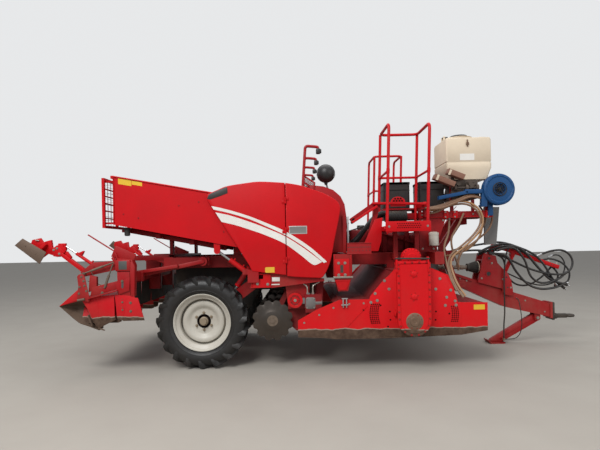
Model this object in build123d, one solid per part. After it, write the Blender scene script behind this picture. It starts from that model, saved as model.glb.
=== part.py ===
"""Trailed four-row potato planter with a front tiller: a rigid frame and the bodies that move on it."""

import math
import os

from build123d import *

# Machine frame in millimetres: X forward from the wheels' axle, Y to the left, Z up from the ground.
# The parts are written with origin_shift taken off X, which puts the origin under the middle of the machine.
origin_shift = 1620.0
sheet = 8.0
fit = 0.3

# Wheels
track = 2250.0
tyre_radius = 602.5
tyre_width = 284.0
bead_radius = 356.0
flange_radius = 377.0
flange_thick = 10.0
lug_count = 19
lug_height = 26.0
lug_width = 34.0
axle_z = 602.5
hub_bore = 45.0
wheel_bolts = 6
wheel_bolt_pcd = 225.0
disc_recess = 150.0

# Rows, elevators and hoods
rows = (-1125.0, -375.0, 375.0, 1125.0)
hopper_half = 1300.0
panel_out = hopper_half + 50
panel_flange = 40.0
seam_x = 1120.0
seam_gap = 8.0
casing_width = 370.0

# Longerons and hopper
rail_y = 750.0
rail_width = 120.0
rail_low = 1300.0
rail_high = 1460.0
hopper_pivot = (420.0, 1525.0)
guard_cells = 6
guard_tube = 28.0
tip_pin = (580.0, 1262.0)
tip_eye = (225.0, 1532.0)
tip_y = hopper_half - 65
tip_bore = 20.0
tip_slack = 1.2

# Tiller
side_in = 1440.0
side_thick = 12.0
rotor_x = 2680.0
rotor_z = 622.0
tine_radius = 235.0
hood_top = 1250.0
case_depth = 144.0
case_out = side_in + side_thick + case_depth

# Drawbar and parking leg
beam_half = 100.0
flange_x = 5140.0
eye_x = 5500.0
eye_z = 400.0
eye_bore = 25.0
leg_pivot = (4960.0, 385.0)
foot_x = 4310.0

# Closing discs
disc_x = 925.0
disc_z = 622.0
disc_radius = 265.0
disc_offset = 165.0

# Ridger
ridger_pivot = (-15.0, 1395.0)
ridger_y = 1450.0
blade_y = 1325.0
blade_pin = (-1440.0, 1290.0)
blade_cyl_pin = (-1330.0, 1370.0)
blade_cyl_eye = (-1722.0, 1650.0)
blade_eye_pin = 10.0
blade_eye_bore = 14.3
blade_eye_shift = (2.7, 2.85)
wing_x = (-1742.0, -655.0)

# Platforms and applicator
platform_x = (2400.0, 2915.0)
platform_floor = 1745.0
rail_top = 3120.0
tank_start = 3345.0
tank_length = 630.0
tank_x = (tank_start, tank_start + tank_length)
tank_y = (-850.0, -270.0)
tank_low = 2450.0
tank_height = 560.0
tank_high = tank_low + tank_height
tank_wall = 12.0
tank_taper = 60.0
shoulder_drop = 250.0

# Hoses
granule_hose = 28.0
thick_hose = 32.0
loop_hose = 22.0
leg_hose = 21.0
thin_hose = 12.0

parts = {}


def block(x, y, z):
    """A box between the limits given on each axis."""
    size = [max(v) - min(v) for v in (x, y, z)]
    middle = [(v[0] + v[1]) / 2 for v in (x, y, z)]
    return Pos(*middle) * Box(*size)


def side_plate(points, y0, y1):
    """A plate outlined in X and Z, between two Y planes."""
    plane = Plane(origin=(0, max(y0, y1), 0), x_dir=(1, 0, 0), z_dir=(0, -1, 0))
    return extrude(plane * make_face(Polyline(*points, close=True)), abs(y1 - y0))


def cross_plate(points, x0, x1):
    """A plate outlined in Y and Z, between two X planes."""
    plane = Plane(origin=(min(x0, x1), 0, 0), x_dir=(0, 1, 0), z_dir=(1, 0, 0))
    return extrude(plane * make_face(Polyline(*points, close=True)), abs(x1 - x0))


def flat_plate(points, z0, z1):
    """A plate outlined in X and Y, between two heights."""
    return extrude(Pos(0, 0, min(z0, z1)) * make_face(Polyline(*points, close=True)), abs(z1 - z0))


def band_points(points, thick):
    """The outline of a bent sheet whose outer side runs through the points, thick to their right."""
    inner = []
    for i, point in enumerate(points):
        before = points[max(i - 1, 0)]
        after = points[min(i + 1, len(points) - 1)]
        ways = []
        for a, b in ((before, point), (point, after)):
            run = math.hypot(b[0] - a[0], b[1] - a[1])
            if run > 0:
                ways.append(((b[1] - a[1]) / run, -(b[0] - a[0]) / run))
        nx = sum(w[0] for w in ways)
        nz = sum(w[1] for w in ways)
        norm = math.hypot(nx, nz)
        nx, nz = nx / norm, nz / norm
        reach = thick / (nx * ways[0][0] + nz * ways[0][1])
        inner.append((point[0] + nx * reach, point[1] + nz * reach))
    return list(points) + inner[::-1]


def bent_sheet(points, thick, y0, y1):
    """A sheet bent along X and Z and as wide as the two Y planes are apart."""
    return side_plate(band_points(points, thick), y0, y1)


def bar(start, end, width, height=None):
    """A rectangular bar between two points: width across, height in the plane of its run and Z."""
    start, end = Vector(*start), Vector(*end)
    run = end - start
    way = run.normalized()
    side = way.cross(Vector(0, 0, 1))
    side = Vector(1, 0, 0) if side.length < 1e-6 else side.normalized()
    plane = Plane(origin=start, x_dir=side, z_dir=way)
    return extrude(plane * Rectangle(width, height or width), run.length)


def rod(start, end, radius):
    """A round bar between two points."""
    start, end = Vector(*start), Vector(*end)
    run = end - start
    return extrude(Plane(origin=start, z_dir=run.normalized()) * Circle(radius), run.length)


def pin_y(x, z, radius, y0, y1):
    """A round bar along Y."""
    return rod((x, min(y0, y1), z), (x, max(y0, y1), z), radius)


def ring_y(x, z, outer, inner, y0, y1):
    """A bush along Y."""
    return pin_y(x, z, outer, y0, y1) - pin_y(x, z, inner, y0, y1)


def both(shape):
    """A shape and its mirror image on the other side."""
    return shape + mirror(shape, about=Plane.XZ)


def left(shape):
    """The mirror image on the left side."""
    return mirror(shape, about=Plane.XZ)


def on_line(start, end, distance):
    """The point in X and Z that lies at a distance from the start towards the end."""
    run = math.hypot(end[0] - start[0], end[1] - start[1])
    return tuple(a + (b - a) * distance / run for a, b in zip(start, end))


# Wheels
def tyre_profile():
    half = tyre_width / 2
    crown = tyre_radius - lug_height
    outline = [
        (bead_radius, -half + 45),
        (flange_radius + 4, -half + 45),
        (flange_radius + 26, -half + 20),
        (bead_radius + 120, -half),
        (crown - 45, -half + 12),
        (crown - 8, -half + 42),
        (crown, 0),
        (crown - 8, half - 42),
        (crown - 45, half - 12),
        (bead_radius + 120, half),
        (flange_radius + 26, half - 20),
        (flange_radius + 4, half - 45),
        (bead_radius, half - 45),
        (bead_radius, half - 62),
        (crown - 40, half - 62),
        (crown - 40, 62 - half),
        (bead_radius, 62 - half),
    ]
    return outline


def spun(outline, y0):
    """A ring turned about the Y axis from radius and width pairs, at the wheel's place."""
    plane = Plane(origin=(0, y0, axle_z), x_dir=(1, 0, 0), z_dir=(0, 0, 1))
    face = plane * make_face(Polyline(*outline, close=True))
    return revolve(face, Axis((0, y0, axle_z), (0, 1, 0)), 360)


def tyre(y0):
    carcass = spun(tyre_profile(), y0)
    half = tyre_width / 2
    crown = tyre_radius - lug_height
    lug = flat_plate(
        [
            (-lug_width / 2, 6),
            (lug_width / 2, 6),
            (lug_width / 2 + 62, -half + 8),
            (62 - lug_width / 2, -half + 8),
        ],
        crown - 30,
        tyre_radius + 2,
    )
    lug -= block((-100, 200), (-half - 20, -half + 30), (tyre_radius - 22, tyre_radius + 20))
    cap = Rotation(90, 0, 0) * (Cylinder(tyre_radius, tyre_width + 10))
    lug = lug & cap
    turn = 360.0 / lug_count
    lugs = []
    for i in range(lug_count):
        lugs.append(Rotation(0, i * turn, 0) * lug)
        lugs.append(Rotation(0, (i + 0.5) * turn, 0) * mirror(lug, about=Plane.XZ))
    seat = Pos(0, y0, axle_z)
    return carcass + [seat * piece for piece in lugs]


def rim(y0, outward):
    """A wheel rim whose disc stands back from its outer flange; outward is the sign of its outer side."""
    half = tyre_width / 2 - 45
    well = bead_radius - 55
    outline = [
        (flange_radius, -half - flange_thick),
        (flange_radius, -half),
        (bead_radius, -half),
        (bead_radius, -half + 17),
        (well, -half + 45),
        (well, half - 45),
        (bead_radius, half - 17),
        (bead_radius, half),
        (flange_radius, half),
        (flange_radius, half + flange_thick),
        (bead_radius - 9, half + flange_thick),
        (bead_radius - 9, half - 19),
        (well - 9, half - 49),
        (well - 9, -half + 49),
        (bead_radius - 9, -half + 19),
        (bead_radius - 9, -half - flange_thick),
    ]
    shell = spun(outline, y0)
    outer_face = y0 + outward * (half + flange_thick)
    web = outer_face - outward * disc_recess
    plate = pin_y(0, axle_z, well - 4, web, web - outward * 12)
    plate += pin_y(0, axle_z, 92, web - outward * 12, web + outward * 78)
    plate += pin_y(0, axle_z, 150, web, web + outward * 14)
    for i in range(wheel_bolts):
        turn = 2 * math.pi * i / wheel_bolts
        x = math.cos(turn) * wheel_bolt_pcd / 2
        z = axle_z + math.sin(turn) * wheel_bolt_pcd / 2
        plate += pin_y(x, z, 15, web + outward * 14, web + outward * 36)
    plate -= pin_y(0, axle_z, hub_bore, web - outward * 60, web + outward * 60)
    return shell + plate


for name, side in (("right", -1), ("left", 1)):
    parts[f"tyre_{name}"] = tyre(side * track / 2)
    parts[f"rim_{name}"] = rim(side * track / 2, side)

# Swing arms that carry the wheels, with their depth cylinders
arm_y = -905.0
web_y = -(track / 2 + tyre_width / 2 - 45 + flange_thick - disc_recess)
arms = bar((0, arm_y, axle_z), (690, arm_y, 1105), 70, 150)
arms += pin_y(0, axle_z, 85, arm_y - 35, arm_y + 35)
arms += pin_y(0, axle_z, hub_bore - fit, arm_y - 35, web_y - 55)
arms += pin_y(690, 1105, 90, arm_y - 40, arm_y + 40)
arms += pin_y(690, 1105, 45, arm_y - 40, -rail_y)
arms += bar((300, arm_y, 820), (345, arm_y, 925), 60, 70)
arms += rod((345, arm_y, 925), (470, arm_y, 1110), 20)
arms += rod((425, arm_y, 1043), (600, arm_y, 1302), 36)
arms += pin_y(615, 1325, 32, arm_y - 25, arm_y + 96)
parts["axle_arms"] = both(arms)

# Chassis: two longerons between the elevator casings, cross beams, side rails and brackets
chassis = block((-560, 3180), (-rail_y - rail_width / 2, -rail_y + rail_width / 2), (rail_low, rail_high))
chassis += block((620, 760), (sheet - panel_out, -rail_y + rail_width / 2), (1120, rail_low - 20))
chassis += block((640, 760), (-rail_y - 60, -rail_y + 60), (rail_low - 60, rail_low))
chassis += block((640, 740), (-rail_y - 60, -rail_y + 60), (1010, 1200))
chassis += side_plate(
    [
        (645, 1235), (935, 1225), (1290, 1165), (1600, 1150),
        (1600, 1118), (1290, 1085), (935, 1045), (645, 1045),
    ],
    -hopper_half,
    70 - hopper_half,
)
chassis -= block((735, 815), (-hopper_half - 20, 100 - hopper_half), (1160, 1215))
chassis += block((hopper_pivot[0] - 55, hopper_pivot[0] + 55), (-rail_y - 45, -rail_y - 15), (rail_high, 1500))
chassis += pin_y(hopper_pivot[0], hopper_pivot[1], 55, -rail_y - 45, -rail_y - 15)
chassis = both(chassis)
for x0, x1, reach in ((-560, -440, 960), (1840, 1960, 1200), (3060, 3180, 1200)):
    chassis += block((x0, x1), (-reach, reach), (rail_low, rail_high))
chassis += block((620, 760), (-rail_y - 60, rail_y + 60), (1120, 1240))
catch = [(1720, rail_high), (1960, rail_high), (1960, 1200), (1900, 985), (1775, 985), (1720, 1200)]
chassis += both(side_plate(catch, -1330, -1180))
chassis += both(block((-520, -480), (-rail_y - 50, -rail_y + 50), (rail_high, 1762)))
for x in (2500, 2800):
    chassis += both(block((x, x + 100), (-rail_y - 60, -rail_y + 60), (hood_top, rail_low)))

# Hopper: an open bin that tips about its front
floor_rear, floor_front = (-1100.0, 1900.0), (640.0, 1545.0)
rim_rear, rim_front = (-1095.0, 2530.0), (540.0, 2224.0)
bin_shape = side_plate([floor_rear, floor_front, rim_front, rim_rear], -hopper_half, hopper_half)
inside = [
    (floor_rear[0] + sheet, floor_rear[1] + sheet),
    (floor_front[0] - sheet, floor_front[1] + sheet),
    (rim_front[0] - sheet, rim_front[1]),
    (rim_front[0] - sheet, 2600.0),
    (floor_rear[0] + sheet, 2600.0),
]
bin_shape -= side_plate(inside, -hopper_half + sheet, hopper_half - sheet)
bin_shape -= block((480, 700), (-hopper_half + 60, hopper_half - 60), (1640, 2130))
for y in (-1, 1):
    edge = sorted((y * hopper_half, y * (hopper_half - 45)))
    bin_shape += side_plate([rim_rear, rim_front, (540, 2204), (-1095, 2510)], edge[0], edge[1])
bin_shape += block((-1125, -1087), (-hopper_half, hopper_half), (2494, 2530))
guard_half = hopper_half - 10
guard = bent_sheet([(-1245, 1860), (-1245, 2505)], 34, -guard_half, guard_half)
cell = (2 * guard_half - guard_tube) / guard_cells
for i in range(guard_cells):
    y0 = guard_tube - guard_half + i * cell
    guard -= block((-1260, -1200), (y0, y0 + cell - guard_tube), (1894, 2471))
for i in range(5):
    z = 1990 + i * 95
    guard += rod((-1228, -guard_half + 4, z), (-1228, guard_half - 4, z), 9)
bin_shape += guard
for y in (55 - hopper_half, -12, hopper_half - 79):
    bin_shape += block((-1230, -1098), (y, y + 24), (1910, 1934))
    bin_shape += block((-1230, -1096), (y, y + 24), (2450, 2474))
ear_x, ear_z = hopper_pivot
ears = block((ear_x - 45, ear_x + 45), (-rail_y + 10, -rail_y + 40), (ear_z + 20, 1592))
ears += pin_y(ear_x, ear_z, 48, -rail_y + 10, -rail_y + 40)
ears += pin_y(ear_x, ear_z, 20, -rail_y - 60, -rail_y + 40)
eye_ear = block((tip_eye[0] - 40, tip_eye[0] + 40), (-tip_y - 50, -tip_y - 26), (tip_eye[1] - 6, 1635))
eye_ear += pin_y(tip_eye[0], tip_eye[1], 40, -tip_y - 50, -tip_y - 26)
seat_x, seat_z = on_line(tip_eye, tip_pin, tip_slack - fit)
eye_ear += pin_y(seat_x, seat_z, tip_bore - tip_slack, -tip_y - 50, -tip_y + 24)
under = [(floor_rear[0], floor_rear[1] + sheet / 2), (floor_front[0], floor_front[1] + sheet / 2)]
below = side_plate(under + [(floor_front[0], 1300), (floor_rear[0], 1300)], -panel_out, panel_out)
parts["hopper"] = bin_shape + both((ears + eye_ear) & below)
bored = pin_y(ear_x, ear_z, 20 + fit, -1300, 1300)
chassis -= bored

# Tipping cylinders, one at each side of the hopper
bore_pin = on_line(tip_pin, tip_eye, 0)
barrel_end = on_line(tip_pin, tip_eye, 250)
rod_start = on_line(tip_pin, tip_eye, 60)
rod_end = on_line(tip_pin, tip_eye, math.dist(tip_pin, tip_eye) - 20)
barrel = rod((tip_pin[0], -tip_y, tip_pin[1]), (barrel_end[0], -tip_y, barrel_end[1]), 36)
hollow_start = on_line(tip_pin, tip_eye, 40)
barrel -= rod((hollow_start[0], -tip_y, hollow_start[1]), (barrel_end[0], -tip_y, barrel_end[1]), 26)
barrel += pin_y(tip_pin[0], tip_pin[1], 34, -tip_y - 20, -tip_y + 20)
barrel -= pin_y(tip_pin[0], tip_pin[1], tip_bore, -tip_y - 60, -tip_y + 60)
piston = rod((rod_start[0], -tip_y, rod_start[1]), (rod_end[0], -tip_y, rod_end[1]), 19)
piston += pin_y(tip_eye[0], tip_eye[1], 32, -tip_y - 18, -tip_y + 18)
piston -= pin_y(tip_eye[0], tip_eye[1], tip_bore, -tip_y - 30, -tip_y + 30)
for name, turn in (("right", lambda s: s), ("left", left)):
    parts[f"tip_barrel_{name}"] = turn(barrel)
    parts[f"tip_rod_{name}"] = turn(piston)
tip_bracket = block((tip_pin[0] - 30, 640), (-tip_y - 61, -tip_y - 41), (tip_pin[1] - 40, tip_pin[1] + 30))
tip_bracket += pin_y(tip_pin[0], tip_pin[1], tip_bore - fit, -tip_y - 61, -tip_y + 30)
chassis += both(tip_bracket)

# Side hoods: the rear panels are fixed, the front ones are doors hinged along the seam
top_line = [(381, 2360), (612, 2393), (803, 2409), (seam_x - seam_gap / 2, 2388)]
rear_foot = [(seam_x - seam_gap / 2, 1205), (681, 1262), (653, 1325)]
rear_outline = [(122, 2187), (118, 2258)] + top_line + rear_foot
front_outline = [
    (seam_x + seam_gap / 2, 2387),
    (1305, 2353),
    (1465, 2299),
    (1624, 2238),
    (1755, 2161),
    (1818, 2080),
    (1808, 1947),
    (1737, 1630),
    (1680, 1363),
    (1588, 1180),
    (1514, 1160),
    (1237, 1178),
    (seam_x + seam_gap / 2, 1192),
]


def tray(outline, depth):
    """A sheet panel outlined in X and Z with its edges folded inwards."""
    plane = Plane(origin=(0, -panel_out, 0), x_dir=(1, 0, 0), z_dir=(0, -1, 0))
    face = make_face(Polyline(*outline, close=True))
    whole = extrude(plane * face, -depth)
    hollow = extrude(plane.offset(-sheet) * offset(face, -sheet, kind=Kind.INTERSECTION), -depth)
    return whole - hollow


rear_panel = tray(rear_outline, panel_flange)
door = tray(front_outline, panel_flange)
hinge_y = -panel_out - 13
for z in (1420, 1800, 2180):
    rear_panel += block((seam_x - 45, seam_x - 6), (-panel_out - 6, -panel_out), (z - 60, z - 22))
    rear_panel += block((seam_x - 30, seam_x), (hinge_y - 4, hinge_y + 8), (z - 60, z - 22))
    rear_panel += rod((seam_x, hinge_y, z - 60), (seam_x, hinge_y, z + 20), 7 - fit)
    rear_panel += rod((seam_x, hinge_y, z - 60), (seam_x, hinge_y, z - 22), 12)
    knuckle = rod((seam_x, hinge_y, z - 20), (seam_x, hinge_y, z + 20), 12)
    knuckle += block((seam_x, seam_x + 30), (hinge_y - 4, hinge_y + 8), (z - 20, z + 20))
    knuckle += block((seam_x + 6, seam_x + 45), (-panel_out - 6, -panel_out), (z - 20, z + 20))
    door += knuckle - rod((seam_x, hinge_y, z - 30), (seam_x, hinge_y, z + 30), 7)
parts["panel_right"] = rear_panel
parts["panel_left"] = left(rear_panel)
parts["door_right"] = door
parts["door_left"] = left(door)

# Elevators: four closed casings under one hood that is as wide as the machine
casing_outline = [
    (790, 1480),
    (830, 2150),
    (980, 2330),
    (1180, 2330),
    (1420, 2262),
    (1590, 2140),
    (1590, 1560),
    (1420, 1130),
    (1090, 1130),
    (900, 1380),
]
spout_outline = [(1420, 1130), (1380, 760), (1130, 760), (1090, 1130)]
elevators = None
for row in rows:
    near = max(row - casing_width / 2, -hopper_half)
    far = min(row + casing_width / 2, hopper_half)
    casing = side_plate(casing_outline, near, far)
    casing += side_plate(spout_outline, row - 100, row + 100)
    elevators = casing if elevators is None else elevators + casing
hood_line = [
    (700, 2388), (1108, 2372), (1300, 2338), (1610, 2228),
    (1738, 2150), (1795, 2070), (1786, 1950), (1700, 1600),
]
elevators += bent_sheet(hood_line, sheet, -hopper_half - 2, hopper_half + 2)
hood_rib = [(1100, 2380), (1300, 2336), (1610, 2224), (1786, 2070), (1590, 2040), (1200, 2200)]
for y in (-hopper_half - 2, *(row - 12 for row in rows), -12, hopper_half - 22):
    elevators += side_plate(hood_rib, y, y + 24)
elevators += block((1250, 1370), (-hopper_half, hopper_half), (1600, 1680))
elevators += block((960, 1040), (-hopper_half, hopper_half), (1820, 1900))
parts["elevators"] = elevators
for y in (-rail_y, rail_y):
    chassis += block((1250, 1370), (y - 60, y + 60), (rail_high, 1600))

# Row units: furrow openers, the drive at the casing's foot and the arms of the closing discs
share_outline = [(1130, 760), (1130, 560), (1230, 470), (1500, 460), (1560, 520), (1430, 620), (1380, 760)]
units = None
for row in rows:
    share = side_plate(share_outline, row - 70, row + 70)
    share += bar((1500, row, 500), (1560, row, 1130), 40, 90)
    unit = share + block((1100, 1600), (row - 35, row + 35), (1100, 1140))
    units = unit if units is None else units + unit
parts["row_units"] = units
hanger_outline = [(1085, 985), (1135, 960), (disc_x + 48, disc_z - 20), (disc_x - 40, disc_z + 8)]
axle_hangers = None
for row in rows:
    hanger = side_plate(hanger_outline, row - 30, row + 30)
    hanger += pin_y(disc_x, disc_z, 55, row - 30, row + 30)
    hanger -= pin_y(disc_x, disc_z, 25 + fit, row - 40, row + 40)
    axle_hangers = hanger if axle_hangers is None else axle_hangers + hanger
parts["row_units"] += axle_hangers
drive = pin_y(1220, 880, 95, -1330, rows[0] - 100)
drive += block((1300, 1360), (-1320, -1250), (840, 900))
drive += block((1350, 1560), (-1330, -1240), (720, 950))
parts["row_units"] += both(drive)


def notched_disc(y, inward):
    """A concave disc whose hollow faces its row; inward is the sign towards the row."""
    dish = pin_y(disc_x, disc_z, disc_radius, y, y + inward * 8)
    dish += pin_y(disc_x, disc_z, 120, y - inward * 22, y)
    for i in range(12):
        turn = 2 * math.pi * i / 12
        x = disc_x + math.cos(turn) * disc_radius
        z = disc_z + math.sin(turn) * disc_radius
        dish -= pin_y(x, z, 30, y - 40, y + 40)
    return dish


for name, side_rows in (("right", rows[:2]), ("left", rows[2:])):
    near, far = side_rows[0] - disc_offset - 40, side_rows[1] + disc_offset + 40
    discs = pin_y(disc_x, disc_z, 25, near, far)
    for row in side_rows:
        discs += notched_disc(row - disc_offset, 1)
        discs += notched_disc(row + disc_offset, -1)
    parts[f"discs_{name}"] = discs

# Tiller: side plates, hood, chain case, rotor
tiller_side = [
    (1250, 430),
    (1252, 640),
    (1490, 772),
    (1779, 889),
    (2148, 889),
    (2476, 1262),
    (2946, 1262),
    (3145, 1175),
    (3209, 1020),
    (3263, 828),
    (3634, 820),
    (3631, 470),
    (3297, 420),
    (2388, 395),
    (1735, 395),
    (1560, 415),
]
side = side_plate(tiller_side, -side_in - side_thick, -side_in)
side -= pin_y(rotor_x, rotor_z, 70 + fit, -side_in - 20, -side_in + 20)
parts["tiller_side_right"] = side
dome = ring_y(rotor_x, rotor_z, 150, 70 + fit, side_in + side_thick, side_in + 60)
dome += pin_y(rotor_x, rotor_z, 110, side_in + 60, 1600)
parts["tiller_side_left"] = left(side) + dome - pin_y(rotor_x, rotor_z, 70 + fit, side_in - 5, side_in + 60)
hood_side = [
    (1700, 846),
    (1782, 878),
    (2153, 878),
    (2481, hood_top),
    (2943, hood_top),
    (3137, 1165),
    (3198, 1017),
    (3255, 816),
    (3624, 809),
]
hood = bent_sheet(hood_side, sheet, -side_in, side_in)
hood += block((2460, 2560), (-side_in, side_in), (1170, hood_top - 5))
for y in (-1100, 1040):
    hood += block((3240, 3330), (y, y + 60), (830, 1150))
parts["tiller_hood"] = hood
case = block((2477, 2888), (-case_out, -side_in - side_thick), (640, 1361))
case += pin_y(2682.5, 640, 205.5, -case_out, -side_in - side_thick)
case -= pin_y(rotor_x, rotor_z, 70 + fit, -side_in - 60, -side_in)
case += pin_y(2673, 1400, 120, -case_out + 30, -side_in - side_thick)
for z, radius, out in ((1202, 60, 14), (923, 62, 14), (rotor_z, 110, 22)):
    case += pin_y(2680, z, radius, -case_out - out, -case_out)
parts["chaincase"] = case
rotor = pin_y(rotor_x, rotor_z, 70, -side_in - 40, side_in + 40)
for i in range(12):
    y = -1320 + i * 240
    rotor += pin_y(rotor_x, rotor_z, 120, y - 6, y + 6)
    for k in range(4):
        turn = math.radians(90 * k + 27 * i)
        tip = (rotor_x + math.cos(turn) * tine_radius, rotor_z + math.sin(turn) * tine_radius)
        root = (rotor_x + math.cos(turn) * 60, rotor_z + math.sin(turn) * 60)
        rotor += bar((root[0], y + 14, root[1]), (tip[0], y + 14, tip[1]), 22, 40)
parts["tiller_rotor"] = rotor

# Drawbar with its headstock
beam_side = [
    (3690, 1105), (4560, 800), (flange_x, 610), (flange_x, 400),
    (4440, 570), (3780, 880), (3690, 890),
]
drawbar = side_plate(beam_side, -beam_half, beam_half)
gusset = [(4023, 960), (4122, 1408), (4303, 1362), (4330, 1250), (4440, 1130), (4530, 980), (4560, 806)]
gusset_plate = side_plate(gusset, -beam_half - 40, -beam_half)
gusset_plate -= pin_y(4180, 1090, 25, -300, 300)
drawbar += both(gusset_plate)
for y in (-250, 190):
    leg_line = bent_sheet([(3830, 1985), (3500, 1500), (3735, 850), (3860, 850)], 100, y, y + 60)
    drawbar += leg_line & block((3400, 3900), (y, y + 60), (850, 1960))
    drawbar += block((3180, 3620), (y, y + 60), (rail_low, rail_high))
drawbar += block((3690, 3790), (-250, 250), (900, 1000))
drawbar += block((3740, 3830), (-250, 250), (1850, 1940))
gusset_tie = block((4060, 4300), (-beam_half - 40, beam_half + 40), (1290, 1310))
drawbar += gusset_tie & side_plate(gusset, -200, 200)
drawbar += block((flange_x, flange_x + 36), (-115, 115), (eye_z - 20, eye_z + 230))
for y in (-1, 1):
    ear = sorted((y * 45, y * 75))
    drawbar += block((leg_pivot[0] - 45, leg_pivot[0] + 45), tuple(ear), (leg_pivot[1] - 10, leg_pivot[1] + 75))
    drawbar += pin_y(leg_pivot[0], leg_pivot[1], 45, ear[0], ear[1])
drawbar += pin_y(leg_pivot[0], leg_pivot[1], 18, -75, 75)
parts["drawbar"] = drawbar
eye_start = flange_x + 36
eye = block((eye_start, eye_start + 36), (-110, 110), (eye_z - 50, eye_z + 225))
eye += bar((eye_start + 36, 0, eye_z), (eye_x - 50, 0, eye_z), 90, 90)
eye += Pos(eye_x, 0, eye_z) * Cylinder(70, 46)
eye -= Pos(eye_x, 0, eye_z) * Cylinder(eye_bore, 120)
parts["towing_eye"] = eye

# Parking leg
leg_line = [
    (leg_pivot[0] + 40, leg_pivot[1] + 20),
    (leg_pivot[0] + 30, leg_pivot[1] - 45),
    (foot_x + 60, 14),
    (foot_x - 20, 60),
]
leg = side_plate(leg_line, -40, 40)
leg += pin_y(*leg_pivot, 40, -40, 40)
foot_outline = [(-125, 55), (-112, 55), (-90, 14), (130, 14), (130, 0), (-100, 0)]
leg += side_plate([(foot_x + x, z) for x, z in foot_outline], -110, 110)
leg += block((foot_x - 40, foot_x + 90), (-40, 40), (0, 60))
fitting_x, fitting_z = foot_x + 95, 75.0
fitting_y = -118.0
leg += pin_y(fitting_x, fitting_z, 22, fitting_y, -30)
leg -= pin_y(*leg_pivot, 18 + fit, -50, 50)
parts["parking_leg"] = leg

# PTO drive: gearbox on the tiller and the shaft towards the tractor
pto = block((2900, 3170), (-130, 130), (hood_top, rail_low))
pto += block((3120, 3420), (-130, 130), (1120, rail_low))
pto += rod((3420, 0, 1200), (3900, 0, 1185), 38)
pto += Plane(origin=(3900, 0, 1185), z_dir=(1, 0, 0)) * extrude(Circle(60), 40)
pto += Plane(origin=(3940, 0, 1185), z_dir=(1, 0, 0)) * Pos(0, 0, 60) * Cone(60, 95, 120)
parts["pto_drive"] = pto

# Platforms with their rails
def platform(x0, x1, y_out, y_in):
    """A step plate with a U rail open to the side, at the right of the machine."""
    floor = block((x0 - 24, x1 + 33), (y_out, y_in), (platform_floor, platform_floor + 30))
    floor += block((x0 - 24, x1 + 33), (y_out, y_out + 12), (platform_floor - 14, platform_floor + 116))
    posts = [(x0, y_out + 60), (x0, y_in), (x1, y_in), (x1, y_out + 60)]
    for x, y in posts:
        floor += rod((x, y - 20, platform_floor + 20), (x, y - 20, rail_top), 20)
    for z in (rail_top - 20, 2500.0):
        for a, b in zip(posts, posts[1:]):
            floor += rod((a[0], a[1] - 20, z), (b[0], b[1] - 20, z), 17)
    return floor


right_platform = platform(platform_x[0], platform_x[1], -1450, -760)
parts["platform_right"] = right_platform
parts["platform_left"] = left(platform(2570, 3035, -1450, -760))
shield = [(2960, 1925), (3330, 1925), (3210, 1560), (3180, rail_high), (2960, rail_high)]
chassis += side_plate(shield, -830, -822)
for x, y in ((2560, -1000), (2850, -1000)):
    chassis += both(block((x, x + 60), (y, y + 60), (rail_high - 60, platform_floor)))
    chassis += both(block((x, x + 60), (y, -rail_y), (rail_high - 90, rail_high - 10)))

# Service frame between the elevators and the platforms
service = block((1900, 2210), (-1330, -980), (1456, 1480))
service += block((1900, 2210), (-1330, -1318), (1480, 1600))
service += bar((2170, -1100, 1470), (2340, -1100, 2100), 60)
service += bar((1980, -1100, 1890), (2290, -1100, 2100), 50, 70)
service += bar((2270, -1100, 2090), (2380, -1100, 2090), 50, 70)
service &= block((1900, 2376), (-1400, 0), (1456, 2200))
parts["service_frame"] = service

# Bins behind the right platform and the round duct under them
bins = None
for x0, x1 in ((2500, 2870), (3000, 3360)):
    tub = block((x0, x1), (-700, -330), (2080, 2450))
    tub -= block((x0 + sheet, x1 - sheet), (-700 + sheet, -330 - sheet), (2080 + sheet, 2500))
    bins = tub if bins is None else bins + tub
parts["bins"] = bins
duct = rod((2480, -790, 1960), (2790, -790, 1960), 75) - rod((2600, -790, 1960), (2790, -790, 1960), 66)
duct += block((2600, 2660), (-728, -700), (1930, 1990))
parts["air_duct"] = duct

# Applicator: frame, tank with its lid, metering unit, blower
frame_low, frame_high = 1925.0, 2010.0
applicator = block((2960, 3970), (-850, -770), (frame_low, frame_high))
applicator += block((2490, 3970), (-350, -270), (frame_low, frame_high))
applicator += block((2490, 3060), (-700, -640), (frame_low, frame_high))
for x in (2490, 2980, 3300, 3880):
    applicator += block((x, x + 70), (-850 if x > 2900 else -700, -270), (frame_low, frame_high))
    if x < 3400:
        applicator += block((x, x + 50), (-700, -660), (frame_high, 2060))
        applicator += block((x, x + 50), (-350, -310), (frame_high, 2060))
applicator += block((2490, 3370), (-700, -310), (2060, 2080))
for x in (tank_x[0] + 55, tank_x[1] - 95):
    for y in (tank_y[0] + 20, tank_y[1] - 60):
        applicator += block((x, x + 40), (y, y + 40), (frame_high, tank_low))
applicator += block((3060, 3140), (-810, -310), (rail_high, frame_high))
manifold_x = 3050.0
applicator += block((manifold_x - 50, manifold_x), (-960, -850), (frame_low + 10, frame_high + 20))
parts["applicator_frame"] = applicator
shoulder = tank_high - shoulder_drop
tank_outer = [
    (tank_x[0], shoulder),
    (tank_x[0], tank_high - 20),
    (tank_x[0] + 20, tank_high),
    (tank_x[1] - 20, tank_high),
    (tank_x[1], tank_high - 20),
    (tank_x[1], shoulder),
    (tank_x[1] - tank_taper, tank_low),
    (tank_x[0] + tank_taper, tank_low),
]
tank = side_plate(tank_outer, tank_y[0], tank_y[1])
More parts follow.
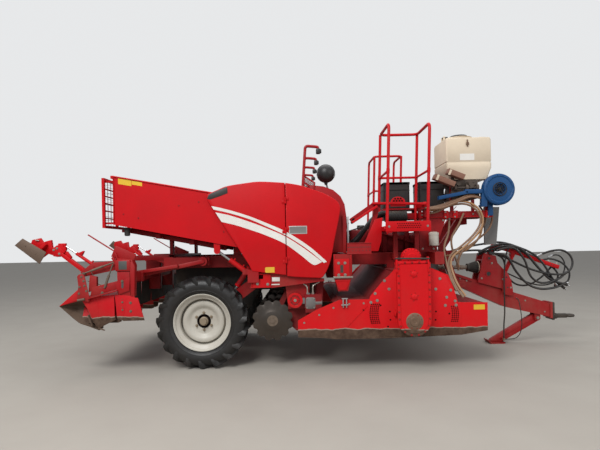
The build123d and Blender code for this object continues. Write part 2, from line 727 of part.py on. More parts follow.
tank_inner = [
    (tank_x[0] + tank_wall, shoulder),
    (tank_x[0] + tank_wall, tank_high - tank_wall),
    (tank_x[1] - tank_wall, tank_high - tank_wall),
    (tank_x[1] - tank_wall, shoulder),
    (tank_x[1] - tank_taper - tank_wall, tank_low + tank_wall),
    (tank_x[0] + tank_taper + tank_wall, tank_low + tank_wall),
]
tank -= side_plate(tank_inner, tank_y[0] + tank_wall, tank_y[1] - tank_wall)
neck_x, neck_y, neck_height = tank_x[0] + 275, (tank_y[0] + tank_y[1]) / 2, 60.0
tank -= Pos(neck_x, neck_y, tank_high) * Cylinder(160, 60)
tank += Pos(neck_x, neck_y, tank_high + neck_height / 2) * (Cylinder(182, neck_height) - Cylinder(160, 70))
lid_x, lid_z = tank_x[0] + 55, tank_high + neck_height + 22
lid = Pos(neck_x, neck_y, tank_high + neck_height + fit + 17) * Cylinder(190, 34)
lid += block((lid_x, lid_x + 60), (neck_y - 25, neck_y + 25), (lid_z - 12, lid_z + 12))
lid += pin_y(lid_x, lid_z, 12, neck_y - 25, neck_y + 25)
lid += pin_y(lid_x, lid_z, 6, neck_y - 55, neck_y + 55)
for y in (neck_y - 55, neck_y + 35):
    ear = block((lid_x - 14, lid_x + 14), (y, y + 20), (tank_high - tank_wall, lid_z + 14))
    tank += ear - pin_y(lid_x, lid_z, 6 + fit, y - 5, y + 25)
parts["tank"] = tank
parts["tank_lid"] = lid

# Metering unit under the tank, with two slanted boxes at its near side
unit_x, unit_top = tank_x[0] + 55, tank_low - 160
metering = block((unit_x, unit_x + 390), (tank_y[0] - 20, tank_y[1] + 20), (unit_top - 105, unit_top))
metering += block((unit_x + 70, unit_x + 380), (tank_y[0] + 10, tank_y[1] - 10), (unit_top, tank_low - 10))
metering += block((unit_x, unit_x + 40), (tank_y[0] - 30, tank_y[0] - 10), (unit_top - 90, tank_low + 50))
box_out = tank_y[0] - 150
for corners in (((-90, 70), (-60, 135), (160, 45), (130, -20)), ((-275, 0), (-245, 65), (30, -50), (0, -115))):
    outline = [(unit_x + x, tank_low + z) for x, z in corners]
    metering += side_plate(outline, box_out, tank_y[0] - 30)
parts["metering_unit"] = metering

# Blower with its air duct along the near side, and the grey chute behind it
blower_x, blower_z, blower_y = 4016.0, 2289.0, (-1000.0, -875.0)
blower = pin_y(blower_x, blower_z, 215, *blower_y)
blower += block((3900, 3970), (-875, -850), (frame_low + 15, 2200))
blower += block((3560, 3860), (-960, -885), (2240, 2300))
blower += side_plate([(3200, 2165), (3200, 2215), (3560, 2280), (3600, 2280), (3600, 2240)], -960, -885)
blower += block((3775, 3860), (-960, -885), (2060, 2250))
parts["blower"] = blower
chute = [(3950, 2078), (4167, 2076), (4114, 1545), (3950, 1534)]
parts["chute"] = side_plate(chute, -620, -580)

# Hose holder
holder_line = ((4320, 1530), (5339, 1159))
holder = bar((holder_line[0][0], 0, holder_line[0][1]), (holder_line[1][0], 0, holder_line[1][1]), 60, 60)
clip = [on_line(*holder_line, distance) for distance in (420, 475)]
clip_lift = (16.4, 45.1)
clip = [(x + clip_lift[0], 0, z + clip_lift[1]) for x, z in clip]
holder += bar(clip[0], clip[1], 50, 36)
holder += bar((4205, 0, 1310), (4330, 0, 1530), 60, 60)
holder += bar((4647, 0, 1400), (4380, 0, 860), 50, 50)
parts["hose_holder"] = holder - drawbar

# Top gate and mirror on the hood
gate = None
gate_half = hopper_half - 60
for y0, y1 in ((-gate_half, 40 - gate_half), (gate_half - 40, gate_half)):
    post = block((1380, 1420), (y0, y1), (2290, 2895))
    gate = post if gate is None else gate + post
gate += block((1380, 1420), (-gate_half, gate_half), (2855, 2895))
gate += block((1380, 1420), (-gate_half, gate_half), (2480, 2510))
mirror_x, mirror_y, mirror_z = 1660.0, -1100.0, 2530.0
gate += Pos(mirror_x, mirror_y, mirror_z) * Sphere(125)
gate += rod((mirror_x, mirror_y, 2190), (mirror_x, mirror_y, mirror_z - 80), 16)
parts["top_gate"] = gate

# Ridger at the rear: arms, toolbar, posts, ridge hoods and the curtain between them
px, pz = ridger_pivot
ridger = bar((px, -1010, pz), (-900, -1010, 1220), 60, 110)
ridger += pin_y(px, pz, 60, -1040, -980)
ridger -= pin_y(px, pz, 25 + fit, -1100, -900)
ridger = both(ridger)
ridger += block((-930, -810), (-ridger_y, ridger_y), (1165, 1285))
for y in (-ridger_y, -375, 275, ridger_y - 100):
    ridger += block((-1000, -780), (y, y + 100), (985, 1470))
bracket_outline = [(-990, 1440), (-990, 1330), (-1460, 1240), (-1500, 1300), (-1340, 1420)]
flank = side_plate(bracket_outline, -blade_y - 50, -blade_y - 30)
flank += pin_y(*blade_pin, 15, -blade_y - 50, -blade_y + 30)
flank += pin_y(*blade_cyl_pin, 10, -blade_y - 50, -blade_y + 30)
ridger += both(flank)
parts["ridger_frame"] = ridger
chassis += both(block((-560, 60), (-960, -920), (1340, 1450)))
chassis += both(block((-560, -440), (-960, -700), (1340, 1450)))
chassis += both(pin_y(px, pz, 25, -1060, -930))
wing = [
    (wing_x[0], 880),
    (-1497, 1000),
    (-1335, 985),
    (-1000, 985),
    (wing_x[1], 976),
    (wing_x[1] - 7, 675),
    (-867, 700),
    (-1253, 560),
    (-1498, 658),
]
hoods = both(side_plate(wing, -ridger_y - 14, -ridger_y))
former_x, former_top, former_half = (-1490.0, -975.0), 985.0, 325.0
formers = block(former_x, (-ridger_y, ridger_y), (former_top - sheet, former_top))
for row in rows:
    ridge = [
        (row - former_half, 560),
        (row - 120, former_top),
        (row + 120, former_top),
        (row + former_half, 560),
    ]
    formers += cross_plate(band_points(ridge, sheet), *former_x)
hoods += formers & side_plate(wing, -ridger_y, ridger_y)
parts["ridger_hoods"] = hoods
parts["curtain"] = block((-960, -945), (-1330, 1330), (800, 1165))

# Blade arms at both rear flanks, each held up by a cylinder
head_outline = [(-1760, 1500), (-1680, 1600), (-1700, 1690), (-1900, 1720), (-1990, 1640), (-1960, 1520)]
slot_outline = [(-1560, 1540), (-1650, 1480), (-1790, 1600), (-1780, 1710), (-1600, 1710)]


def blade_side():
    near, far = -blade_y - 25, -blade_y + 25
    arm = bar((blade_pin[0], -blade_y, blade_pin[1]), (-1790, -blade_y, 1565), 50, 70)
    arm += pin_y(*blade_pin, 45, near, far)
    arm -= pin_y(*blade_pin, 15 + fit, near - 5, far + 5)
    head = side_plate(head_outline, near, far)
    slot = side_plate(slot_outline, near + 6, far - 6)
    arm += head
    arm -= slot & block((-1800, -1500), (near + 6, far - 6), (1598, 1720))
    arm += pin_y(*blade_cyl_eye, blade_eye_pin, near, far)
    blade = [(-2297, 1658), (-2199, 1747), (-1951, 1600), (-1951, 1500), (-2030, 1427)]
    arm += side_plate(blade, -blade_y - 110, -blade_y + 110)
    return arm


def blade_cylinder():
    """The barrel and the rod of one blade arm's cylinder, at the right."""
    reach = math.dist(blade_cyl_pin, blade_cyl_eye)
    ends = [on_line(blade_cyl_pin, blade_cyl_eye, d) for d in (0, 290, 40, reach - 12)]
    start, mouth, foot, tip = [(x, -blade_y, z) for x, z in ends]
    body = rod(start, mouth, 22) + pin_y(*blade_cyl_pin, 22, -blade_y - 18, -blade_y + 18)
    body -= rod(foot, mouth, 15)
    body -= pin_y(*blade_cyl_pin, 10 + fit, -blade_y - 30, -blade_y + 30)
    way = [(a - b) / reach for a, b in zip(blade_cyl_eye, blade_cyl_pin)]
    eye_x = blade_cyl_eye[0] + blade_eye_shift[0] * way[0] - blade_eye_shift[1] * way[1]
    eye_z = blade_cyl_eye[1] + blade_eye_shift[0] * way[1] + blade_eye_shift[1] * way[0]
    stem = rod(foot, tip, 10) + pin_y(eye_x, eye_z, blade_eye_bore + 8, -blade_y - 13, -blade_y + 13)
    stem -= pin_y(eye_x, eye_z, blade_eye_bore, -blade_y - 30, -blade_y + 30)
    shifted = on_line(blade_cyl_pin, blade_cyl_eye, 60)
    stem -= rod(start, (shifted[0], -blade_y, shifted[1]), 14)
    return body, stem


barrel, stem = blade_cylinder()
for name, turn in (("right", lambda shape: shape), ("left", left)):
    parts[f"blade_arm_{name}"] = turn(blade_side())
    parts[f"blade_barrel_{name}"] = turn(barrel)
    parts[f"blade_rod_{name}"] = turn(stem)

parts["chassis_frame"] = chassis

# Hoses that hang free: each is a tube of straight runs joined by arcs
def hose(name, points, diameter):
    """A round hose along the points; each arc takes 0.45 of the shorter run beside it."""
    places = [Vector(*point) for point in points]
    radii = []
    for before, corner, after in zip(places, places[1:], places[2:]):
        turn = math.radians((corner - before).get_angle(after - corner))
        shorter = min((corner - before).length, (after - corner).length)
        radii.append(0.45 * shorter / math.tan(turn / 2))
    path = FilletPolyline(*places, radius=radii)
    start = Plane(origin=path @ 0, z_dir=path % 0)
    tube = sweep(start * Circle(diameter / 2), path=path)
    expected = math.pi * diameter**2 / 4 * path.length
    print(f"{name}: length {path.length:.0f}, least radius {min(radii) / diameter:.1f} diameters,", end=" ")
    print(f"volume {tube.volume / expected:.4f} of its section times its length")
    return tube


def beside(points, spacing):
    """The route that runs beside another in the X and Z plane, to the left of its travel."""
    route = []
    for i, (x, y, z) in enumerate(points):
        before, after = points[max(i - 1, 0)], points[min(i + 1, len(points) - 1)]
        run_x, run_z = after[0] - before[0], after[2] - before[2]
        run = math.hypot(run_x, run_z)
        route.append((x - run_z / run * spacing, y, z + run_x / run * spacing))
    return route


granule_run = [
    (manifold_x, -912, 1985),
    (3160, -912, 1985),
    (3282, -914, 2055),
    (3430, -920, 2103),
    (3588, -930, 2108),
    (3728, -940, 2020),
    (3782, -950, 1872),
    (3700, -960, 1713),
    (3509, -975, 1542),
    (3330, -1010, 1428),
    (3262, -1085, 1310),
    (3256, -1190, 1190),
    (3262, -1290, 1075),
    (3300, -1360, 965),
    (3352, -1392, 880),
]
parts["granule_hose_1"] = hose("granule_hose_1", granule_run, granule_hose)
spacing = granule_hose + 6
level = [(x, y, z + spacing) for x, y, z in granule_run[:2]]
upper_run = level + beside(granule_run, spacing)[2:]
parts["granule_hose_2"] = hose("granule_hose_2", upper_run, granule_hose)
below_beam = [
    (3385, -800, frame_low),
    (3385, -800, 1800),
    (3345, -868, 1680),
    (3262, -965, 1572),
    (3222, -1060, 1445),
    (3226, -1150, 1312),
    (3224, -1240, 1190),
    (3232, -1325, 1070),
    (3270, -1392, 965),
]
parts["granule_hose_3"] = hose("granule_hose_3", below_beam, granule_hose)
behind = [
    (3850, -800, frame_low),
    (3850, -800, 1785),
    (3825, -745, 1640),
    (3740, -670, 1515),
    (3620, -590, 1430),
    (3475, -520, 1390),
    (3325, -478, 1384),
    (3180, -478, 1384),
]
parts["granule_hose_4"] = hose("granule_hose_4", behind, granule_hose)
loop_middle, loop_radius = (5310.0, 1245.0), 185.0
loop_points = []
for k, y in ((-1.5, -132), (-0.5, -124), (0.5, -108), (1.5, -82)):
    turn = math.radians(45 * k)
    reach = loop_radius / math.cos(math.radians(22.5))
    loop_points.append((loop_middle[0] + reach * math.cos(turn), y, loop_middle[1] + reach * math.sin(turn)))
thick_run = [
    (3180, -120, 1400),
    (3490, -120, 1400),
    (3820, -105, 1450),
    (4130, -90, 1455),
    (4395, -80, 1375),
    (4640, -85, 1245),
    (4870, -115, 1130),
    (5095, -132, 1068),
    (5250, -134, 1052),
    *loop_points,
    (5240, -50, 1427),
    (5110, -22, 1388),
    (5010, -8, 1338),
]
parts["hydraulic_hose_1"] = hose("hydraulic_hose_1", thick_run, thick_hose)
hanging = [
    (3180, -50, 1400),
    (3490, -50, 1400),
    (3820, -60, 1500),
    (4120, -66, 1545),
    (4400, -62, 1585),
    (4690, -50, 1490),
    (4925, -66, 1385),
    (5065, -82, 1225),
    (5165, -86, 1040),
    (5270, -88, 868),
]
parts["hydraulic_hose_2"] = hose("hydraulic_hose_2", hanging, thick_hose)
front_loop = [
    (4522, 0, 1088),
    (4690, 22, 1010),
    (4900, 46, 912),
    (5110, 62, 866),
    (5305, 76, 905),
    (5450, 84, 1020),
    (5505, 86, 1170),
    (5450, 80, 1310),
    (5330, 60, 1368),
    (5205, 30, 1322),
]
parts["hydraulic_hose_3"] = hose("hydraulic_hose_3", front_loop, loop_hose)
coupling_half, coupling_gap = 16.0, fit
coupling_y = (fitting_y - coupling_gap - 2 * coupling_half, fitting_y - coupling_gap)
coupling_middle = sum(coupling_y) / 2
clip_way = [(a - b) / math.dist(*clip) for a, b in zip(*clip)]
leg_run = [
    clip[0],
    tuple(place + way * 60 for place, way in zip(clip[0], clip_way)),
    (4575, -62, 1498),
    (4510, -112, 1470),
    (4462, -145, 1385),
    (4425, -172, 1245),
    (4408, -180, 1060),
    (4404, -178, 860),
    (4412, -168, 660),
    (4420, -152, 470),
    (fitting_x, coupling_middle, 280),
    (fitting_x, coupling_middle, fitting_z + coupling_half),
]
parts["leg_hose"] = hose("leg_hose", leg_run, leg_hose)
thin_run = [
    (4620, -beam_half, 700),
    (4620, -185, 700),
    (4630, -205, 590),
    (4648, -204, 450),
    (4660, -195, 300),
    (4640, -180, 165),
    (4585, -150, 88),
    (fitting_x + coupling_half + 75, coupling_middle, fitting_z),
    (fitting_x + coupling_half, coupling_middle, fitting_z),
]
parts["leg_loop"] = hose("leg_loop", thin_run, thin_hose)
coupling_x = (fitting_x - coupling_half, fitting_x + coupling_half)
parts["leg_coupling"] = block(coupling_x, coupling_y, (fitting_z - coupling_half, fitting_z + coupling_half))

# What stands on another part is cut to it
seats = (
    ("chassis_frame", ("axle_arms",)),
    ("row_units", ("elevators", "chassis_frame")),
    ("elevators", ("chassis_frame",)),
    ("panel_right", ("chassis_frame",)),
    ("panel_left", ("chassis_frame",)),
    ("service_frame", ("chassis_frame",)),
    ("drawbar", ("chassis_frame",)),
    ("pto_drive", ("chassis_frame", "drawbar", "tiller_hood")),
    ("top_gate", ("elevators",)),
    ("bins", ("applicator_frame",)),
    ("metering_unit", ("applicator_frame", "tank")),
    ("ridger_hoods", ("ridger_frame",)),
    ("curtain", ("ridger_frame",)),
    ("blower", ("applicator_frame",)),
)
for name, others in seats:
    for other in others:
        left_over = (parts[name] - parts[other]).solids()
        least = 0.02 * max(piece.volume for piece in left_over)
        parts[name] = Compound([piece for piece in left_over if piece.volume > least])

os.makedirs("parts", exist_ok=True)
for name, shape in parts.items():
    export_step(Pos(-origin_shift, 0, 0) * shape, f"parts/{name}.step")
print(len(parts), "parts")
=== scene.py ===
import bmesh
import bpy
import math
from mathutils import Matrix, Vector


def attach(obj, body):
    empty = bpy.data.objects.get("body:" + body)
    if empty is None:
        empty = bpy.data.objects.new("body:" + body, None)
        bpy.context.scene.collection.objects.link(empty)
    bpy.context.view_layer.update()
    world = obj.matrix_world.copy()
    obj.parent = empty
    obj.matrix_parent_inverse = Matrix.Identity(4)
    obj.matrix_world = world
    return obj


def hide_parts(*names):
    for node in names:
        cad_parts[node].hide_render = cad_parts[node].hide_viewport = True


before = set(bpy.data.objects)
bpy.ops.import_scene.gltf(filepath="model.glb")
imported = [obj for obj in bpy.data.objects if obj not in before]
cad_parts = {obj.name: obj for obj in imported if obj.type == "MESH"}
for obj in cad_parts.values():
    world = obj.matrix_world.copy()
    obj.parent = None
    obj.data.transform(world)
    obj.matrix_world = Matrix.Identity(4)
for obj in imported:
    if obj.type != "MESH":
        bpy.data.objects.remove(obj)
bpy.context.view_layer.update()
print("frame loaded:", len(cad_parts), "nodes")

# pieces are placed from the wheels' axle; the frame's origin lies this far in front of it
axleToMiddle = 1.62
sides = (("Right", False), ("Left", True))


# Shader groups

def newGroup(name, inputs, outputs):
    tree = bpy.data.node_groups.new(name, "ShaderNodeTree")
    for label, kind, value in inputs:
        socket = tree.interface.new_socket(label, in_out="INPUT", socket_type=kind)
        socket.default_value = value
    for label, kind in outputs:
        tree.interface.new_socket(label, in_out="OUTPUT", socket_type=kind)
    return tree


def node(tree, kind, **values):
    made = tree.nodes.new(kind)
    for label, value in values.items():
        setattr(made, label, value)
    return made


def feed(tree, sockets, values):
    # each value is a number, a colour or another node's socket
    for socket, value in zip(sockets, values):
        if isinstance(value, bpy.types.NodeSocket):
            tree.links.new(value, socket)
        else:
            socket.default_value = value


def mixColour(tree, factor, low, high, mode="MIX"):
    made = node(tree, "ShaderNodeMix", data_type="RGBA", blend_type=mode)
    feed(tree, (made.inputs[0], made.inputs[6], made.inputs[7]), (factor, low, high))
    return made.outputs[2]


def maths(tree, operation, first, second=0.0, clamp=False):
    made = node(tree, "ShaderNodeMath", operation=operation, use_clamp=clamp)
    feed(tree, made.inputs[:2], (first, second))
    return made.outputs[0]


def noise(tree, coords, scale, detail=4.0, roughness=0.55, stretch=None):
    made = node(tree, "ShaderNodeTexNoise")
    made.inputs["Scale"].default_value = scale
    made.inputs["Detail"].default_value = detail
    made.inputs["Roughness"].default_value = roughness
    if stretch:
        mapping = node(tree, "ShaderNodeMapping")
        mapping.inputs["Scale"].default_value = stretch
        tree.links.new(coords, mapping.inputs["Vector"])
        coords = mapping.outputs[0]
    tree.links.new(coords, made.inputs["Vector"])
    return made.outputs["Fac"]


def span(tree, value, low, high, start=0.0, end=1.0):
    made = node(tree, "ShaderNodeMapRange", clamp=True)
    feed(tree, made.inputs[:5], (value, low, high, start, end))
    return made.outputs[0]


def buildWeather():
    tree = newGroup(
        "weather",
        [
            ("Color", "NodeSocketColor", (0.5, 0.5, 0.5, 1)),
            ("Dust And Sheen Color", "NodeSocketColor", (0.33, 0.25, 0.17, 1)), ("Dust And Sheen", "NodeSocketFloat", 0.3),
            ("Low", "NodeSocketFloat", 0.2), ("High", "NodeSocketFloat", 1.6),
            ("Roughness", "NodeSocketFloat", 0.35), ("Wear Color", "NodeSocketColor", (0.2, 0.12, 0.08, 1)),
            ("Wear", "NodeSocketFloat", 0.2),
        ],
        [("Color", "NodeSocketColor"), ("Roughness", "NodeSocketFloat"), ("Height", "NodeSocketFloat")],
    )
    start = node(tree, "NodeGroupInput")
    end = node(tree, "NodeGroupOutput")
    coords = node(tree, "ShaderNodeTexCoord").outputs["Object"]
    split = node(tree, "ShaderNodeSeparateXYZ")
    tree.links.new(coords, split.inputs[0])
    facing = node(tree, "ShaderNodeSeparateXYZ")
    tree.links.new(node(tree, "ShaderNodeNewGeometry").outputs["Normal"], facing.inputs[0])
    broad = noise(tree, coords, 2.2, 5.0, 0.6)
    fine = noise(tree, coords, 26.0, 6.0, 0.65)
    streak = noise(tree, coords, 9.0, 3.0, 0.5, (1.0, 1.0, 0.12))
    heightMask = span(tree, split.outputs[2], start.outputs["Low"], start.outputs["High"], 1.0, 0.0)
    # upward faces take more of the dust colour; on the tyre this lighter top is painted sheen as well as dust
    topMask = span(tree, facing.outputs[2], 0.35, 0.95, 0.0, 0.65)
    dustAndSheenPlaces = maths(tree, "MAXIMUM", heightMask, topMask)
    patches = maths(tree, "MULTIPLY", span(tree, broad, 0.35, 0.68), span(tree, fine, 0.3, 0.7, 0.45, 1.0))
    patches = maths(tree, "ADD", patches, span(tree, streak, 0.5, 0.8, 0.0, 0.35), True)
    thin = maths(tree, "MULTIPLY", maths(tree, "MULTIPLY", dustAndSheenPlaces, patches), start.outputs["Dust And Sheen"], True)
    varied = mixColour(tree, span(tree, broad, 0.3, 0.7, 0.0, 0.16), start.outputs["Color"],
                       (0.02, 0.012, 0.01, 1))
    dustAndSheenColoured = mixColour(tree, thin, varied, start.outputs["Dust And Sheen Color"])
    chips = span(tree, noise(tree, coords, 60.0, 8.0, 0.7), 0.66, 0.7)
    spots = maths(tree, "MULTIPLY", chips, span(tree, broad, 0.52, 0.6))
    spots = maths(tree, "MULTIPLY", spots, start.outputs["Wear"], True)
    worn = mixColour(tree, spots, dustAndSheenColoured, start.outputs["Wear Color"])
    rough = maths(tree, "ADD", start.outputs["Roughness"], maths(tree, "MULTIPLY", thin, 0.5))
    rough = maths(tree, "ADD", rough, span(tree, fine, 0.2, 0.8, -0.05, 0.08), True)
    relief = maths(tree, "ADD", maths(tree, "MULTIPLY", fine, 0.35), maths(tree, "MULTIPLY", spots, -0.8))
    tree.links.new(worn, end.inputs["Color"])
    tree.links.new(rough, end.inputs["Roughness"])
    tree.links.new(relief, end.inputs["Height"])
    return tree


def buildScraped():
    # bare, earth-stained steel below an uneven line, with a bright edge where the paint ends
    tree = newGroup(
        "scraped",
        [
            ("Color", "NodeSocketColor", (0.5, 0.5, 0.5, 1)), ("Roughness", "NodeSocketFloat", 0.35),
            ("Level", "NodeSocketFloat", 0.5), ("Bare Color", "NodeSocketColor", (0.062, 0.034, 0.022, 1)),
        ],
        [("Color", "NodeSocketColor"), ("Roughness", "NodeSocketFloat"), ("Mask", "NodeSocketFloat")],
    )
    start = node(tree, "NodeGroupInput")
    end = node(tree, "NodeGroupOutput")
    coords = node(tree, "ShaderNodeTexCoord").outputs["Object"]
    split = node(tree, "ShaderNodeSeparateXYZ")
    tree.links.new(coords, split.inputs[0])
    broad = noise(tree, coords, 4.2, 2.0, 0.5)
    fine = noise(tree, coords, 34.0, 4.0, 0.6)
    offset = maths(tree, "ADD", span(tree, broad, 0.3, 0.7, -0.014, 0.014),
                   span(tree, fine, 0.3, 0.7, -0.003, 0.003))
    height = maths(tree, "SUBTRACT", maths(tree, "ADD", split.outputs[2], offset), start.outputs["Level"])
    mask = span(tree, height, -0.003, 0.003, 1.0, 0.0)
    edge = maths(tree, "MULTIPLY", mask, span(tree, height, -0.014, -0.006, 0.0, 0.55))
    light = mixColour(tree, 0.3, start.outputs["Bare Color"], (0.24, 0.16, 0.11, 1))
    dark = mixColour(tree, 0.45, start.outputs["Bare Color"], (0.035, 0.02, 0.015, 1))
    earth = mixColour(tree, span(tree, noise(tree, coords, 13.0, 6.0, 0.7), 0.35, 0.68), dark, light)
    bare = mixColour(tree, edge, earth, (0.52, 0.4, 0.33, 1))
    tree.links.new(mixColour(tree, mask, start.outputs["Color"], bare), end.inputs["Color"])
    rough = maths(tree, "ADD", start.outputs["Roughness"], maths(tree, "MULTIPLY", mask, 0.25), True)
    tree.links.new(rough, end.inputs["Roughness"])
    tree.links.new(mask, end.inputs["Mask"])
    return tree


weather = buildWeather()
scraped = buildScraped()


def newMaterial(name, colour, roughness=0.35, metallic=0.0, dustAndSheen=0.3, low=0.2, high=1.6, wear=0.2, coat=0.0,
                bump=0.02, dustAndSheenColour=(0.33, 0.25, 0.17), wearColour=(0.2, 0.12, 0.08), specular=0.4,
                level=None):
    made = bpy.data.materials.new(name)
    made.use_nodes = True
    tree = made.node_tree
    shader = tree.nodes["Principled BSDF"]
    effect = node(tree, "ShaderNodeGroup", node_tree=weather)
    effect.inputs["Color"].default_value = (*colour, 1)
    effect.inputs["Dust And Sheen Color"].default_value = (*dustAndSheenColour, 1)
    effect.inputs["Dust And Sheen"].default_value = dustAndSheen
    effect.inputs["Low"].default_value = low
    effect.inputs["High"].default_value = high
    effect.inputs["Roughness"].default_value = roughness
    effect.inputs["Wear Color"].default_value = (*wearColour, 1)
    effect.inputs["Wear"].default_value = wear
    relief = node(tree, "ShaderNodeBump")
    relief.inputs["Strength"].default_value = 0.35
    relief.inputs["Distance"].default_value = bump * 0.1
    last = effect
    if level is not None:
        last = node(tree, "ShaderNodeGroup", node_tree=scraped)
        last.inputs["Level"].default_value = level
        tree.links.new(effect.outputs["Color"], last.inputs["Color"])
        tree.links.new(effect.outputs["Roughness"], last.inputs["Roughness"])
    tree.links.new(last.outputs["Color"], shader.inputs["Base Color"])
    tree.links.new(last.outputs["Roughness"], shader.inputs["Roughness"])
    tree.links.new(effect.outputs["Height"], relief.inputs["Height"])
    tree.links.new(relief.outputs["Normal"], shader.inputs["Normal"])
    shader.inputs["Metallic"].default_value = metallic
    shader.inputs["Specular IOR Level"].default_value = specular
    shader.inputs["Coat Weight"].default_value = coat
    shader.inputs["Coat Roughness"].default_value = 0.12
    return made


redPaint = newMaterial("redPaint", (0.49, 0.0035, 0.007), 0.42, dustAndSheen=0.1, low=0.3, high=1.6, wear=0.2,
                       coat=0.03, specular=0.14)
redFrame = newMaterial("redFrame", (0.3, 0.003, 0.006), 0.45, dustAndSheen=0.2, low=0.3, high=1.9, wear=0.6,
                       specular=0.25)
# a darker red with heavy wear; on parts inside and under the machine its darkness is also painted shade
redWornAndShaded = newMaterial("redWornAndShaded", (0.2, 0.005, 0.008), 0.55, dustAndSheen=0.5, low=0.1, high=1.5, wear=0.9,
                      specular=0.2, dustAndSheenColour=(0.16, 0.1, 0.07))
tillerPaint = newMaterial("tillerPaint", (0.6, 0.005, 0.009), 0.44, dustAndSheen=0.06, low=0.3, high=1.4, wear=0.3,
                          coat=0.03, specular=0.14, level=0.525)
ridgerPaint = newMaterial("ridgerPaint", (0.5, 0.006, 0.012), 0.42, dustAndSheen=0.15, low=0.3, high=1.4, wear=0.35,
                          specular=0.14, level=0.735)
creamPaint = newMaterial("creamPaint", (0.5, 0.475, 0.415), 0.36, dustAndSheen=0.4, low=0.0, high=1.3, wear=0.5)
creamPlastic = newMaterial("creamPlastic", (0.66, 0.555, 0.42), 0.5, dustAndSheen=0.15, low=1.0, high=2.4, wear=0.0,
                           specular=0.25)
# the dust colour on the lugs' upward faces is partly real dust and partly painted sheen on the lug tops
tyreRubber = newMaterial("tyreRubber", (0.009, 0.009, 0.0092), 0.45, dustAndSheen=0.14, low=0.0, high=1.6, wear=0.0,
                         bump=0.3, dustAndSheenColour=(0.12, 0.095, 0.07), specular=0.45)
wornSteel = newMaterial("wornSteel", (0.19, 0.12, 0.08), 0.5, metallic=0.6, dustAndSheen=0.7, low=0.0, high=1.2,
                        wear=1.0, bump=0.06, wearColour=(0.1, 0.04, 0.02))
earthSteel = newMaterial("earthSteel", (0.11, 0.07, 0.048), 0.55, metallic=0.25, dustAndSheen=0.6, low=0.0,
                         high=2.4, wear=1.0, bump=0.06, dustAndSheenColour=(0.19, 0.13, 0.09),
                         wearColour=(0.045, 0.02, 0.012))
brightSteel = newMaterial("brightSteel", (0.5, 0.5, 0.5), 0.25, metallic=1.0, dustAndSheen=0.1, wear=0.2)
boltSteel = newMaterial("boltSteel", (0.36, 0.33, 0.29), 0.42, metallic=0.85, dustAndSheen=0.4, low=0.2, high=2.2,
                        wear=0.9, wearColour=(0.12, 0.06, 0.03))
forgedSteel = newMaterial("forgedSteel", (0.03, 0.028, 0.027), 0.5, metallic=0.4, dustAndSheen=0.3, low=0.0,
                          high=1.2, wear=0.9, bump=0.08, wearColour=(0.16, 0.1, 0.07))
greyPaint = newMaterial("greyPaint", (0.13, 0.13, 0.13), 0.45, dustAndSheen=0.35, low=0.3, high=2.2, wear=0.3)
shaftGrey = newMaterial("shaftGrey", (0.22, 0.17, 0.14), 0.5, metallic=0.3, dustAndSheen=0.5, low=0.3, high=2.2,
                        wear=0.9)
linkSteel = newMaterial("linkSteel", (0.17, 0.13, 0.1), 0.5, metallic=0.6, dustAndSheen=0.5, low=0.0, high=2.2,
                        wear=1.0, wearColour=(0.07, 0.035, 0.02))
discSteel = newMaterial("discSteel", (0.085, 0.073, 0.064), 0.32, metallic=0.9, dustAndSheen=0.2, low=0.0, high=1.0,
                        wear=1.0, bump=0.04, wearColour=(0.09, 0.05, 0.03))
plugDark = newMaterial("plugDark", (0.055, 0.06, 0.06), 0.55, dustAndSheen=0.4, low=0.3, high=2.2, wear=0.3)
galvanised = newMaterial("galvanised", (0.42, 0.43, 0.43), 0.42, metallic=0.8, dustAndSheen=0.35, low=0.3, high=2.2,
                         wear=0.2)
bluePaint = newMaterial("bluePaint", (0.003, 0.055, 0.17), 0.45, dustAndSheen=0.12, low=0.3, high=3.0, wear=1.0,
                        specular=0.25, wearColour=(0.03, 0.022, 0.018))
hubMetal = newMaterial("hubMetal", (0.3, 0.24, 0.17), 0.5, metallic=0.5, dustAndSheen=0.6, low=0.0, high=1.3,
                       wear=0.8)
# black plastic parts; the same material is also painted shade in small holes, bores and slots
blackPlasticAndHoleShade = newMaterial("blackPlasticAndHoleShade", (0.016, 0.016, 0.017), 0.45, dustAndSheen=0.25, low=0.3, high=3.0,
                           wear=0.0)
blackGloss = newMaterial("blackGloss", (0.014, 0.014, 0.015), 0.42, dustAndSheen=0.25, low=0.3, high=3.0, wear=0.0)
# near-black discs and cones set in holes, vents and recesses: painted shade of the openings
paintedHoleShade = newMaterial("paintedHoleShade", (0.006, 0.004, 0.004), 0.8, dustAndSheen=0.0, wear=0.0, specular=0.05)
blackRubber = newMaterial("blackRubber", (0.02, 0.019, 0.018), 0.7, dustAndSheen=0.5, low=0.0, high=1.8, wear=0.0)
hoseBrown = newMaterial("hoseBrown", (0.2, 0.105, 0.06), 0.45, dustAndSheen=0.5, low=0.5, high=3.0, wear=0.8,
                        wearColour=(0.06, 0.035, 0.025))
hoseYellow = newMaterial("hoseYellow", (0.36, 0.19, 0.085), 0.42, dustAndSheen=0.4, low=0.5, high=3.0, wear=1.0,
                         wearColour=(0.12, 0.05, 0.03))
hoseBlack = newMaterial("hoseBlack", (0.01, 0.01, 0.011), 0.42, dustAndSheen=0.12, low=0.2, high=2.2, wear=0.0,
                        bump=0.05)
stripeWhite = newMaterial("stripeWhite", (0.72, 0.7, 0.66), 0.45, dustAndSheen=0.3, low=0.6, high=2.4, wear=0.15,
                          wearColour=(0.42, 0.05, 0.04), specular=0.25)
labelYellow = newMaterial("labelYellow", (0.7, 0.43, 0.02), 0.5, dustAndSheen=0.35, low=0.6, high=3.2, wear=0.5,
                          wearColour=(0.35, 0.16, 0.03), specular=0.25)
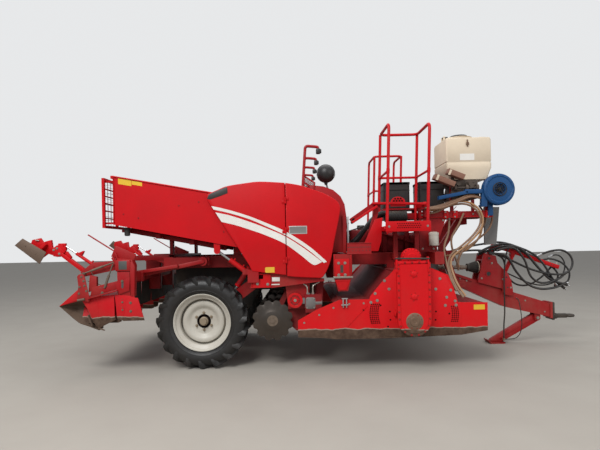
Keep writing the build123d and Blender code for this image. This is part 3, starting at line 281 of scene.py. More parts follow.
labelWhite = newMaterial("labelWhite", (0.7, 0.68, 0.64), 0.5, dustAndSheen=0.25, low=0.6, high=3.4, wear=0.3,
                         specular=0.25)
plateSilver = newMaterial("plateSilver", (0.52, 0.51, 0.49), 0.4, metallic=0.6, dustAndSheen=0.2, wear=0.2)
plateGrey = newMaterial("plateGrey", (0.2, 0.195, 0.185), 0.5, metallic=0.3, dustAndSheen=0.3, wear=0.3)
meterDark = newMaterial("meterDark", (0.055, 0.045, 0.04), 0.6, metallic=0.3, dustAndSheen=0.9, low=1.5, high=3.4,
                        wear=0.9, dustAndSheenColour=(0.22, 0.16, 0.12))
boardBrown = newMaterial("boardBrown", (0.21, 0.085, 0.055), 0.55, dustAndSheen=0.4, low=1.5, high=3.4, wear=0.8,
                         wearColour=(0.3, 0.17, 0.12))

nodeMaterials = {
    "tyre_right": tyreRubber, "tyre_left": tyreRubber, "rim_right": creamPaint, "rim_left": creamPaint,
    "tiller_side_right": tillerPaint, "tiller_side_left": tillerPaint,
    "tiller_rotor": wornSteel, "discs_right": wornSteel, "discs_left": wornSteel, "tiller_hood": redWornAndShaded,
    "row_units": redWornAndShaded, "axle_arms": redFrame, "chassis_frame": redFrame, "pto_drive": greyPaint,
    "bins": blackPlasticAndHoleShade, "air_duct": greyPaint, "applicator_frame": redFrame, "chute": greyPaint,
    "leg_coupling": wornSteel, "top_gate": redFrame, "tank": creamPlastic,
    "tank_lid": blackPlasticAndHoleShade, "metering_unit": greyPaint, "blower": bluePaint, "curtain": blackRubber,
    "tip_rod_right": brightSteel, "tip_rod_left": brightSteel, "blade_rod_right": brightSteel,
    "blade_rod_left": brightSteel, "towing_eye": wornSteel, "ridger_hoods": redWornAndShaded,
    "ridger_frame": redFrame, "blade_arm_right": redFrame, "blade_arm_left": redFrame,
    "parking_leg": redFrame, "drawbar": redFrame, "elevators": redFrame, "service_frame": redFrame,
}
for name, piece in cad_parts.items():
    finish = nodeMaterials.get(name, redPaint)
    piece.data.materials.clear()
    piece.data.materials.append(finish)
print("materials set")


# Mesh tools. Pieces are drawn from the wheels' axle and moved to the frame's origin when they are finished

turned = {"y": lambda a, b, c: (a, c, b), "x": lambda a, b, c: (c, a, b), "z": lambda a, b, c: (a, b, c)}


def pick(items, kind):
    return [item for item in items if isinstance(item, kind)]


def apart(way, near, far):
    # the two distances on one side of the machine, the lower first
    return sorted((way * near, way * far))


def around(centre, radius, angle):
    # a place on an upright circle about the centre
    x, y, z = centre
    return (x + math.cos(angle) * radius, y, z + math.sin(angle) * radius)


def bevelEdges(work, edges, offset, segments=2, clamp=False):
    bmesh.ops.bevel(work, geom=edges, offset=offset, segments=segments, profile=0.5, affect="EDGES",
                    material=-1, clamp_overlap=clamp)


def addBox(work, x, y, z, bevel=0.0):
    made = bmesh.ops.create_cube(work, size=1.0)["verts"]
    bmesh.ops.scale(work, vec=(x[1] - x[0], y[1] - y[0], z[1] - z[0]), verts=made)
    bmesh.ops.translate(work, vec=((x[0] + x[1]) / 2, (y[0] + y[1]) / 2, (z[0] + z[1]) / 2), verts=made)
    if bevel:
        edges = list({edge for vert in made for edge in vert.link_edges})
        bevelEdges(work, edges, bevel)


def addPlate(work, outline, low, high, across="y", bevel=0.0, segments=2):
    place = turned[across]
    verts = [work.verts.new(place(a, b, low)) for a, b in outline]
    face = work.faces.new(verts)
    made = bmesh.ops.extrude_face_region(work, geom=[face])["geom"]
    moved = pick(made, bmesh.types.BMVert)
    bmesh.ops.translate(work, vec=place(0, 0, high - low), verts=moved)
    if bevel:
        edges = {edge for vert in moved for edge in vert.link_edges if edge.other_vert(vert) in moved}
        edges |= {edge for vert in verts for edge in vert.link_edges if edge.other_vert(vert) in verts}
        bevelEdges(work, list(edges), bevel, segments)


def alongMatrix(start, end):
    start, end = Vector(start), Vector(end)
    turn = (end - start).to_track_quat("Z", "Y").to_matrix().to_4x4()
    return Matrix.Translation((start + end) / 2) @ turn, (end - start).length


def addRod(work, start, end, radius, sides=16, tip=None):
    matrix, length = alongMatrix(start, end)
    bmesh.ops.create_cone(work, cap_ends=True, segments=sides, radius1=radius,
                          radius2=radius if tip is None else tip, depth=length, matrix=matrix)


def addBar(work, start, end, width, height, bevel=0.0):
    matrix, length = alongMatrix(start, end)
    made = bmesh.ops.create_cube(work, size=1.0,
                                 matrix=matrix @ Matrix.Diagonal((height, width, length, 1)))["verts"]
    if bevel:
        edges = list({edge for vert in made for edge in vert.link_edges})
        bevelEdges(work, edges, bevel)


def addPin(work, x, z, y, radius, sides=16):
    # a rod across the machine
    addRod(work, (x, y[0], z), (x, y[1], z), radius, sides)


def addSideRod(work, y, start, end, radius, sides=16, tip=None):
    # a rod in an upright plane along the machine
    addRod(work, (start[0], y, start[1]), (end[0], y, end[1]), radius, sides, tip)


def addSideBar(work, y, start, end, width, height, bevel=0.0):
    addBar(work, (start[0], y, start[1]), (end[0], y, end[1]), width, height, bevel)


def addSpin(work, profile, centre, steps=64, angle=360.0, axis="y"):
    verts = []
    for radius, along in profile:
        place = Vector((radius, along, 0)) if axis == "y" else Vector((radius, 0, along))
        verts.append(work.verts.new(place + Vector(centre)))
    edges = [work.edges.new(pair) for pair in zip(verts, verts[1:])]
    turn = (0, 1, 0) if axis == "y" else (0, 0, 1)
    bmesh.ops.spin(work, geom=verts + edges, cent=centre, axis=turn, dvec=(0, 0, 0),
                   angle=math.radians(angle), steps=steps, use_merge=angle == 360.0)


def addBolts(work, places, radius, height, way=(0, -1, 0), washer=True):
    for place in places:
        start = Vector(place)
        end = start + Vector(way) * height
        if washer:
            addRod(work, start, start + Vector(way) * height * 0.25, radius * 1.45, 14)
        addRod(work, start, end, radius, 6)


def addPipe(work, points, radius, bend=0.06, sides=14):
    curve = bpy.data.curves.new("pipe", "CURVE")
    curve.dimensions = "3D"
    spline = curve.splines.new("POLY")
    rounded = []
    for i, point in enumerate(points):
        here = Vector(point)
        if 0 < i < len(points) - 1 and bend:
            before, after = Vector(points[i - 1]), Vector(points[i + 1])
            entry = here + (before - here).normalized() * min(bend, (before - here).length / 2)
            leave = here + (after - here).normalized() * min(bend, (after - here).length / 2)
            for k in range(6):
                t = k / 5
                rounded.append(entry.lerp(here, t).lerp(here.lerp(leave, t), t))
        else:
            rounded.append(here)
    spline.points.add(len(rounded) - 1)
    for slot, point in zip(spline.points, rounded):
        slot.co = (*point, 1)
    curve.bevel_depth = radius
    curve.bevel_resolution = max(1, sides // 4 - 1)
    curve.use_fill_caps = True
    holder = bpy.data.objects.new("pipe", curve)
    bpy.context.scene.collection.objects.link(holder)
    drawn = bpy.data.meshes.new_from_object(holder.evaluated_get(bpy.context.evaluated_depsgraph_get()))
    work.from_mesh(drawn)
    bpy.data.objects.remove(holder)
    bpy.data.meshes.remove(drawn)
    bpy.data.curves.remove(curve)


def finish(work, name, material, body="frame", smooth=35.0, mirrored=False, replaces=(), merge=0.0001):
    if mirrored:
        bmesh.ops.scale(work, vec=(1, -1, 1), verts=work.verts)
    bmesh.ops.remove_doubles(work, verts=work.verts, dist=merge)
    bmesh.ops.recalc_face_normals(work, faces=work.faces)
    bmesh.ops.translate(work, vec=(-axleToMiddle, 0, 0), verts=work.verts)
    data = bpy.data.meshes.new(name)
    work.to_mesh(data)
    work.free()
    for face in data.polygons:
        face.use_smooth = True
    data.set_sharp_from_angle(angle=math.radians(smooth))
    for finishMaterial in (material if isinstance(material, (list, tuple)) else [material]):
        data.materials.append(finishMaterial)
    piece = bpy.data.objects.new(name, data)
    bpy.context.scene.collection.objects.link(piece)
    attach(piece, body)
    if replaces:
        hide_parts(*replaces)
    return piece


# Wheels

wheel = {
    "track": 2.25, "radius": 0.6025, "width": 0.284, "centre": 0.6025, "flange": 0.377, "bead": 0.356,
    "lugs": 19, "lugHeight": 0.028, "bolts": 6, "boltCircle": 0.225,
}


def addLug(work, facts, angle, side):
    crown = facts["radius"] - facts["lugHeight"]
    half = facts["width"] / 2
    # width across, y place, top radius, foot radius and how far the section runs ahead,
    # from the crown to the sidewall
    sections = (
        (0.05, 0.01, facts["radius"], crown - 0.012, 0.0),
        (0.04, half * 0.42, facts["radius"], crown - 0.014, 4.2),
        (0.044, half * 0.8, facts["radius"] - 0.004, crown - 0.03, 8.2),
        (0.052, half * 0.98, facts["radius"] - 0.014, crown - 0.07, 10.4),
        (0.05, half * 1.0, facts["radius"] - 0.06, crown - 0.08, 12.2),
        (0.034, half * 1.0, facts["radius"] - 0.112, crown - 0.11, 13.6),
    )
    rings = []
    for width, y, top, foot, ahead in sections:
        ring = []
        for radius, sign, slim in ((foot, -1, 1.25), (top, -1, 0.8), (top, 1, 0.8), (foot, 1, 1.25)):
            turn = math.radians(angle + ahead) + sign * slim * width / 2 / radius
            inset = 0.018 if radius == foot and y > half * 0.7 else 0.0
            ring.append(work.verts.new((math.sin(turn) * radius, side * (y - inset),
                                        math.cos(turn) * radius)))
        rings.append(ring)
    for first, second in zip(rings, rings[1:]):
        for k in range(3):
            work.faces.new((first[k], first[k + 1], second[k + 1], second[k]))
    work.faces.new(rings[0])
    work.faces.new(rings[-1])


def buildTyre(name, facts, side):
    work = bmesh.new()
    crown = facts["radius"] - facts["lugHeight"]
    half = facts["width"] / 2
    profile = [
        (facts["bead"] + 0.002, -half + 0.047), (facts["flange"] + 0.004, -half + 0.044),
        (facts["flange"] + 0.016, -half + 0.026), (facts["flange"] + 0.04, -half + 0.01),
        (facts["flange"] + 0.046, -half + 0.007), (facts["flange"] + 0.05, -half + 0.01),
        (0.45, -half + 0.004), (0.478, -half + 0.001), (0.505, -half + 0.004),
        (crown - 0.045, -half + 0.014), (crown - 0.022, -half + 0.032), (crown - 0.008, -half + 0.062),
        (crown, -half + 0.105), (crown, 0.0),
    ]
    profile = profile + [(radius, -along) for radius, along in profile[-2::-1]]
    addSpin(work, profile, (0, 0, 0), 96)
    for k in range(facts["lugs"]):
        turn = 360.0 / facts["lugs"]
        addLug(work, facts, k * turn, -1)
        addLug(work, facts, (k + 0.5) * turn, 1)
    if side > 0:
        bmesh.ops.scale(work, vec=(1, -1, 1), verts=work.verts)
    bmesh.ops.translate(work, vec=(0, side * facts["track"] / 2, facts["centre"]), verts=work.verts)
    return finish(work, name, tyreRubber, f"wheel_{'right' if side < 0 else 'left'}", 40,
                  replaces=(f"tyre_{'right' if side < 0 else 'left'}",), merge=0.00001)


def buildRim(name, facts, side):
    work = bmesh.new()
    half = facts["width"] / 2 - 0.045
    flange, bead = facts["flange"], facts["bead"]
    barrel = [
        (flange - 0.004, -half - 0.002), (flange, -half - 0.006), (flange - 0.003, -half - 0.01),
        (flange - 0.012, -half - 0.009), (flange - 0.017, -half - 0.002), (bead - 0.006, -half + 0.006),
        (bead - 0.009, -half + 0.034), (bead - 0.03, -half + 0.042), (bead - 0.052, -half + 0.056),
        (bead - 0.056, -half + 0.07), (bead - 0.056, half - 0.05), (bead - 0.009, half - 0.02),
        (bead - 0.007, half - 0.004), (flange - 0.012, half + 0.008), (flange, half + 0.006),
        (flange - 0.004, half), (bead, half - 0.002), (bead, half - 0.018), (bead - 0.048, half - 0.046),
        (bead - 0.048, -half + 0.05), (bead, -half + 0.018), (bead, -half + 0.002),
        (flange - 0.004, -half - 0.002),
    ]
    addSpin(work, barrel, (0, 0, 0), 80)
    depth = -half - 0.01
    disc = [
        (0.302, depth + 0.16), (0.288, depth + 0.15), (0.28, depth + 0.118), (0.27, depth + 0.098),
        (0.248, depth + 0.09), (0.22, depth + 0.094), (0.196, depth + 0.11), (0.178, depth + 0.126),
        (0.166, depth + 0.132), (0.15, depth + 0.134), (0.096, depth + 0.134), (0.092, depth + 0.138),
        (0.092, depth + 0.17),
    ]
    addSpin(work, disc, (0, 0, 0), 80)
    fittings = bmesh.new()
    face = depth + 0.134
    hub = [(0.058, face + 0.03), (0.058, face - 0.02), (0.047, face - 0.026), (0.046, face - 0.06),
           (0.04, face - 0.066), (0.0, face - 0.066)]
    addSpin(fittings, hub, (0, 0, 0), 40)
    for k in range(facts["bolts"]):
        turn = math.radians(60 * k + 30)
        place = around((0, face, 0), facts["boltCircle"] / 2, turn)
        addBolts(fittings, [place], 0.013, 0.02)
        addRod(fittings, place, (place[0], face - 0.032, place[2]), 0.007, 10)
    valve = (0.0, depth + 0.09, 0.3)
    addRod(fittings, valve, (valve[0], valve[1] - 0.045, valve[2] + 0.004), 0.005, 8)
    body = f"wheel_{'right' if side < 0 else 'left'}"
    # a black cone inside the hub's bore: painted shade in the recess
    wellShade = bmesh.new()
    addSpin(wellShade, [(0.0918, face + 0.006), (0.0918, face + 0.02), (0.05, face + 0.03)], (0, 0, 0), 40)
    for mesh in (work, fittings, wellShade):
        if side > 0:
            bmesh.ops.scale(mesh, vec=(1, -1, 1), verts=mesh.verts)
        bmesh.ops.translate(mesh, vec=(0, side * facts["track"] / 2, facts["centre"]), verts=mesh.verts)
    finish(work, name, creamPaint, body, replaces=(f"rim_{'right' if side < 0 else 'left'}",))
    finish(fittings, name + "Hub", hubMetal, body)
    finish(wellShade, name + "Well", paintedHoleShade, body)


for label, side in (("Right", -1), ("Left", 1)):
    buildTyre("tyre" + label, wheel, side)
    buildRim("rim" + label, wheel, side)
print("wheels built")


def smoothLine(points, parts=5):
    # a line through the points, rounded between them
    line = []
    for i in range(len(points) - 1):
        before = Vector(points[max(i - 1, 0)])
        start, end = Vector(points[i]), Vector(points[i + 1])
        after = Vector(points[min(i + 2, len(points) - 1)])
        for k in range(parts):
            t = k / parts
            straight = (2 * start) + (end - before) * t
            bent = straight + (2 * before - 5 * start + 4 * end - after) * t * t
            line.append(tuple((bent + (3 * start - before - 3 * end + after) * t * t * t) * 0.5))
    line.append(tuple(points[-1]))
    return line


def cutAway(work, place, normal):
    # removes what lies on the normal's side of a plane and closes the cut
    geometry = work.verts[:] + work.edges[:] + work.faces[:]
    cut = bmesh.ops.bisect_plane(work, geom=geometry, plane_co=place, plane_no=normal,
                                 clear_outer=True)["geom_cut"]
    edges = pick(cut, bmesh.types.BMEdge)
    if edges:
        bmesh.ops.holes_fill(work, edges=edges, sides=0)


# Hoses that hang free. Their control points are the corners of the solids' routes, from the wheels' axle

hoses = {
    "granule_hose_1": {
        "diameter": 0.028, "length": 2.216, "farEnd": "bare", "stiffness": "medium", "finish": "hoseBrown",
        "points": (
            (3.05, -0.912, 1.985), (3.16, -0.912, 1.985), (3.282, -0.914, 2.055), (3.43, -0.92, 2.103),
            (3.588, -0.93, 2.108), (3.728, -0.94, 2.02), (3.782, -0.95, 1.872), (3.7, -0.96, 1.713),
            (3.509, -0.975, 1.542), (3.33, -1.01, 1.428), (3.262, -1.085, 1.31), (3.256, -1.19, 1.19),
            (3.262, -1.29, 1.075), (3.3, -1.36, 0.965), (3.352, -1.392, 0.88),
        ),
    },
    "granule_hose_2": {
        "diameter": 0.028, "length": 2.256, "farEnd": "bare", "stiffness": "medium", "finish": "hoseYellow",
        "points": (
            (3.05, -0.912, 2.019), (3.16, -0.912, 2.019), (3.2684, -0.914, 2.0862), (3.4242, -0.92, 2.1365),
            (3.5971, -0.93, 2.1408), (3.7543, -0.94, 2.0416), (3.8159, -0.95, 1.8689),
            (3.7262, -0.96, 1.6913), (3.5297, -0.975, 1.5151), (3.3533, -1.01, 1.4032),
            (3.2945, -1.085, 1.2999), (3.29, -1.19, 1.19), (3.2954, -1.29, 1.0815), (3.3309, -1.36, 0.9792),
            (3.381, -1.392, 0.8977),
        ),
    },
    "granule_hose_3": {
        "diameter": 0.028, "length": 1.182, "farEnd": "bare", "stiffness": "medium", "finish": "hoseBrown",
        "points": (
            (3.385, -0.8, 1.925), (3.385, -0.8, 1.8), (3.345, -0.868, 1.68), (3.262, -0.965, 1.572),
            (3.222, -1.06, 1.445), (3.226, -1.15, 1.312), (3.224, -1.24, 1.19), (3.232, -1.325, 1.07),
            (3.27, -1.392, 0.965),
        ),
    },
    "granule_hose_4": {
        "diameter": 0.028, "length": 1.092, "farEnd": "object", "stiffness": "medium",
        "finish": "hoseYellow",
        "points": (
            (3.85, -0.8, 1.925), (3.85, -0.8, 1.785), (3.825, -0.745, 1.64), (3.74, -0.67, 1.515),
            (3.62, -0.59, 1.43), (3.475, -0.52, 1.39), (3.325, -0.478, 1.384), (3.18, -0.478, 1.384),
        ),
    },
    "hydraulic_hose_1": {
        "diameter": 0.032, "length": 3.126, "farEnd": "fitting", "stiffness": "stiff",
        "finish": "hoseBlack",
        "points": (
            (3.18, -0.12, 1.4), (3.49, -0.12, 1.4), (3.82, -0.105, 1.45), (4.13, -0.09, 1.455),
            (4.395, -0.08, 1.375), (4.64, -0.085, 1.245), (4.87, -0.115, 1.13), (5.095, -0.132, 1.068),
            (5.25, -0.134, 1.052), (5.3866, -0.132, 1.06), (5.495, -0.124, 1.1684), (5.495, -0.108, 1.3216),
            (5.3866, -0.082, 1.43), (5.24, -0.05, 1.427), (5.11, -0.022, 1.388), (5.01, -0.008, 1.338),
        ),
    },
    "hydraulic_hose_2": {
        "diameter": 0.032, "length": 2.418, "farEnd": "fitting", "stiffness": "stiff",
        "finish": "hoseBlack",
        "points": (
            (3.18, -0.05, 1.4), (3.49, -0.05, 1.4), (3.82, -0.06, 1.5), (4.12, -0.066, 1.545),
            (4.4, -0.062, 1.585), (4.69, -0.05, 1.49), (4.925, -0.066, 1.385), (5.065, -0.082, 1.225),
            (5.165, -0.086, 1.04), (5.27, -0.088, 0.868),
        ),
    },
    "hydraulic_hose_3": {
        "diameter": 0.022, "length": 1.573, "farEnd": "fitting", "stiffness": "medium",
        "finish": "hoseBlack",
        "points": (
            (4.522, 0.0, 1.088), (4.69, 0.022, 1.01), (4.9, 0.046, 0.912), (5.11, 0.062, 0.866),
            (5.305, 0.076, 0.905), (5.45, 0.084, 1.02), (5.505, 0.086, 1.17), (5.45, 0.08, 1.31),
            (5.33, 0.06, 1.368), (5.205, 0.03, 1.322),
        ),
    },
    "leg_hose": {
        "diameter": 0.021, "length": 1.672, "farEnd": "object", "stiffness": "medium",
        "finish": "hoseBlack",
        "points": (
            (4.7311, 0.0, 1.4314), (4.6747, 0.0, 1.4519), (4.575, -0.062, 1.498), (4.51, -0.112, 1.47),
            (4.462, -0.145, 1.385), (4.425, -0.172, 1.245), (4.408, -0.18, 1.06), (4.404, -0.178, 0.86),
            (4.412, -0.168, 0.66), (4.42, -0.152, 0.47), (4.405, -0.1343, 0.28), (4.405, -0.1343, 0.091),
        ),
    },
    "leg_loop": {
        "diameter": 0.012, "length": 0.872, "farEnd": "object", "stiffness": "limp", "finish": "hoseBlack",
        "points": (
            (4.62, -0.1, 0.7), (4.62, -0.185, 0.7), (4.63, -0.205, 0.59), (4.648, -0.204, 0.45),
            (4.66, -0.195, 0.3), (4.64, -0.18, 0.165), (4.585, -0.15, 0.088), (4.496, -0.1343, 0.075),
            (4.421, -0.1343, 0.075),
        ),
    },
}
hoseFinishes = {"hoseBrown": hoseBrown, "hoseYellow": hoseYellow, "hoseBlack": hoseBlack}


def buildHose(name, facts):
    curve = bpy.data.curves.new(name + "Line", "CURVE")
    curve.dimensions = "3D"
    spline = curve.splines.new("NURBS")
    spline.points.add(len(facts["points"]) - 1)
    for point, (x, y, z) in zip(spline.points, facts["points"]):
        point.co = (x - axleToMiddle, y, z, 1)
    spline.order_u = 3
    spline.use_endpoint_u = True
    curve.resolution_u = 6
    curve.bevel_depth = facts["diameter"] / 2
    curve.bevel_resolution = 3
    curve.use_fill_caps = True
    curve.materials.append(hoseFinishes[facts["finish"]])
    piece = bpy.data.objects.new(name + "Line", curve)
    bpy.context.scene.collection.objects.link(piece)
    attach(piece, "frame")
    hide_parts(name)
    radius = facts["diameter"] / 2
    end, before = Vector(facts["points"][-1]), Vector(facts["points"][-2])
    way = (end - before).normalized()
    if facts["farEnd"] == "fitting":
        work = bmesh.new()
        addRod(work, end - way * 0.075, end + way * 0.004, radius * 1.14, 18)
        addRod(work, end - way * 0.02, end + way * 0.004, radius * 1.32, 6)
        addRod(work, end + way * 0.004, end + way * 0.02, radius * 0.72, 16)
        finish(work, name + "Coupling", brightSteel)
    if facts["farEnd"] == "bare":
        work = bmesh.new()
        addRod(work, end - way * 0.004, end + way * 0.0005, radius * 0.72, 16)
        finish(work, name + "Mouth", blackRubber)
    start = facts["points"][0]
    exitWay = (Vector(facts["points"][1]) - Vector(start)).normalized()
    work = bmesh.new()
    addRod(work, Vector(start), Vector(start) + exitWay * 0.022, radius * 1.2, 18)
    finish(work, name + "Clamp", galvanised)
    return piece


for name, facts in hoses.items():
    buildHose(name, facts)
print("hoses built")


# Side hoods with their doors, stripes and plates

hood = {
    "outer": 1.35, "depth": 0.04, "sheet": 0.006, "edge": 0.012, "seam": 1.12, "gap": 0.004,
    "hinges": (1.42, 1.8, 2.18), "hingeOut": 1.363,
    "rearTop": ((0.118, 2.258), (0.245, 2.31), (0.381, 2.36), (0.612, 2.393), (0.803, 2.409),
                (1.116, 2.388)),
    "rearFoot": ((1.116, 1.205), (0.694, 1.26), (0.682, 1.264), (0.66, 1.3), (0.653, 1.325)),
    "doorEdge": (
        (1.124, 2.387), (1.305, 2.353), (1.465, 2.299), (1.624, 2.238), (1.755, 2.161), (1.818, 2.08),
        (1.808, 1.947), (1.737, 1.63), (1.68, 1.363), (1.588, 1.18), (1.514, 1.16),
    ),
    "doorFoot": ((1.237, 1.178), (1.124, 1.192)),
    "thinUpper": (
        (0.09, 2.126), (0.138, 2.116), (0.286, 2.084), (0.476, 2.03), (0.667, 1.965), (0.856, 1.885),
        (1.102, 1.773), (1.298, 1.652), (1.449, 1.54), (1.599, 1.403), (1.637, 1.366),
    ),
    "thinLower": (
        (0.09, 2.086), (0.138, 2.076), (0.286, 2.044), (0.476, 1.992), (0.667, 1.927), (0.856, 1.842),
        (1.102, 1.722), (1.298, 1.598), (1.449, 1.484), (1.585, 1.362), (1.6, 1.354),
    ),
    "thickUpper": (
        (0.15, 2.043), (0.286, 2.013), (0.412, 1.983), (0.665, 1.895), (0.855, 1.819), (1.1, 1.707),
        (1.297, 1.581), (1.447, 1.47), (1.575, 1.366),
    ),
    "thickLower": (
        (0.15, 1.938), (0.282, 1.908), (0.473, 1.86), (0.663, 1.796), (0.853, 1.725), (1.098, 1.611),
        (1.294, 1.467), (1.444, 1.341), (1.506, 1.333),
    ),
    "inset": (
        (0.122, 2.2), (0.146, 2.256), (0.245, 2.3), (0.368, 2.347), (0.386, 2.338), (0.388, 2.268),
        (0.29, 2.232), (0.165, 2.192),
    ),
    "plate": ((1.16, 1.391), (1.729, 1.831)),
    "label": ((0.846, 0.966), (1.243, 1.313)),
}


def buildTray(name, outline, body, mirrored, replaced, hinge):
    work = bmesh.new()
    outer = -hood["outer"]
    verts = [work.verts.new((x, outer, z)) for x, z in outline]
    front = work.faces.new(verts)
    made = bmesh.ops.extrude_face_region(work, geom=[front])["geom"]
    back = pick(made, bmesh.types.BMVert)
    bmesh.ops.translate(work, vec=(0, hood["depth"], 0), verts=back)
    bmesh.ops.delete(work, geom=pick(made, bmesh.types.BMFace), context="FACES_ONLY")
    rim = [edge for edge in work.edges if all(abs(vert.co.y - outer) < 0.0001 for vert in edge.verts)]
    bevelEdges(work, rim, hood["edge"], 3)
    bmesh.ops.recalc_face_normals(work, faces=work.faces)
    bmesh.ops.solidify(work, geom=work.faces[:], thickness=hood["sheet"])
    for z in hood["hinges"]:
        if hinge == "fixed":
            addBox(work, (hood["seam"] - 0.045, hood["seam"] - 0.006), (outer - 0.006, outer),
                   (z - 0.06, z - 0.022), 0.0015)
            addSideRod(work, -hood["hingeOut"], (hood["seam"], z - 0.06), (hood["seam"], z - 0.022), 0.012)
            addSideRod(work, -hood["hingeOut"], (hood["seam"], z - 0.022), (hood["seam"], z + 0.02), 0.0065)
            addBolts(work, [(hood["seam"] - 0.032, outer - 0.006, z - 0.041)], 0.0045, 0.004)
        else:
            addBox(work, (hood["seam"] + 0.006, hood["seam"] + 0.045), (outer - 0.006, outer),
                   (z - 0.02, z + 0.02), 0.0015)
            addSideRod(work, -hood["hingeOut"], (hood["seam"], z - 0.02), (hood["seam"], z + 0.02), 0.012)
            addBolts(work, [(hood["seam"] + 0.032, outer - 0.006, z)], 0.0045, 0.004)
    finish(work, name, redPaint, body, 32, mirrored, (replaced,))


def buildStripe(name, upper, lower, body, mirrored, cuts):
    work = bmesh.new()
    top, foot = smoothLine(upper), smoothLine(lower)
    verts = [[work.verts.new((x, -hood["outer"] - 0.001, z)) for x, z in line] for line in (top, foot)]
    edges = [work.edges.new(pair) for line in verts for pair in zip(line, line[1:])]
    bmesh.ops.bridge_loops(work, edges=edges)
    for place, normal in cuts:
        cutAway(work, place, normal)
    bmesh.ops.solidify(work, geom=work.faces[:], thickness=0.0009)
    finish(work, name, stripeWhite, body, 40, mirrored)


def buildHoods():
    slant = ((0.128, 0, 2.187), (-0.851, 0, -0.5245))
    rearCut = ((hood["seam"] - hood["gap"] - 0.002, 0, 0), (1, 0, 0))
    doorCut = ((hood["seam"] + hood["gap"] + 0.002, 0, 0), (-1, 0, 0))
    for label, mirrored in sides:
        side = label.lower()
        outline = smoothLine(hood["rearTop"]) + list(hood["rearFoot"]) + [(0.122, 2.187)]
        buildTray("hoodPanel" + label, outline, "frame", mirrored, "panel_" + side, "fixed")
        outline = smoothLine(hood["doorEdge"]) + list(hood["doorFoot"])
        buildTray("hoodDoor" + label, outline, "door_" + side, mirrored, "door_" + side, "swings")
        for line in ("thin", "thick"):
            upper, lower = hood[line + "Upper"], hood[line + "Lower"]
            buildStripe(line + "StripeRear" + label, upper, lower, "frame", mirrored, (slant, rearCut))
            buildStripe(line + "StripeDoor" + label, upper, lower, "door_" + side, mirrored, (doorCut,))
        work = bmesh.new()
        addPlate(work, hood["inset"], -hood["outer"] - 0.003, -hood["outer"] + 0.002, "y", 0.0015)
        finish(work, "hoodInset" + label, blackPlasticAndHoleShade, mirrored=mirrored)
        work = bmesh.new()
        (x0, x1), (z0, z1) = hood["label"]
        addPlate(work,
                 ((x0, z0 + 0.008), (x0 + 0.012, z0), (x1, z0), (x1, z1), (x0 + 0.012, z1),
                  (x0, z1 - 0.008)), -hood["outer"] - 0.001, -hood["outer"], "y")
        finish(work, "hoodLabel" + label, labelYellow, mirrored=mirrored)
        work = bmesh.new()
        (x0, x1), (z0, z1) = hood["plate"]
        addBox(work, (x0, x1), (-hood["outer"] - 0.003, -hood["outer"]), (z0, z1), 0.001)
        face = min(work.faces, key=lambda each: each.calc_center_median().y)
        bmesh.ops.inset_region(work, faces=[face], thickness=0.013, depth=-0.0012)
        face.material_index = 1
        finish(work, "hoodPlate" + label, [plateSilver, plateGrey], "door_" + side, mirrored=mirrored)


buildHoods()
print("hoods built")


# Hopper: labels, rolled rim, bolts, mesh of the rear guard and rubber buffers

hopper = {
    "half": 1.3, "rim": ((-1.095, 2.53), (0.54, 2.224)), "guardX": -1.228, "guard": (1.89, 2.475),
    "labels": (
        ((-1.026, 2.503), (-0.856, 2.471), (-0.856, 2.39), (-1.026, 2.422)),
        ((-0.851, 2.461), (-0.719, 2.436), (-0.719, 2.386), (-0.851, 2.411)),
    ),
    "bolts": ((-0.965, 2.032), (-0.775, 1.978), (-0.253, 2.127), (0.005, 2.169), (0.272, 2.026),
              (0.32, 1.78)),
    "buffer": (-0.952, 1.215, 1.8),
}


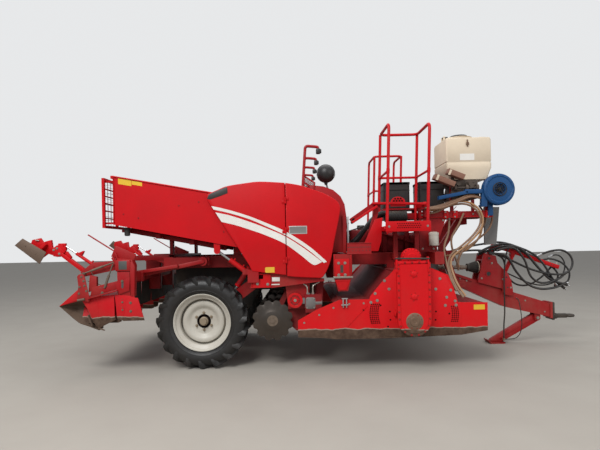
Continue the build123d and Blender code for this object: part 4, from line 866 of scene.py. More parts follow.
def buildHopper():
    wires = bmesh.new()
    for i in range(30):
        y = -1.22 + i * 2.44 / 29
        addSideRod(wires, y, (hopper["guardX"], hopper["guard"][0]), (hopper["guardX"], hopper["guard"][1]),
                   0.002, 6)
    for i in range(7):
        z = hopper["guard"][0] + 0.045 + i * 0.078
        addPin(wires, hopper["guardX"] - 0.004, z, (-1.26, 1.26), 0.002, 6)
    for side in (-1, 1):
        for i in range(5):
            z = 1.955 + i * 0.115
            addSideRod(wires, side * 1.262, (-1.215, z), (-1.094, z), 0.0021, 6)
        for i in range(2):
            x = -1.18 + i * 0.045
            addSideRod(wires, side * 1.262, (x, 1.925), (x, 2.47), 0.0021, 6)
    finish(wires, "guardWires", redWornAndShaded, "hopper")
    # the beams and cross members under the floor, which tip with it
    work = bmesh.new()
    for y in (-0.98, -0.33, 0.33, 0.98):
        addSideBar(work, y, (-1.04, 1.838), (0.3, 1.565), 0.06, 0.086, 0.005)
    for x, z in ((-1.0, 1.832), (-0.56, 1.742), (-0.12, 1.652), (0.24, 1.58)):
        addBox(work, (x - 0.03, x + 0.03), (-1.2, 1.2), (z - 0.03, z + 0.034), 0.004)
    finish(work, "hopperBeams", redWornAndShaded, "hopper")
    for label, mirrored in sides:
        for i, corners in enumerate(hopper["labels"]):
            work = bmesh.new()
            addPlate(work, corners, -hopper["half"] - 0.0012, -hopper["half"], "y")
            finish(work, f"hopperLabel{label}{i + 1}", labelYellow, "hopper", mirrored=mirrored)
        work = bmesh.new()
        (x0, z0), (x1, z1) = hopper["rim"]
        addSideRod(work, -hopper["half"] - 0.004, (x0, z0 - 0.01), (x1, z1 - 0.01), 0.01, 12)
        addSideBar(work, -hopper["half"] - 0.003, (-1.088, 1.912), (-1.084, 2.512), 0.008, 0.024, 0.003)
        finish(work, "hopperRim" + label, redPaint, "hopper", mirrored=mirrored)
        work = bmesh.new()
        addBolts(work, [(x, -hopper["half"], z) for x, z in hopper["bolts"]], 0.008, 0.006)
        finish(work, "hopperBolts" + label, redFrame, "hopper", mirrored=mirrored)
        work = bmesh.new()
        x, y, z = hopper["buffer"]
        addSideRod(work, -y, (x, z - 0.04), (x, z + 0.04), 0.036, 20)
        addSideRod(work, -y, (x, z + 0.04), (x, z + 0.052), 0.05, 20)
        addSideRod(work, -y, (x, z - 0.048), (x, z - 0.04), 0.028, 20)
        finish(work, "hopperBuffer" + label, blackRubber, "hopper", mirrored=mirrored)


buildHopper()
print("hopper dressed")


# Tank, its lid and strap, and the metering unit with its boxes

tank = {
    "x": (3.345, 3.975), "y": (-0.85, -0.27), "z": (2.45, 3.036), "lidLow": 3.0703, "shoulder": 2.69,
    "taper": 0.06,
    "neck": (3.62, -0.56), "neckRadius": 0.182, "lidRadius": 0.19, "lidHinge": (3.4, 3.092),
}


def buildTank():
    work = bmesh.new()
    (x0, x1), (y0, y1), (z0, z1) = tank["x"], tank["y"], tank["z"]
    shoulder, taper = tank["shoulder"], tank["taper"]
    # the outline's corners from the foot up, each with its inset from the widest part
    levels = (
        (z0, taper, 0.012), (z0 + 0.11, 0.022, 0.004), (shoulder - 0.085, 0.002, 0.0),
        (shoulder - 0.01, 0.0, 0.0), (shoulder - 0.004, 0.008, 0.007), (shoulder + 0.004, 0.008, 0.007),
        (shoulder + 0.01, 0.0, 0.0), (z1 - 0.04, 0.001, 0.001), (z1 - 0.012, 0.008, 0.007),
        (z1 - 0.002, 0.024, 0.022), (z1, 0.04, 0.038),
    )
    loops = []
    for z, shrinkX, shrinkY in levels:
        corners = ((x0 + shrinkX, y0 + shrinkY), (x1 - shrinkX, y0 + shrinkY), (x1 - shrinkX, y1 - shrinkY),
                   (x0 + shrinkX, y1 - shrinkY))
        verts = [work.verts.new((x, y, z)) for x, y in corners]
        loops.append([work.edges.new((verts[k], verts[(k + 1) % 4])) for k in range(4)])
    for low, high in zip(loops, loops[1:]):
        bmesh.ops.bridge_loops(work, edges=low + high)
    bmesh.ops.holes_fill(work, edges=loops[0] + loops[-1], sides=4)
    upright = [edge for edge in work.edges if abs(edge.verts[0].co.z - edge.verts[1].co.z) > 0.001
               and edge.is_manifold and edge.calc_face_angle(0) > 0.9]
    bevelEdges(work, upright, 0.024, 4, True)
    cx, cy = tank["neck"]
    neck = [(0.158, -0.02), (0.158, 0.034), (tank["neckRadius"], 0.034), (tank["neckRadius"], 0.02),
            (0.17, 0.016), (0.17, 0.006), (0.186, 0.0), (0.196, -0.012)]
    addSpin(work, neck, (cx, cy, z1), 48, axis="z")
    for y in (cy - 0.055, cy + 0.035):
        addBox(work, (3.386, 3.414), (y, y + 0.02), (z1 - 0.015, 3.106), 0.004)
    for x in (x0 + 0.1, x1 - 0.1):
        addBox(work, (x - 0.045, x + 0.045), (y0 + 0.06, y1 - 0.06), (z1 - 0.004, z1 + 0.012), 0.005)
    finish(work, "tankShell", creamPlastic, "frame", 38, replaces=("tank",))
    work = bmesh.new()
    addBox(work, (3.535, 3.735), (y0 - 0.002, y0), (2.715, 2.805))
    finish(work, "tankLabel", labelWhite)
    work = bmesh.new()
    addBox(work, (3.634, 3.652), (y0 - 0.008, y0 + 0.012), (2.905, 3.0), 0.003)
    addBox(work, (3.624, 3.662), (y0 - 0.014, y0 - 0.002), (2.925, 2.965), 0.004)
    addRod(work, (3.643, y0 - 0.016, 2.96), (3.643, y0 - 0.01, 2.9), 0.005, 10)
    finish(work, "tankLatch", wornSteel)
    work = bmesh.new()
    lidLow = tank["lidLow"]
    # a cream flange covers the neck, with the small black cap in its middle
    profile = [(0.0, 0.013), (0.125, 0.013), (0.18, 0.01), (tank["lidRadius"], 0.006),
               (tank["lidRadius"], 0.0), (0.0, 0.0)]
    addSpin(work, profile, (cx, cy, lidLow), 56, axis="z")
    finish(work, "tankLidFlange", creamPlastic, "tank_lid", replaces=("tank_lid",))
    work = bmesh.new()
    profile = [(0.0, 0.032), (0.078, 0.032), (0.084, 0.045), (0.108, 0.045), (0.118, 0.038), (0.118, 0.02),
               (0.104, 0.012), (0.0, 0.012)]
    addSpin(work, profile, (cx, cy, lidLow), 56, axis="z")
    for k in range(24):
        turn = math.radians(15 * k)
        x, y = cx + math.cos(turn) * 0.116, cy + math.sin(turn) * 0.116
        addSideRod(work, y, (x, lidLow + 0.02), (x, lidLow + 0.04), 0.005, 6)
    hx, hz = tank["lidHinge"]
    addBox(work, (hx, hx + 0.06), (cy - 0.025, cy + 0.025), (hz - 0.012, hz + 0.012), 0.003)
    addPin(work, hx, hz, (cy - 0.055, cy + 0.055), 0.006, 12)
    addPin(work, hx, hz, (cy - 0.025, cy + 0.025), 0.012, 16)
    finish(work, "tankLidShell", blackPlasticAndHoleShade, "tank_lid", replaces=("tank_lid",))


def buildMetering():
    work = bmesh.new()
    x, y0, y1 = 3.4, tank["y"][0] - 0.02, tank["y"][1] + 0.02
    addBox(work, (x, x + 0.39), (y0, y1), (2.185, 2.29), 0.006)
    addPlate(work,
             ((3.48, 2.29), (3.5, 2.385), (3.405, 2.42), (3.405, 2.44), (3.78, 2.44), (3.78, 2.385),
              (3.76, 2.29)), y0 + 0.03, y1 - 0.03, "y", 0.006)
    addBox(work, (x, x + 0.04), (tank["y"][0] - 0.03, tank["y"][0] - 0.01), (2.2, 2.5), 0.004)
    for k in range(6):
        place = x + 0.045 + k * 0.062
        addPin(work, place, 2.236, (y0 - 0.03, y0 + 0.004), 0.02, 18)
        addPin(work, place, 2.236, (y0 - 0.042, y0 - 0.03), 0.009, 8)
    addSideRod(work, y0 - 0.034, (3.385, 2.33), (3.77, 2.33), 0.012, 12)
    for place in (3.44, 3.6, 3.745):
        addSideRod(work, y0 - 0.034, (place - 0.016, 2.33), (place + 0.016, 2.33), 0.04, 18)
        addBox(work, (place - 0.006, place + 0.006), (y0 - 0.04, y0 + 0.04), (2.285, 2.345), 0.002)
    addPin(work, 3.5, 2.395, (y0 - 0.022, y0 + 0.03), 0.034, 24)
    addPin(work, 3.68, 2.385, (y0 - 0.022, y0 + 0.03), 0.044, 24)
    addPin(work, 3.7, 2.405, (y0 - 0.03, y0 - 0.022), 0.01, 8)
    finish(work, "meteringBlock", meterDark, replaces=("metering_unit",))
    boxes = bmesh.new()
    for outline in (((3.31, 2.52), (3.34, 2.585), (3.56, 2.495), (3.53, 2.43)),
                    ((3.125, 2.45), (3.155, 2.515), (3.43, 2.4), (3.4, 2.335))):
        addPlate(boxes, outline, -1.0, -0.88, "y", 0.005)
        first, second = Vector(outline[1]), Vector(outline[2])
        for t in (0.18, 0.5, 0.82):
            place = first.lerp(second, t)
            addSideRod(boxes, -0.965, (place.x, place.y - 0.004), (place.x, place.y + 0.004), 0.012, 12)
    finish(boxes, "meteringBoxes", boardBrown)
    work = bmesh.new()
    for low, high in ((3.318, 3.346), (3.15, 3.178)):
        addPlate(work,
                 ((low, 2.5 if low > 3.2 else 2.434), (low + 0.03, 2.57 if low > 3.2 else 2.504),
                  (high + 0.03, 2.56 if low > 3.2 else 2.494), (high, 2.49 if low > 3.2 else 2.424)),
                 -1.003, -0.995, "y", 0.001)
    finish(work, "meteringBands", creamPlastic)


buildTank()
buildMetering()
print("tank and metering unit built")


# Blower with its duct, chute, bins and the round duct under them

blower = {"centre": (4.016, 2.289), "radius": 0.215, "y": (-1.0, -0.875)}


def buildBlower():
    work = bmesh.new()
    x, z = blower["centre"]
    y0, y1 = blower["y"]
    radius = blower["radius"]
    profile = [
        (0.0, y1), (radius - 0.02, y1), (radius - 0.004, y1 - 0.006), (radius, y1 - 0.02),
        (radius, y0 + 0.034), (radius - 0.006, y0 + 0.016), (radius - 0.022, y0 + 0.006),
        (radius - 0.036, y0 + 0.004), (radius - 0.05, y0 + 0.012), (radius - 0.064, y0 + 0.01),
        (0.092, y0 + 0.008), (0.084, y0), (0.074, y0), (0.07, y0 + 0.03), (0.03, y0 + 0.034),
        (0.0, y0 + 0.03),
    ]
    addSpin(work, [(r, along) for r, along in profile], (x, 0, z), 64)
    addBox(work, (3.56, 3.87), (-0.96, -0.885), (2.24, 2.3), 0.008)
    addPlate(work, ((3.2, 2.165), (3.2, 2.215), (3.56, 2.28), (3.6, 2.28), (3.6, 2.24)), -0.96, -0.885, "y",
             0.006)
    addPlate(work, ((3.775, 2.06), (3.79, 2.25), (3.86, 2.25), (3.86, 2.06)), -0.96, -0.885, "y", 0.006)
    addBox(work, (3.9, 3.97), (-0.878, -0.85), (1.94, 2.2), 0.005)
    for k in range(16):
        turn = math.radians(22.5 * k + 8)
        addBolts(work, [around((x, y0 + 0.006, z), radius - 0.028, turn)], 0.006, 0.006)
    finish(work, "blowerHousing", bluePaint, replaces=("blower",))
    work = bmesh.new()
    for k in range(9):
        turn = math.radians(40 * k)
        middle = (x, y0 + 0.018, z)
        addBar(work, around(middle, 0.024, turn), around(middle, 0.07, turn + 0.5), 0.003, 0.018)
    addPin(work, x, z, (y0 + 0.006, y0 + 0.034), 0.022, 20)
    addSpin(work,
            [(0.086, y0 - 0.002), (0.09, y0 - 0.006), (0.094, y0 - 0.002), (0.094, y0 + 0.01),
             (0.086, y0 + 0.01), (0.086, y0 - 0.002)], (x, 0, z), 48)
    finish(work, "blowerFan", blackPlasticAndHoleShade)
    work = bmesh.new()
    for radiusOut in (0.03, 0.048, 0.066, 0.082):
        addSpin(work,
                [(radiusOut - 0.0016, y0 - 0.003), (radiusOut, y0 - 0.005),
                 (radiusOut + 0.0016, y0 - 0.003), (radiusOut, y0 - 0.001),
                 (radiusOut - 0.0016, y0 - 0.003)], (x, 0, z), 40)
    for k in range(3):
        turn = math.radians(60 * k)
        dx, dz = math.cos(turn) * 0.088, math.sin(turn) * 0.088
        addSideRod(work, y0 - 0.003, (x - dx, z - dz), (x + dx, z + dz), 0.0022, 6)
    finish(work, "blowerGrille", blackPlasticAndHoleShade)


def buildBins():
    work = bmesh.new()
    for x0, x1 in ((2.5, 2.87), (3.0, 3.36)):
        tub = bmesh.new()
        addBox(tub, (x0, x1), (-0.7, -0.33), (2.08, 2.45))
        top = max(tub.faces, key=lambda each: each.calc_center_median().z)
        bmesh.ops.delete(tub, geom=[top], context="FACES_ONLY")
        sides = [edge for edge in tub.edges if abs(edge.verts[0].co.z - edge.verts[1].co.z) > 0.1]
        bevelEdges(tub, sides, 0.03, 4)
        foot = [edge for edge in tub.edges if max(vert.co.z for vert in edge.verts) < 2.081]
        bevelEdges(tub, foot, 0.012, 3)
        bmesh.ops.recalc_face_normals(tub, faces=tub.faces)
        bmesh.ops.solidify(tub, geom=tub.faces[:], thickness=0.007)
        held = bpy.data.meshes.new("tub")
        tub.to_mesh(held)
        tub.free()
        work.from_mesh(held)
        bpy.data.meshes.remove(held)
        for low, high in ((2.415, 2.45), (2.33, 2.342)):
            lip = 0.006 if high > 2.4 else 0.003
            addBox(work, (x0 - lip + 0.006, x1 + lip - 0.006), (-0.7, -0.693), (low, high), 0.002)
            addBox(work, (x0 - lip + 0.006, x1 + lip - 0.006), (-0.337, -0.33), (low, high), 0.002)
            addBox(work, (x0, x0 + 0.007), (-0.69, -0.34), (low, high), 0.002)
            addBox(work, (x1 - 0.007, x1), (-0.69, -0.34), (low, high), 0.002)
    finish(work, "binTubs", blackPlasticAndHoleShade, replaces=("bins",))
    work = bmesh.new()
    addSpin(work, [(0.066, 0.0), (0.075, 0.0), (0.078, 0.008), (0.075, 0.016), (0.075, 0.3), (0.0, 0.31)],
            (0, 0, 0), 40, axis="z")
    for k in range(9):
        addSpin(work, [(0.075, 0.04 + k * 0.028), (0.0785, 0.046 + k * 0.028), (0.075, 0.052 + k * 0.028)],
                (0, 0, 0), 40, axis="z")
    addSpin(work, [(0.066, 0.0), (0.064, 0.12), (0.0, 0.124)], (0, 0, 0), 40, axis="z")
    turn = Matrix.Translation((2.79, -0.79, 1.96)) @ Matrix.Rotation(math.radians(-90), 4, "Y")
    bmesh.ops.transform(work, matrix=turn, verts=work.verts)
    addBox(work, (2.6, 2.66), (-0.728, -0.7), (1.93, 1.99), 0.004)
    finish(work, "roundDuct", blackRubber, replaces=("air_duct",))


buildBlower()
buildBins()
print("blower and bins built")


def spread(points, spacing):
    # places at an even distance along a line of points
    places, left = [], 0.0
    for start, end in zip(points, points[1:]):
        start, end = Vector(start), Vector(end)
        length = (end - start).length
        while left <= length:
            places.append(tuple(start.lerp(end, left / length)))
            left += spacing
        left -= length
    return places


def addRimmed(work, outline, low, high, rim, drop, across="y", bevel=0.003):
    # a cover whose middle lies lower than its rim; low is the outer face
    addPlate(work, outline, high, low, across, bevel)
    index = {"y": 1, "x": 0, "z": 2}[across]
    flat = [face for face in work.faces if all(abs(vert.co[index] - low) < 0.0001 for vert in face.verts)]
    face = max(flat, key=lambda each: each.calc_area())
    bmesh.ops.inset_region(work, faces=[face], thickness=rim, depth=0)
    bmesh.ops.inset_region(work, faces=[face], thickness=drop * 0.5, depth=-drop)


# Tiller: the bolted round cover, bolts, vents and wear of both side plates

tiller = {
    "face": 1.452,
    "cover": (
        (2.483, 1.25), (2.337, 1.13), (2.234, 1.012), (2.165, 0.93), (2.133, 0.818), (2.143, 0.683),
        (2.19, 0.56), (2.247, 0.47), (2.355, 0.425), (2.573, 0.405), (2.825, 0.408), (2.993, 0.414),
        (3.178, 0.44), (3.262, 0.49), (3.306, 0.575), (3.303, 0.693), (3.268, 0.794), (3.232, 0.896),
        (3.192, 0.997), (3.112, 1.17), (2.944, 1.25),
    ),
    "bolts": (
        (2.345, 1.118), (2.401, 1.013), (2.225, 0.96), (2.25, 0.872), (2.17, 0.85), (3.04, 1.13),
        (2.986, 1.0), (3.172, 0.984), (3.121, 0.895), (3.226, 0.846), (3.235, 0.795), (3.101, 0.793),
    ),
    "holes": (
        (2.291, 0.81), (2.405, 0.731), (2.411, 0.627), (2.379, 0.543), (2.983, 0.72), (2.976, 0.615),
        (2.075, 0.756), (3.15, 0.69),
    ),
    "edgeBolts": ((1.33, 0.61), (1.52, 0.705), (1.7, 0.79), (1.9, 0.835), (2.08, 0.84)),
    "label": ((3.459, 3.597), (0.733, 0.795)),
}


def buildTiller():
    outer = -tiller["face"]
    for label, mirrored in sides:
        work = bmesh.new()
        addPlate(work, tiller["cover"], outer - 0.005, outer, "y", 0.002)
        addSideBar(work, outer - 0.001, (2.128, 0.812), (1.872, 0.552), 0.004, 0.012, 0.0015)
        finish(work, "tillerCover" + label, tillerPaint, mirrored=mirrored)
        work = bmesh.new()
        addBolts(work, [(x, outer - 0.005, z) for x, z in tiller["bolts"]], 0.013, 0.01)
        addBolts(work, [(x, outer, z) for x, z in tiller["edgeBolts"]], 0.009, 0.007)
        finish(work, "tillerBolts" + label, boltSteel, mirrored=mirrored)
        # the vents and round holes are black discs standing just proud of the plate: painted shade of the
        # openings
        work = bmesh.new()
        for x, z in tiller["holes"]:
            addPin(work, x, z, (outer - 0.0062, outer - 0.004), 0.011, 12)
        for k in range(5):
            for j in range(11):
                x = 2.158 + k * 0.024 + 0.02 * ((j - 5) / 5) ** 2
                addPin(work, x, 0.59 + j * 0.0235, (outer - 0.0064, outer - 0.004), 0.0092, 8)
        for k in range(4):
            for j in range(9):
                x = 3.262 - k * 0.024 - 0.012 * ((j - 4) / 4) ** 2
                addPin(work, x, 0.592 + j * 0.0235, (outer - 0.0064, outer - 0.004), 0.0085, 8)
        finish(work, "tillerVents" + label, paintedHoleShade, mirrored=mirrored)
        work = bmesh.new()
        (x0, x1), (z0, z1) = tiller["label"]
        addPlate(work, ((x0, z0), (x1, z0), (x1, z1), (x0, z1)), outer - 0.0012, outer, "y")
        finish(work, "tillerLabel" + label, labelYellow, mirrored=mirrored)
        # the clevis that ties the chassis bracket to the side plate
        work = bmesh.new()
        for x in (1.815, 1.858):
            addBox(work, (x, x + 0.012), (outer - 0.03, outer), (0.792, 0.9), 0.003)
        addBox(work, (1.805, 1.88), (outer - 0.034, outer), (0.9, 0.912), 0.003)
        addSideRod(work, outer - 0.016, (1.8, 0.825), (1.885, 0.825), 0.009, 14)
        finish(work, "tillerClevis" + label, galvanised, mirrored=mirrored)


# Chain case on the right: a cover with a raised, bolted rim, two round covers and a worn bottom cap

chainCase = {
    "x": (2.477, 2.888), "top": 1.361, "bend": (2.6825, 0.64), "radius": 0.2055, "back": -1.452,
    "rim": -1.596,
    "covers": ((2.68, 1.202, 0.06), (2.68, 0.923, 0.062)), "cap": (2.68, 0.622, 0.11),
    "dome": (2.673, 1.4, 0.12), "tube": ((2.47, 1.397), (2.862, 1.389)),
}


def chainCaseOutline(shrink=0.0, parts=14):
    (x0, x1), top = chainCase["x"], chainCase["top"] - shrink
    (cx, cz), radius = chainCase["bend"], chainCase["radius"] - shrink
    corner = 0.02
    line = [(x0 + shrink, top - corner), (x0 + shrink + corner, top), (x1 - shrink - corner, top),
            (x1 - shrink, top - corner)]
    for i in range(parts + 1):
        angle = -math.pi * i / parts
        line.append((cx + math.cos(angle) * radius, cz + math.sin(angle) * radius))
    return line


def buildChainCase():
    back, rim = chainCase["back"], chainCase["rim"]
    work = bmesh.new()
    addPlate(work, chainCaseOutline(0.014), back, rim + 0.02, "y")
    addRimmed(work, chainCaseOutline(), rim, rim + 0.024, 0.034, 0.008)
    addPlate(work, chainCaseOutline(), back - 0.012, back, "y", 0.003)
    x, z, radius = chainCase["dome"]
    addSpin(work,
            [(0.0001, 0.0), (radius * 0.45, 0.001), (radius * 0.5, 0.01), (radius * 0.82, 0.012),
             (radius * 0.86, 0.022), (radius, 0.026), (radius, 0.114)], (x, back - 0.114, z), 40)
    for x, z, radius in chainCase["covers"]:
        addSpin(work,
                [(0.0001, 0.0), (radius * 0.4, 0.001), (radius * 0.56, 0.006), (radius * 0.62, 0.014),
                 (radius * 0.92, 0.017), (radius, 0.022), (radius, 0.036)], (x, rim - 0.022, z), 32)
    for x in (2.455, 2.888):
        addBox(work, (x, x + 0.022), (back - 0.06, back), (0.68, 0.735), 0.003)
    for x in (2.474, 2.86):
        addBox(work, (x - 0.008, x + 0.008), (rim - 0.015, rim + 0.06), (1.225, 1.412), 0.003)
        addBox(work, (x - 0.02, x + 0.02), (rim - 0.006, rim + 0.002), (1.225, 1.262), 0.002)
    finish(work, "chainCase", tillerPaint, "frame", 30, replaces=("chaincase",))
    work = bmesh.new()
    x, z, radius = chainCase["cap"]
    addSpin(work,
            [(0.0001, 0.003), (radius * 0.22, 0.003), (radius * 0.25, 0.0), (radius * 0.5, 0.0),
             (radius * 0.55, 0.007), (radius * 0.9, 0.009), (radius, 0.016), (radius, 0.03)],
            (x, rim - 0.022, z), 40)
    finish(work, "chainCaseCap", wornSteel, "frame", 30)
    work = bmesh.new()
    for x, z, radius, count in ((*chainCase["covers"][0], 6), (*chainCase["covers"][1], 6),
                                (*chainCase["cap"], 8)):
        for i in range(count):
            angle = 2 * math.pi * i / count + 0.3
            lift = 0.013 if radius > 0.1 else 0.006
            place = around((x, rim - lift, z), radius * 0.79, angle)
            addBolts(work, [place], 0.006, 0.005, washer=False)
    x, z, radius = chainCase["dome"]
    for i in range(9):
        angle = math.pi * (0.05 + 0.9 * i / 8)
        place = around((x, back - 0.092, z), radius * 0.92, angle)
        addBolts(work, [place], 0.007, 0.006, washer=False)
    line = chainCaseOutline(0.017)
    path = [(x, rim, z) for x, z in [*line, line[0]]]
    addBolts(work, spread(path, 0.0885), 0.009, 0.008)
    finish(work, "chainCaseBolts", redFrame)
    work = bmesh.new()
    addPin(work, 2.672, 0.788, (rim - 0.0015, rim + 0.01), 0.014, 14)
    start, end = chainCase["tube"]
    addSideRod(work, -1.6, start, end, 0.011, 14)
    for x, z in (start, end):
        addSideRod(work, -1.6, (x - 0.012, z), (x + 0.012, z), 0.015, 14)
    finish(work, "chainCaseTube", blackPlasticAndHoleShade)


buildTiller()
buildChainCase()
print("tiller built")


# Brackets between the elevators and the tiller

bracket = {
    "face": 1.33, "bolts": ((1.785, 1.346), (1.867, 1.346), (1.785, 1.195), (1.867, 1.195)),
    "plate": ((1.735, 1.15), (1.925, 1.15), (1.925, 1.4), (1.735, 1.4)),
    "slot": ((1.806, 1.222), (1.845, 1.222), (1.845, 1.322), (1.806, 1.322)),
    "bar": ((1.715, 1.965), (1.152, 1.176)),
    "lower": ((1.79, 1.0), (1.882, 1.0), (1.935, 1.128), (1.735, 1.128)),
}


def buildStep():
    # on the right only: the step's folded lip, its holes as black discs of painted shade, and its grating
    work = bmesh.new()
    for y, z0, z1 in ((-1.318, 1.592, 1.602), (-1.33, 1.456, 1.468)):
        addBox(work, (1.896, 2.214), (-1.338, y), (z0, z1), 0.003)
    finish(work, "stepLipRight", redFrame)
    work = bmesh.new()
    for count, start, spacing, z in ((13, 1.915, 0.0235, 1.545), (7, 1.925, 0.044, 1.5)):
        for i in range(count):
            x = start + i * spacing
            addPin(work, x, z, (-1.3312, -1.325), 0.0065, 10)
    finish(work, "stepHoles", blackPlasticAndHoleShade)
    work = bmesh.new()
    for i in range(10):
        x = 1.915 + i * 0.0315
        addBox(work, (x, x + 0.005), (-1.316, -0.985), (1.48, 1.492))
    for i in range(8):
        y = -1.3 + i * 0.042
        addBox(work, (1.904, 2.208), (y, y + 0.004), (1.48, 1.49))
    finish(work, "stepGrating", galvanised)


def buildBrackets():
    outer = -bracket["face"]
    for label, mirrored in sides:
        work = bmesh.new()
        addPlate(work, bracket["plate"], outer - 0.01, outer, "y", 0.003)
        addRimmed(work, bracket["lower"], outer - 0.008, outer, 0.014, 0.005)
        for x in (1.728, 1.94):
            addBox(work, (x, x + 0.01), (outer - 0.016, outer), (1.2, 1.45), 0.002)
        finish(work, "midBracket" + label, redPaint, mirrored=mirrored)
        work = bmesh.new()
        addBolts(work, [(x, outer - 0.01, z) for x, z in bracket["bolts"]], 0.013, 0.012)
        (x0, x1), (z0, z1) = bracket["bar"]
        addBox(work, (x0, x1), (outer - 0.02, outer - 0.004), (z0, z1), 0.003)
        addBolts(work, [(1.75, outer - 0.02, 1.164), (1.93, outer - 0.02, 1.164)], 0.008, 0.007)
        finish(work, "midBolts" + label, boltSteel, mirrored=mirrored)
        # the slot in the plate is a black plate: painted shade in the opening
        work = bmesh.new()
        addPlate(work, bracket["slot"], outer - 0.0112, outer - 0.006, "y")
        finish(work, "midSlot" + label, blackPlasticAndHoleShade, mirrored=mirrored)
        if not mirrored:
            buildStep()


# Service arm: a broad strut, the beam over it and a rounded plate with holes

serviceArm = {
    "strut": ((2.292, 1.905), (2.392, 1.93), (2.372, 1.62), (2.33, 1.486), (2.105, 1.486), (2.15, 1.6)),
    "face": -1.15, "middle": -1.135, "head": (2.6, 2.118), "headSize": (0.1, 0.082),
    "holes": ((-2, 0), (-1, 0), (0, 0), (1, 0), (2, 0), (-1.5, 1), (-0.5, 1), (0.5, 1), (1.5, 1), (-1, 2),
              (0, 2), (1, 2)),
}


def buildServiceArm():
    face, middle = serviceArm["face"], serviceArm["middle"]
    (hx, hz), (wide, high) = serviceArm["head"], serviceArm["headSize"]
    work = bmesh.new()
    addPlate(work, serviceArm["strut"], face, -1.132, "y", 0.003)
    addSideBar(work, middle, (1.985, 1.865), (2.32, 2.078), 0.03, 0.155, 0.004)
    addSideBar(work, middle, (2.262, 2.118), (2.98, 2.098), 0.03, 0.088, 0.004)
    turns = [math.radians(20 + 14 * i) for i in range(11)]
    head = [(hx + math.cos(turn) * wide, hz + math.sin(turn) * high) for turn in turns]
    addPlate(work, [(2.5, 2.07), (2.7, 2.07), *head], -1.158, face, "y", 0.002)
    addBox(work, (2.94, 2.975), (face, -0.78), (2.06, 2.125), 0.004)
    finish(work, "serviceArm", redPaint)
    # the plate's holes are black discs: painted shade of the openings
    work = bmesh.new()
    for i, j in serviceArm["holes"]:
        addPin(work, hx + i * 0.036, 2.116 + j * 0.028, (-1.16, -1.156), 0.0125, 12)
    addPin(work, 2.01, 1.905, (-1.152, -1.146), 0.02, 18)
    finish(work, "serviceArmHoles", paintedHoleShade)


buildBrackets()
buildServiceArm()
print("brackets built")


# Platforms: checker plate with a punched lip and rails of bent tube

platforms = {
    "right": {"x": (2.4, 2.915), "side": 1}, "left": {"x": (2.57, 3.035), "side": -1},
    "floor": 1.745, "outer": -1.45, "inner": -0.76, "railTop": 3.1, "railMid": 2.5, "lean": 0.052,
}


def buildPlatform(label, facts, mirrored):
    (x0, x1), floor = facts["x"], platforms["floor"]
    outer, inner = platforms["outer"], platforms["inner"]
    near, far = outer + 0.04, inner - 0.02
    work = bmesh.new()
    addBox(work, (x0 - 0.024, x1 + 0.033), (outer + 0.004, inner), (floor, floor + 0.024), 0.002)
    addPlate(work,
             ((x0 - 0.024, floor - 0.014), (x1 + 0.033, floor - 0.014), (x1 + 0.033, floor + 0.108),
              (x1 + 0.025, floor + 0.116), (x0 - 0.016, floor + 0.116), (x0 - 0.024, floor + 0.108)), outer,
             outer + 0.01, "y", 0.002)
    for x in (x0 - 0.024, x1 + 0.025):
        addBox(work, (x, x + 0.008), (outer + 0.01, inner), (floor + 0.024, floor + 0.06), 0.002)
    for x, y in ((x0, near), (x0, far), (x1, near), (x1, far)):
        addBox(work, (x - 0.036, x + 0.036), (y - 0.026, y + 0.036), (floor + 0.024, floor + 0.032), 0.002)
    rail, mid = platforms["railTop"], platforms["railMid"]
    foot, half = floor + 0.028, platforms["lean"] * 0.55
    top0, top1 = x0 + platforms["lean"], x1 + platforms["lean"]
    addPipe(work,
            [(x0, near, foot), (top0, near, rail), (top0, far, rail), (top1, far, rail), (top1, near, rail),
             (x1, near, foot)], 0.0195, 0.085, 16)
    for x, top in ((x0, top0), (x1, top1)):
        addSideRod(work, far, (x, foot), (top, rail), 0.0195, 16)
    addPipe(work,
            [(x0 + half, near, mid), (x0 + half, far, mid), (x1 + half, far, mid), (x1 + half, near, mid)],
            0.0165, 0.0, 12)
    for x in (x0 + half, x1 + half):
        for y in (near, far):
            addSideRod(work, y, (x - 0.0015, mid - 0.03), (x + 0.0015, mid + 0.03), 0.0225, 16)
    finish(work, "platform" + label, redPaint, mirrored=mirrored, replaces=("platform_" + label.lower(),))
    # raised checks on the tread, and the punched holes of the lip as black discs of painted shade
    work = bmesh.new()
    columns = int((x1 - x0 + 0.02) / 0.038)
    for i in range(columns):
        for j in range(17):
            x, y = x0 - 0.004 + i * 0.038, outer + 0.035 + j * 0.038
            lean = 0.009 if (i + j) % 2 else -0.009
            addBar(work, (x - 0.009, y - lean, floor + 0.0245), (x + 0.009, y + lean, floor + 0.0245),
                   0.005, 0.003)
    finish(work, "platformTread" + label, redWornAndShaded, "frame", 35, mirrored, merge=0.00001)
    work = bmesh.new()
    for i in range(11):
        for j in range(3):
            x = x0 + 0.128 + i * 0.0275 + (0.01375 if j % 2 else 0.0)
            z = floor + 0.034 + j * 0.025
            addPin(work, x, z, (outer - 0.0012, outer + 0.004), 0.0075, 10)
    finish(work, "platformHoles" + label, paintedHoleShade, mirrored=mirrored)
    work = bmesh.new()
    addBolts(work, [(x0 + 0.02, outer, floor + 0.05), (x1 - 0.01, outer, floor + 0.05)], 0.01, 0.008)
    addBolts(work, [(x + dx, y, floor + 0.032) for x, y in ((x0, near), (x0, far), (x1, near), (x1, far))
                    for dx in (-0.027, 0.027)], 0.006, 0.005, (0, 0, 1))
    finish(work, "platformBolts" + label, boltSteel, mirrored=mirrored)


# What shows inside the machine: elevator fronts, oil tank and valves, rear beams and the skirts of the rows

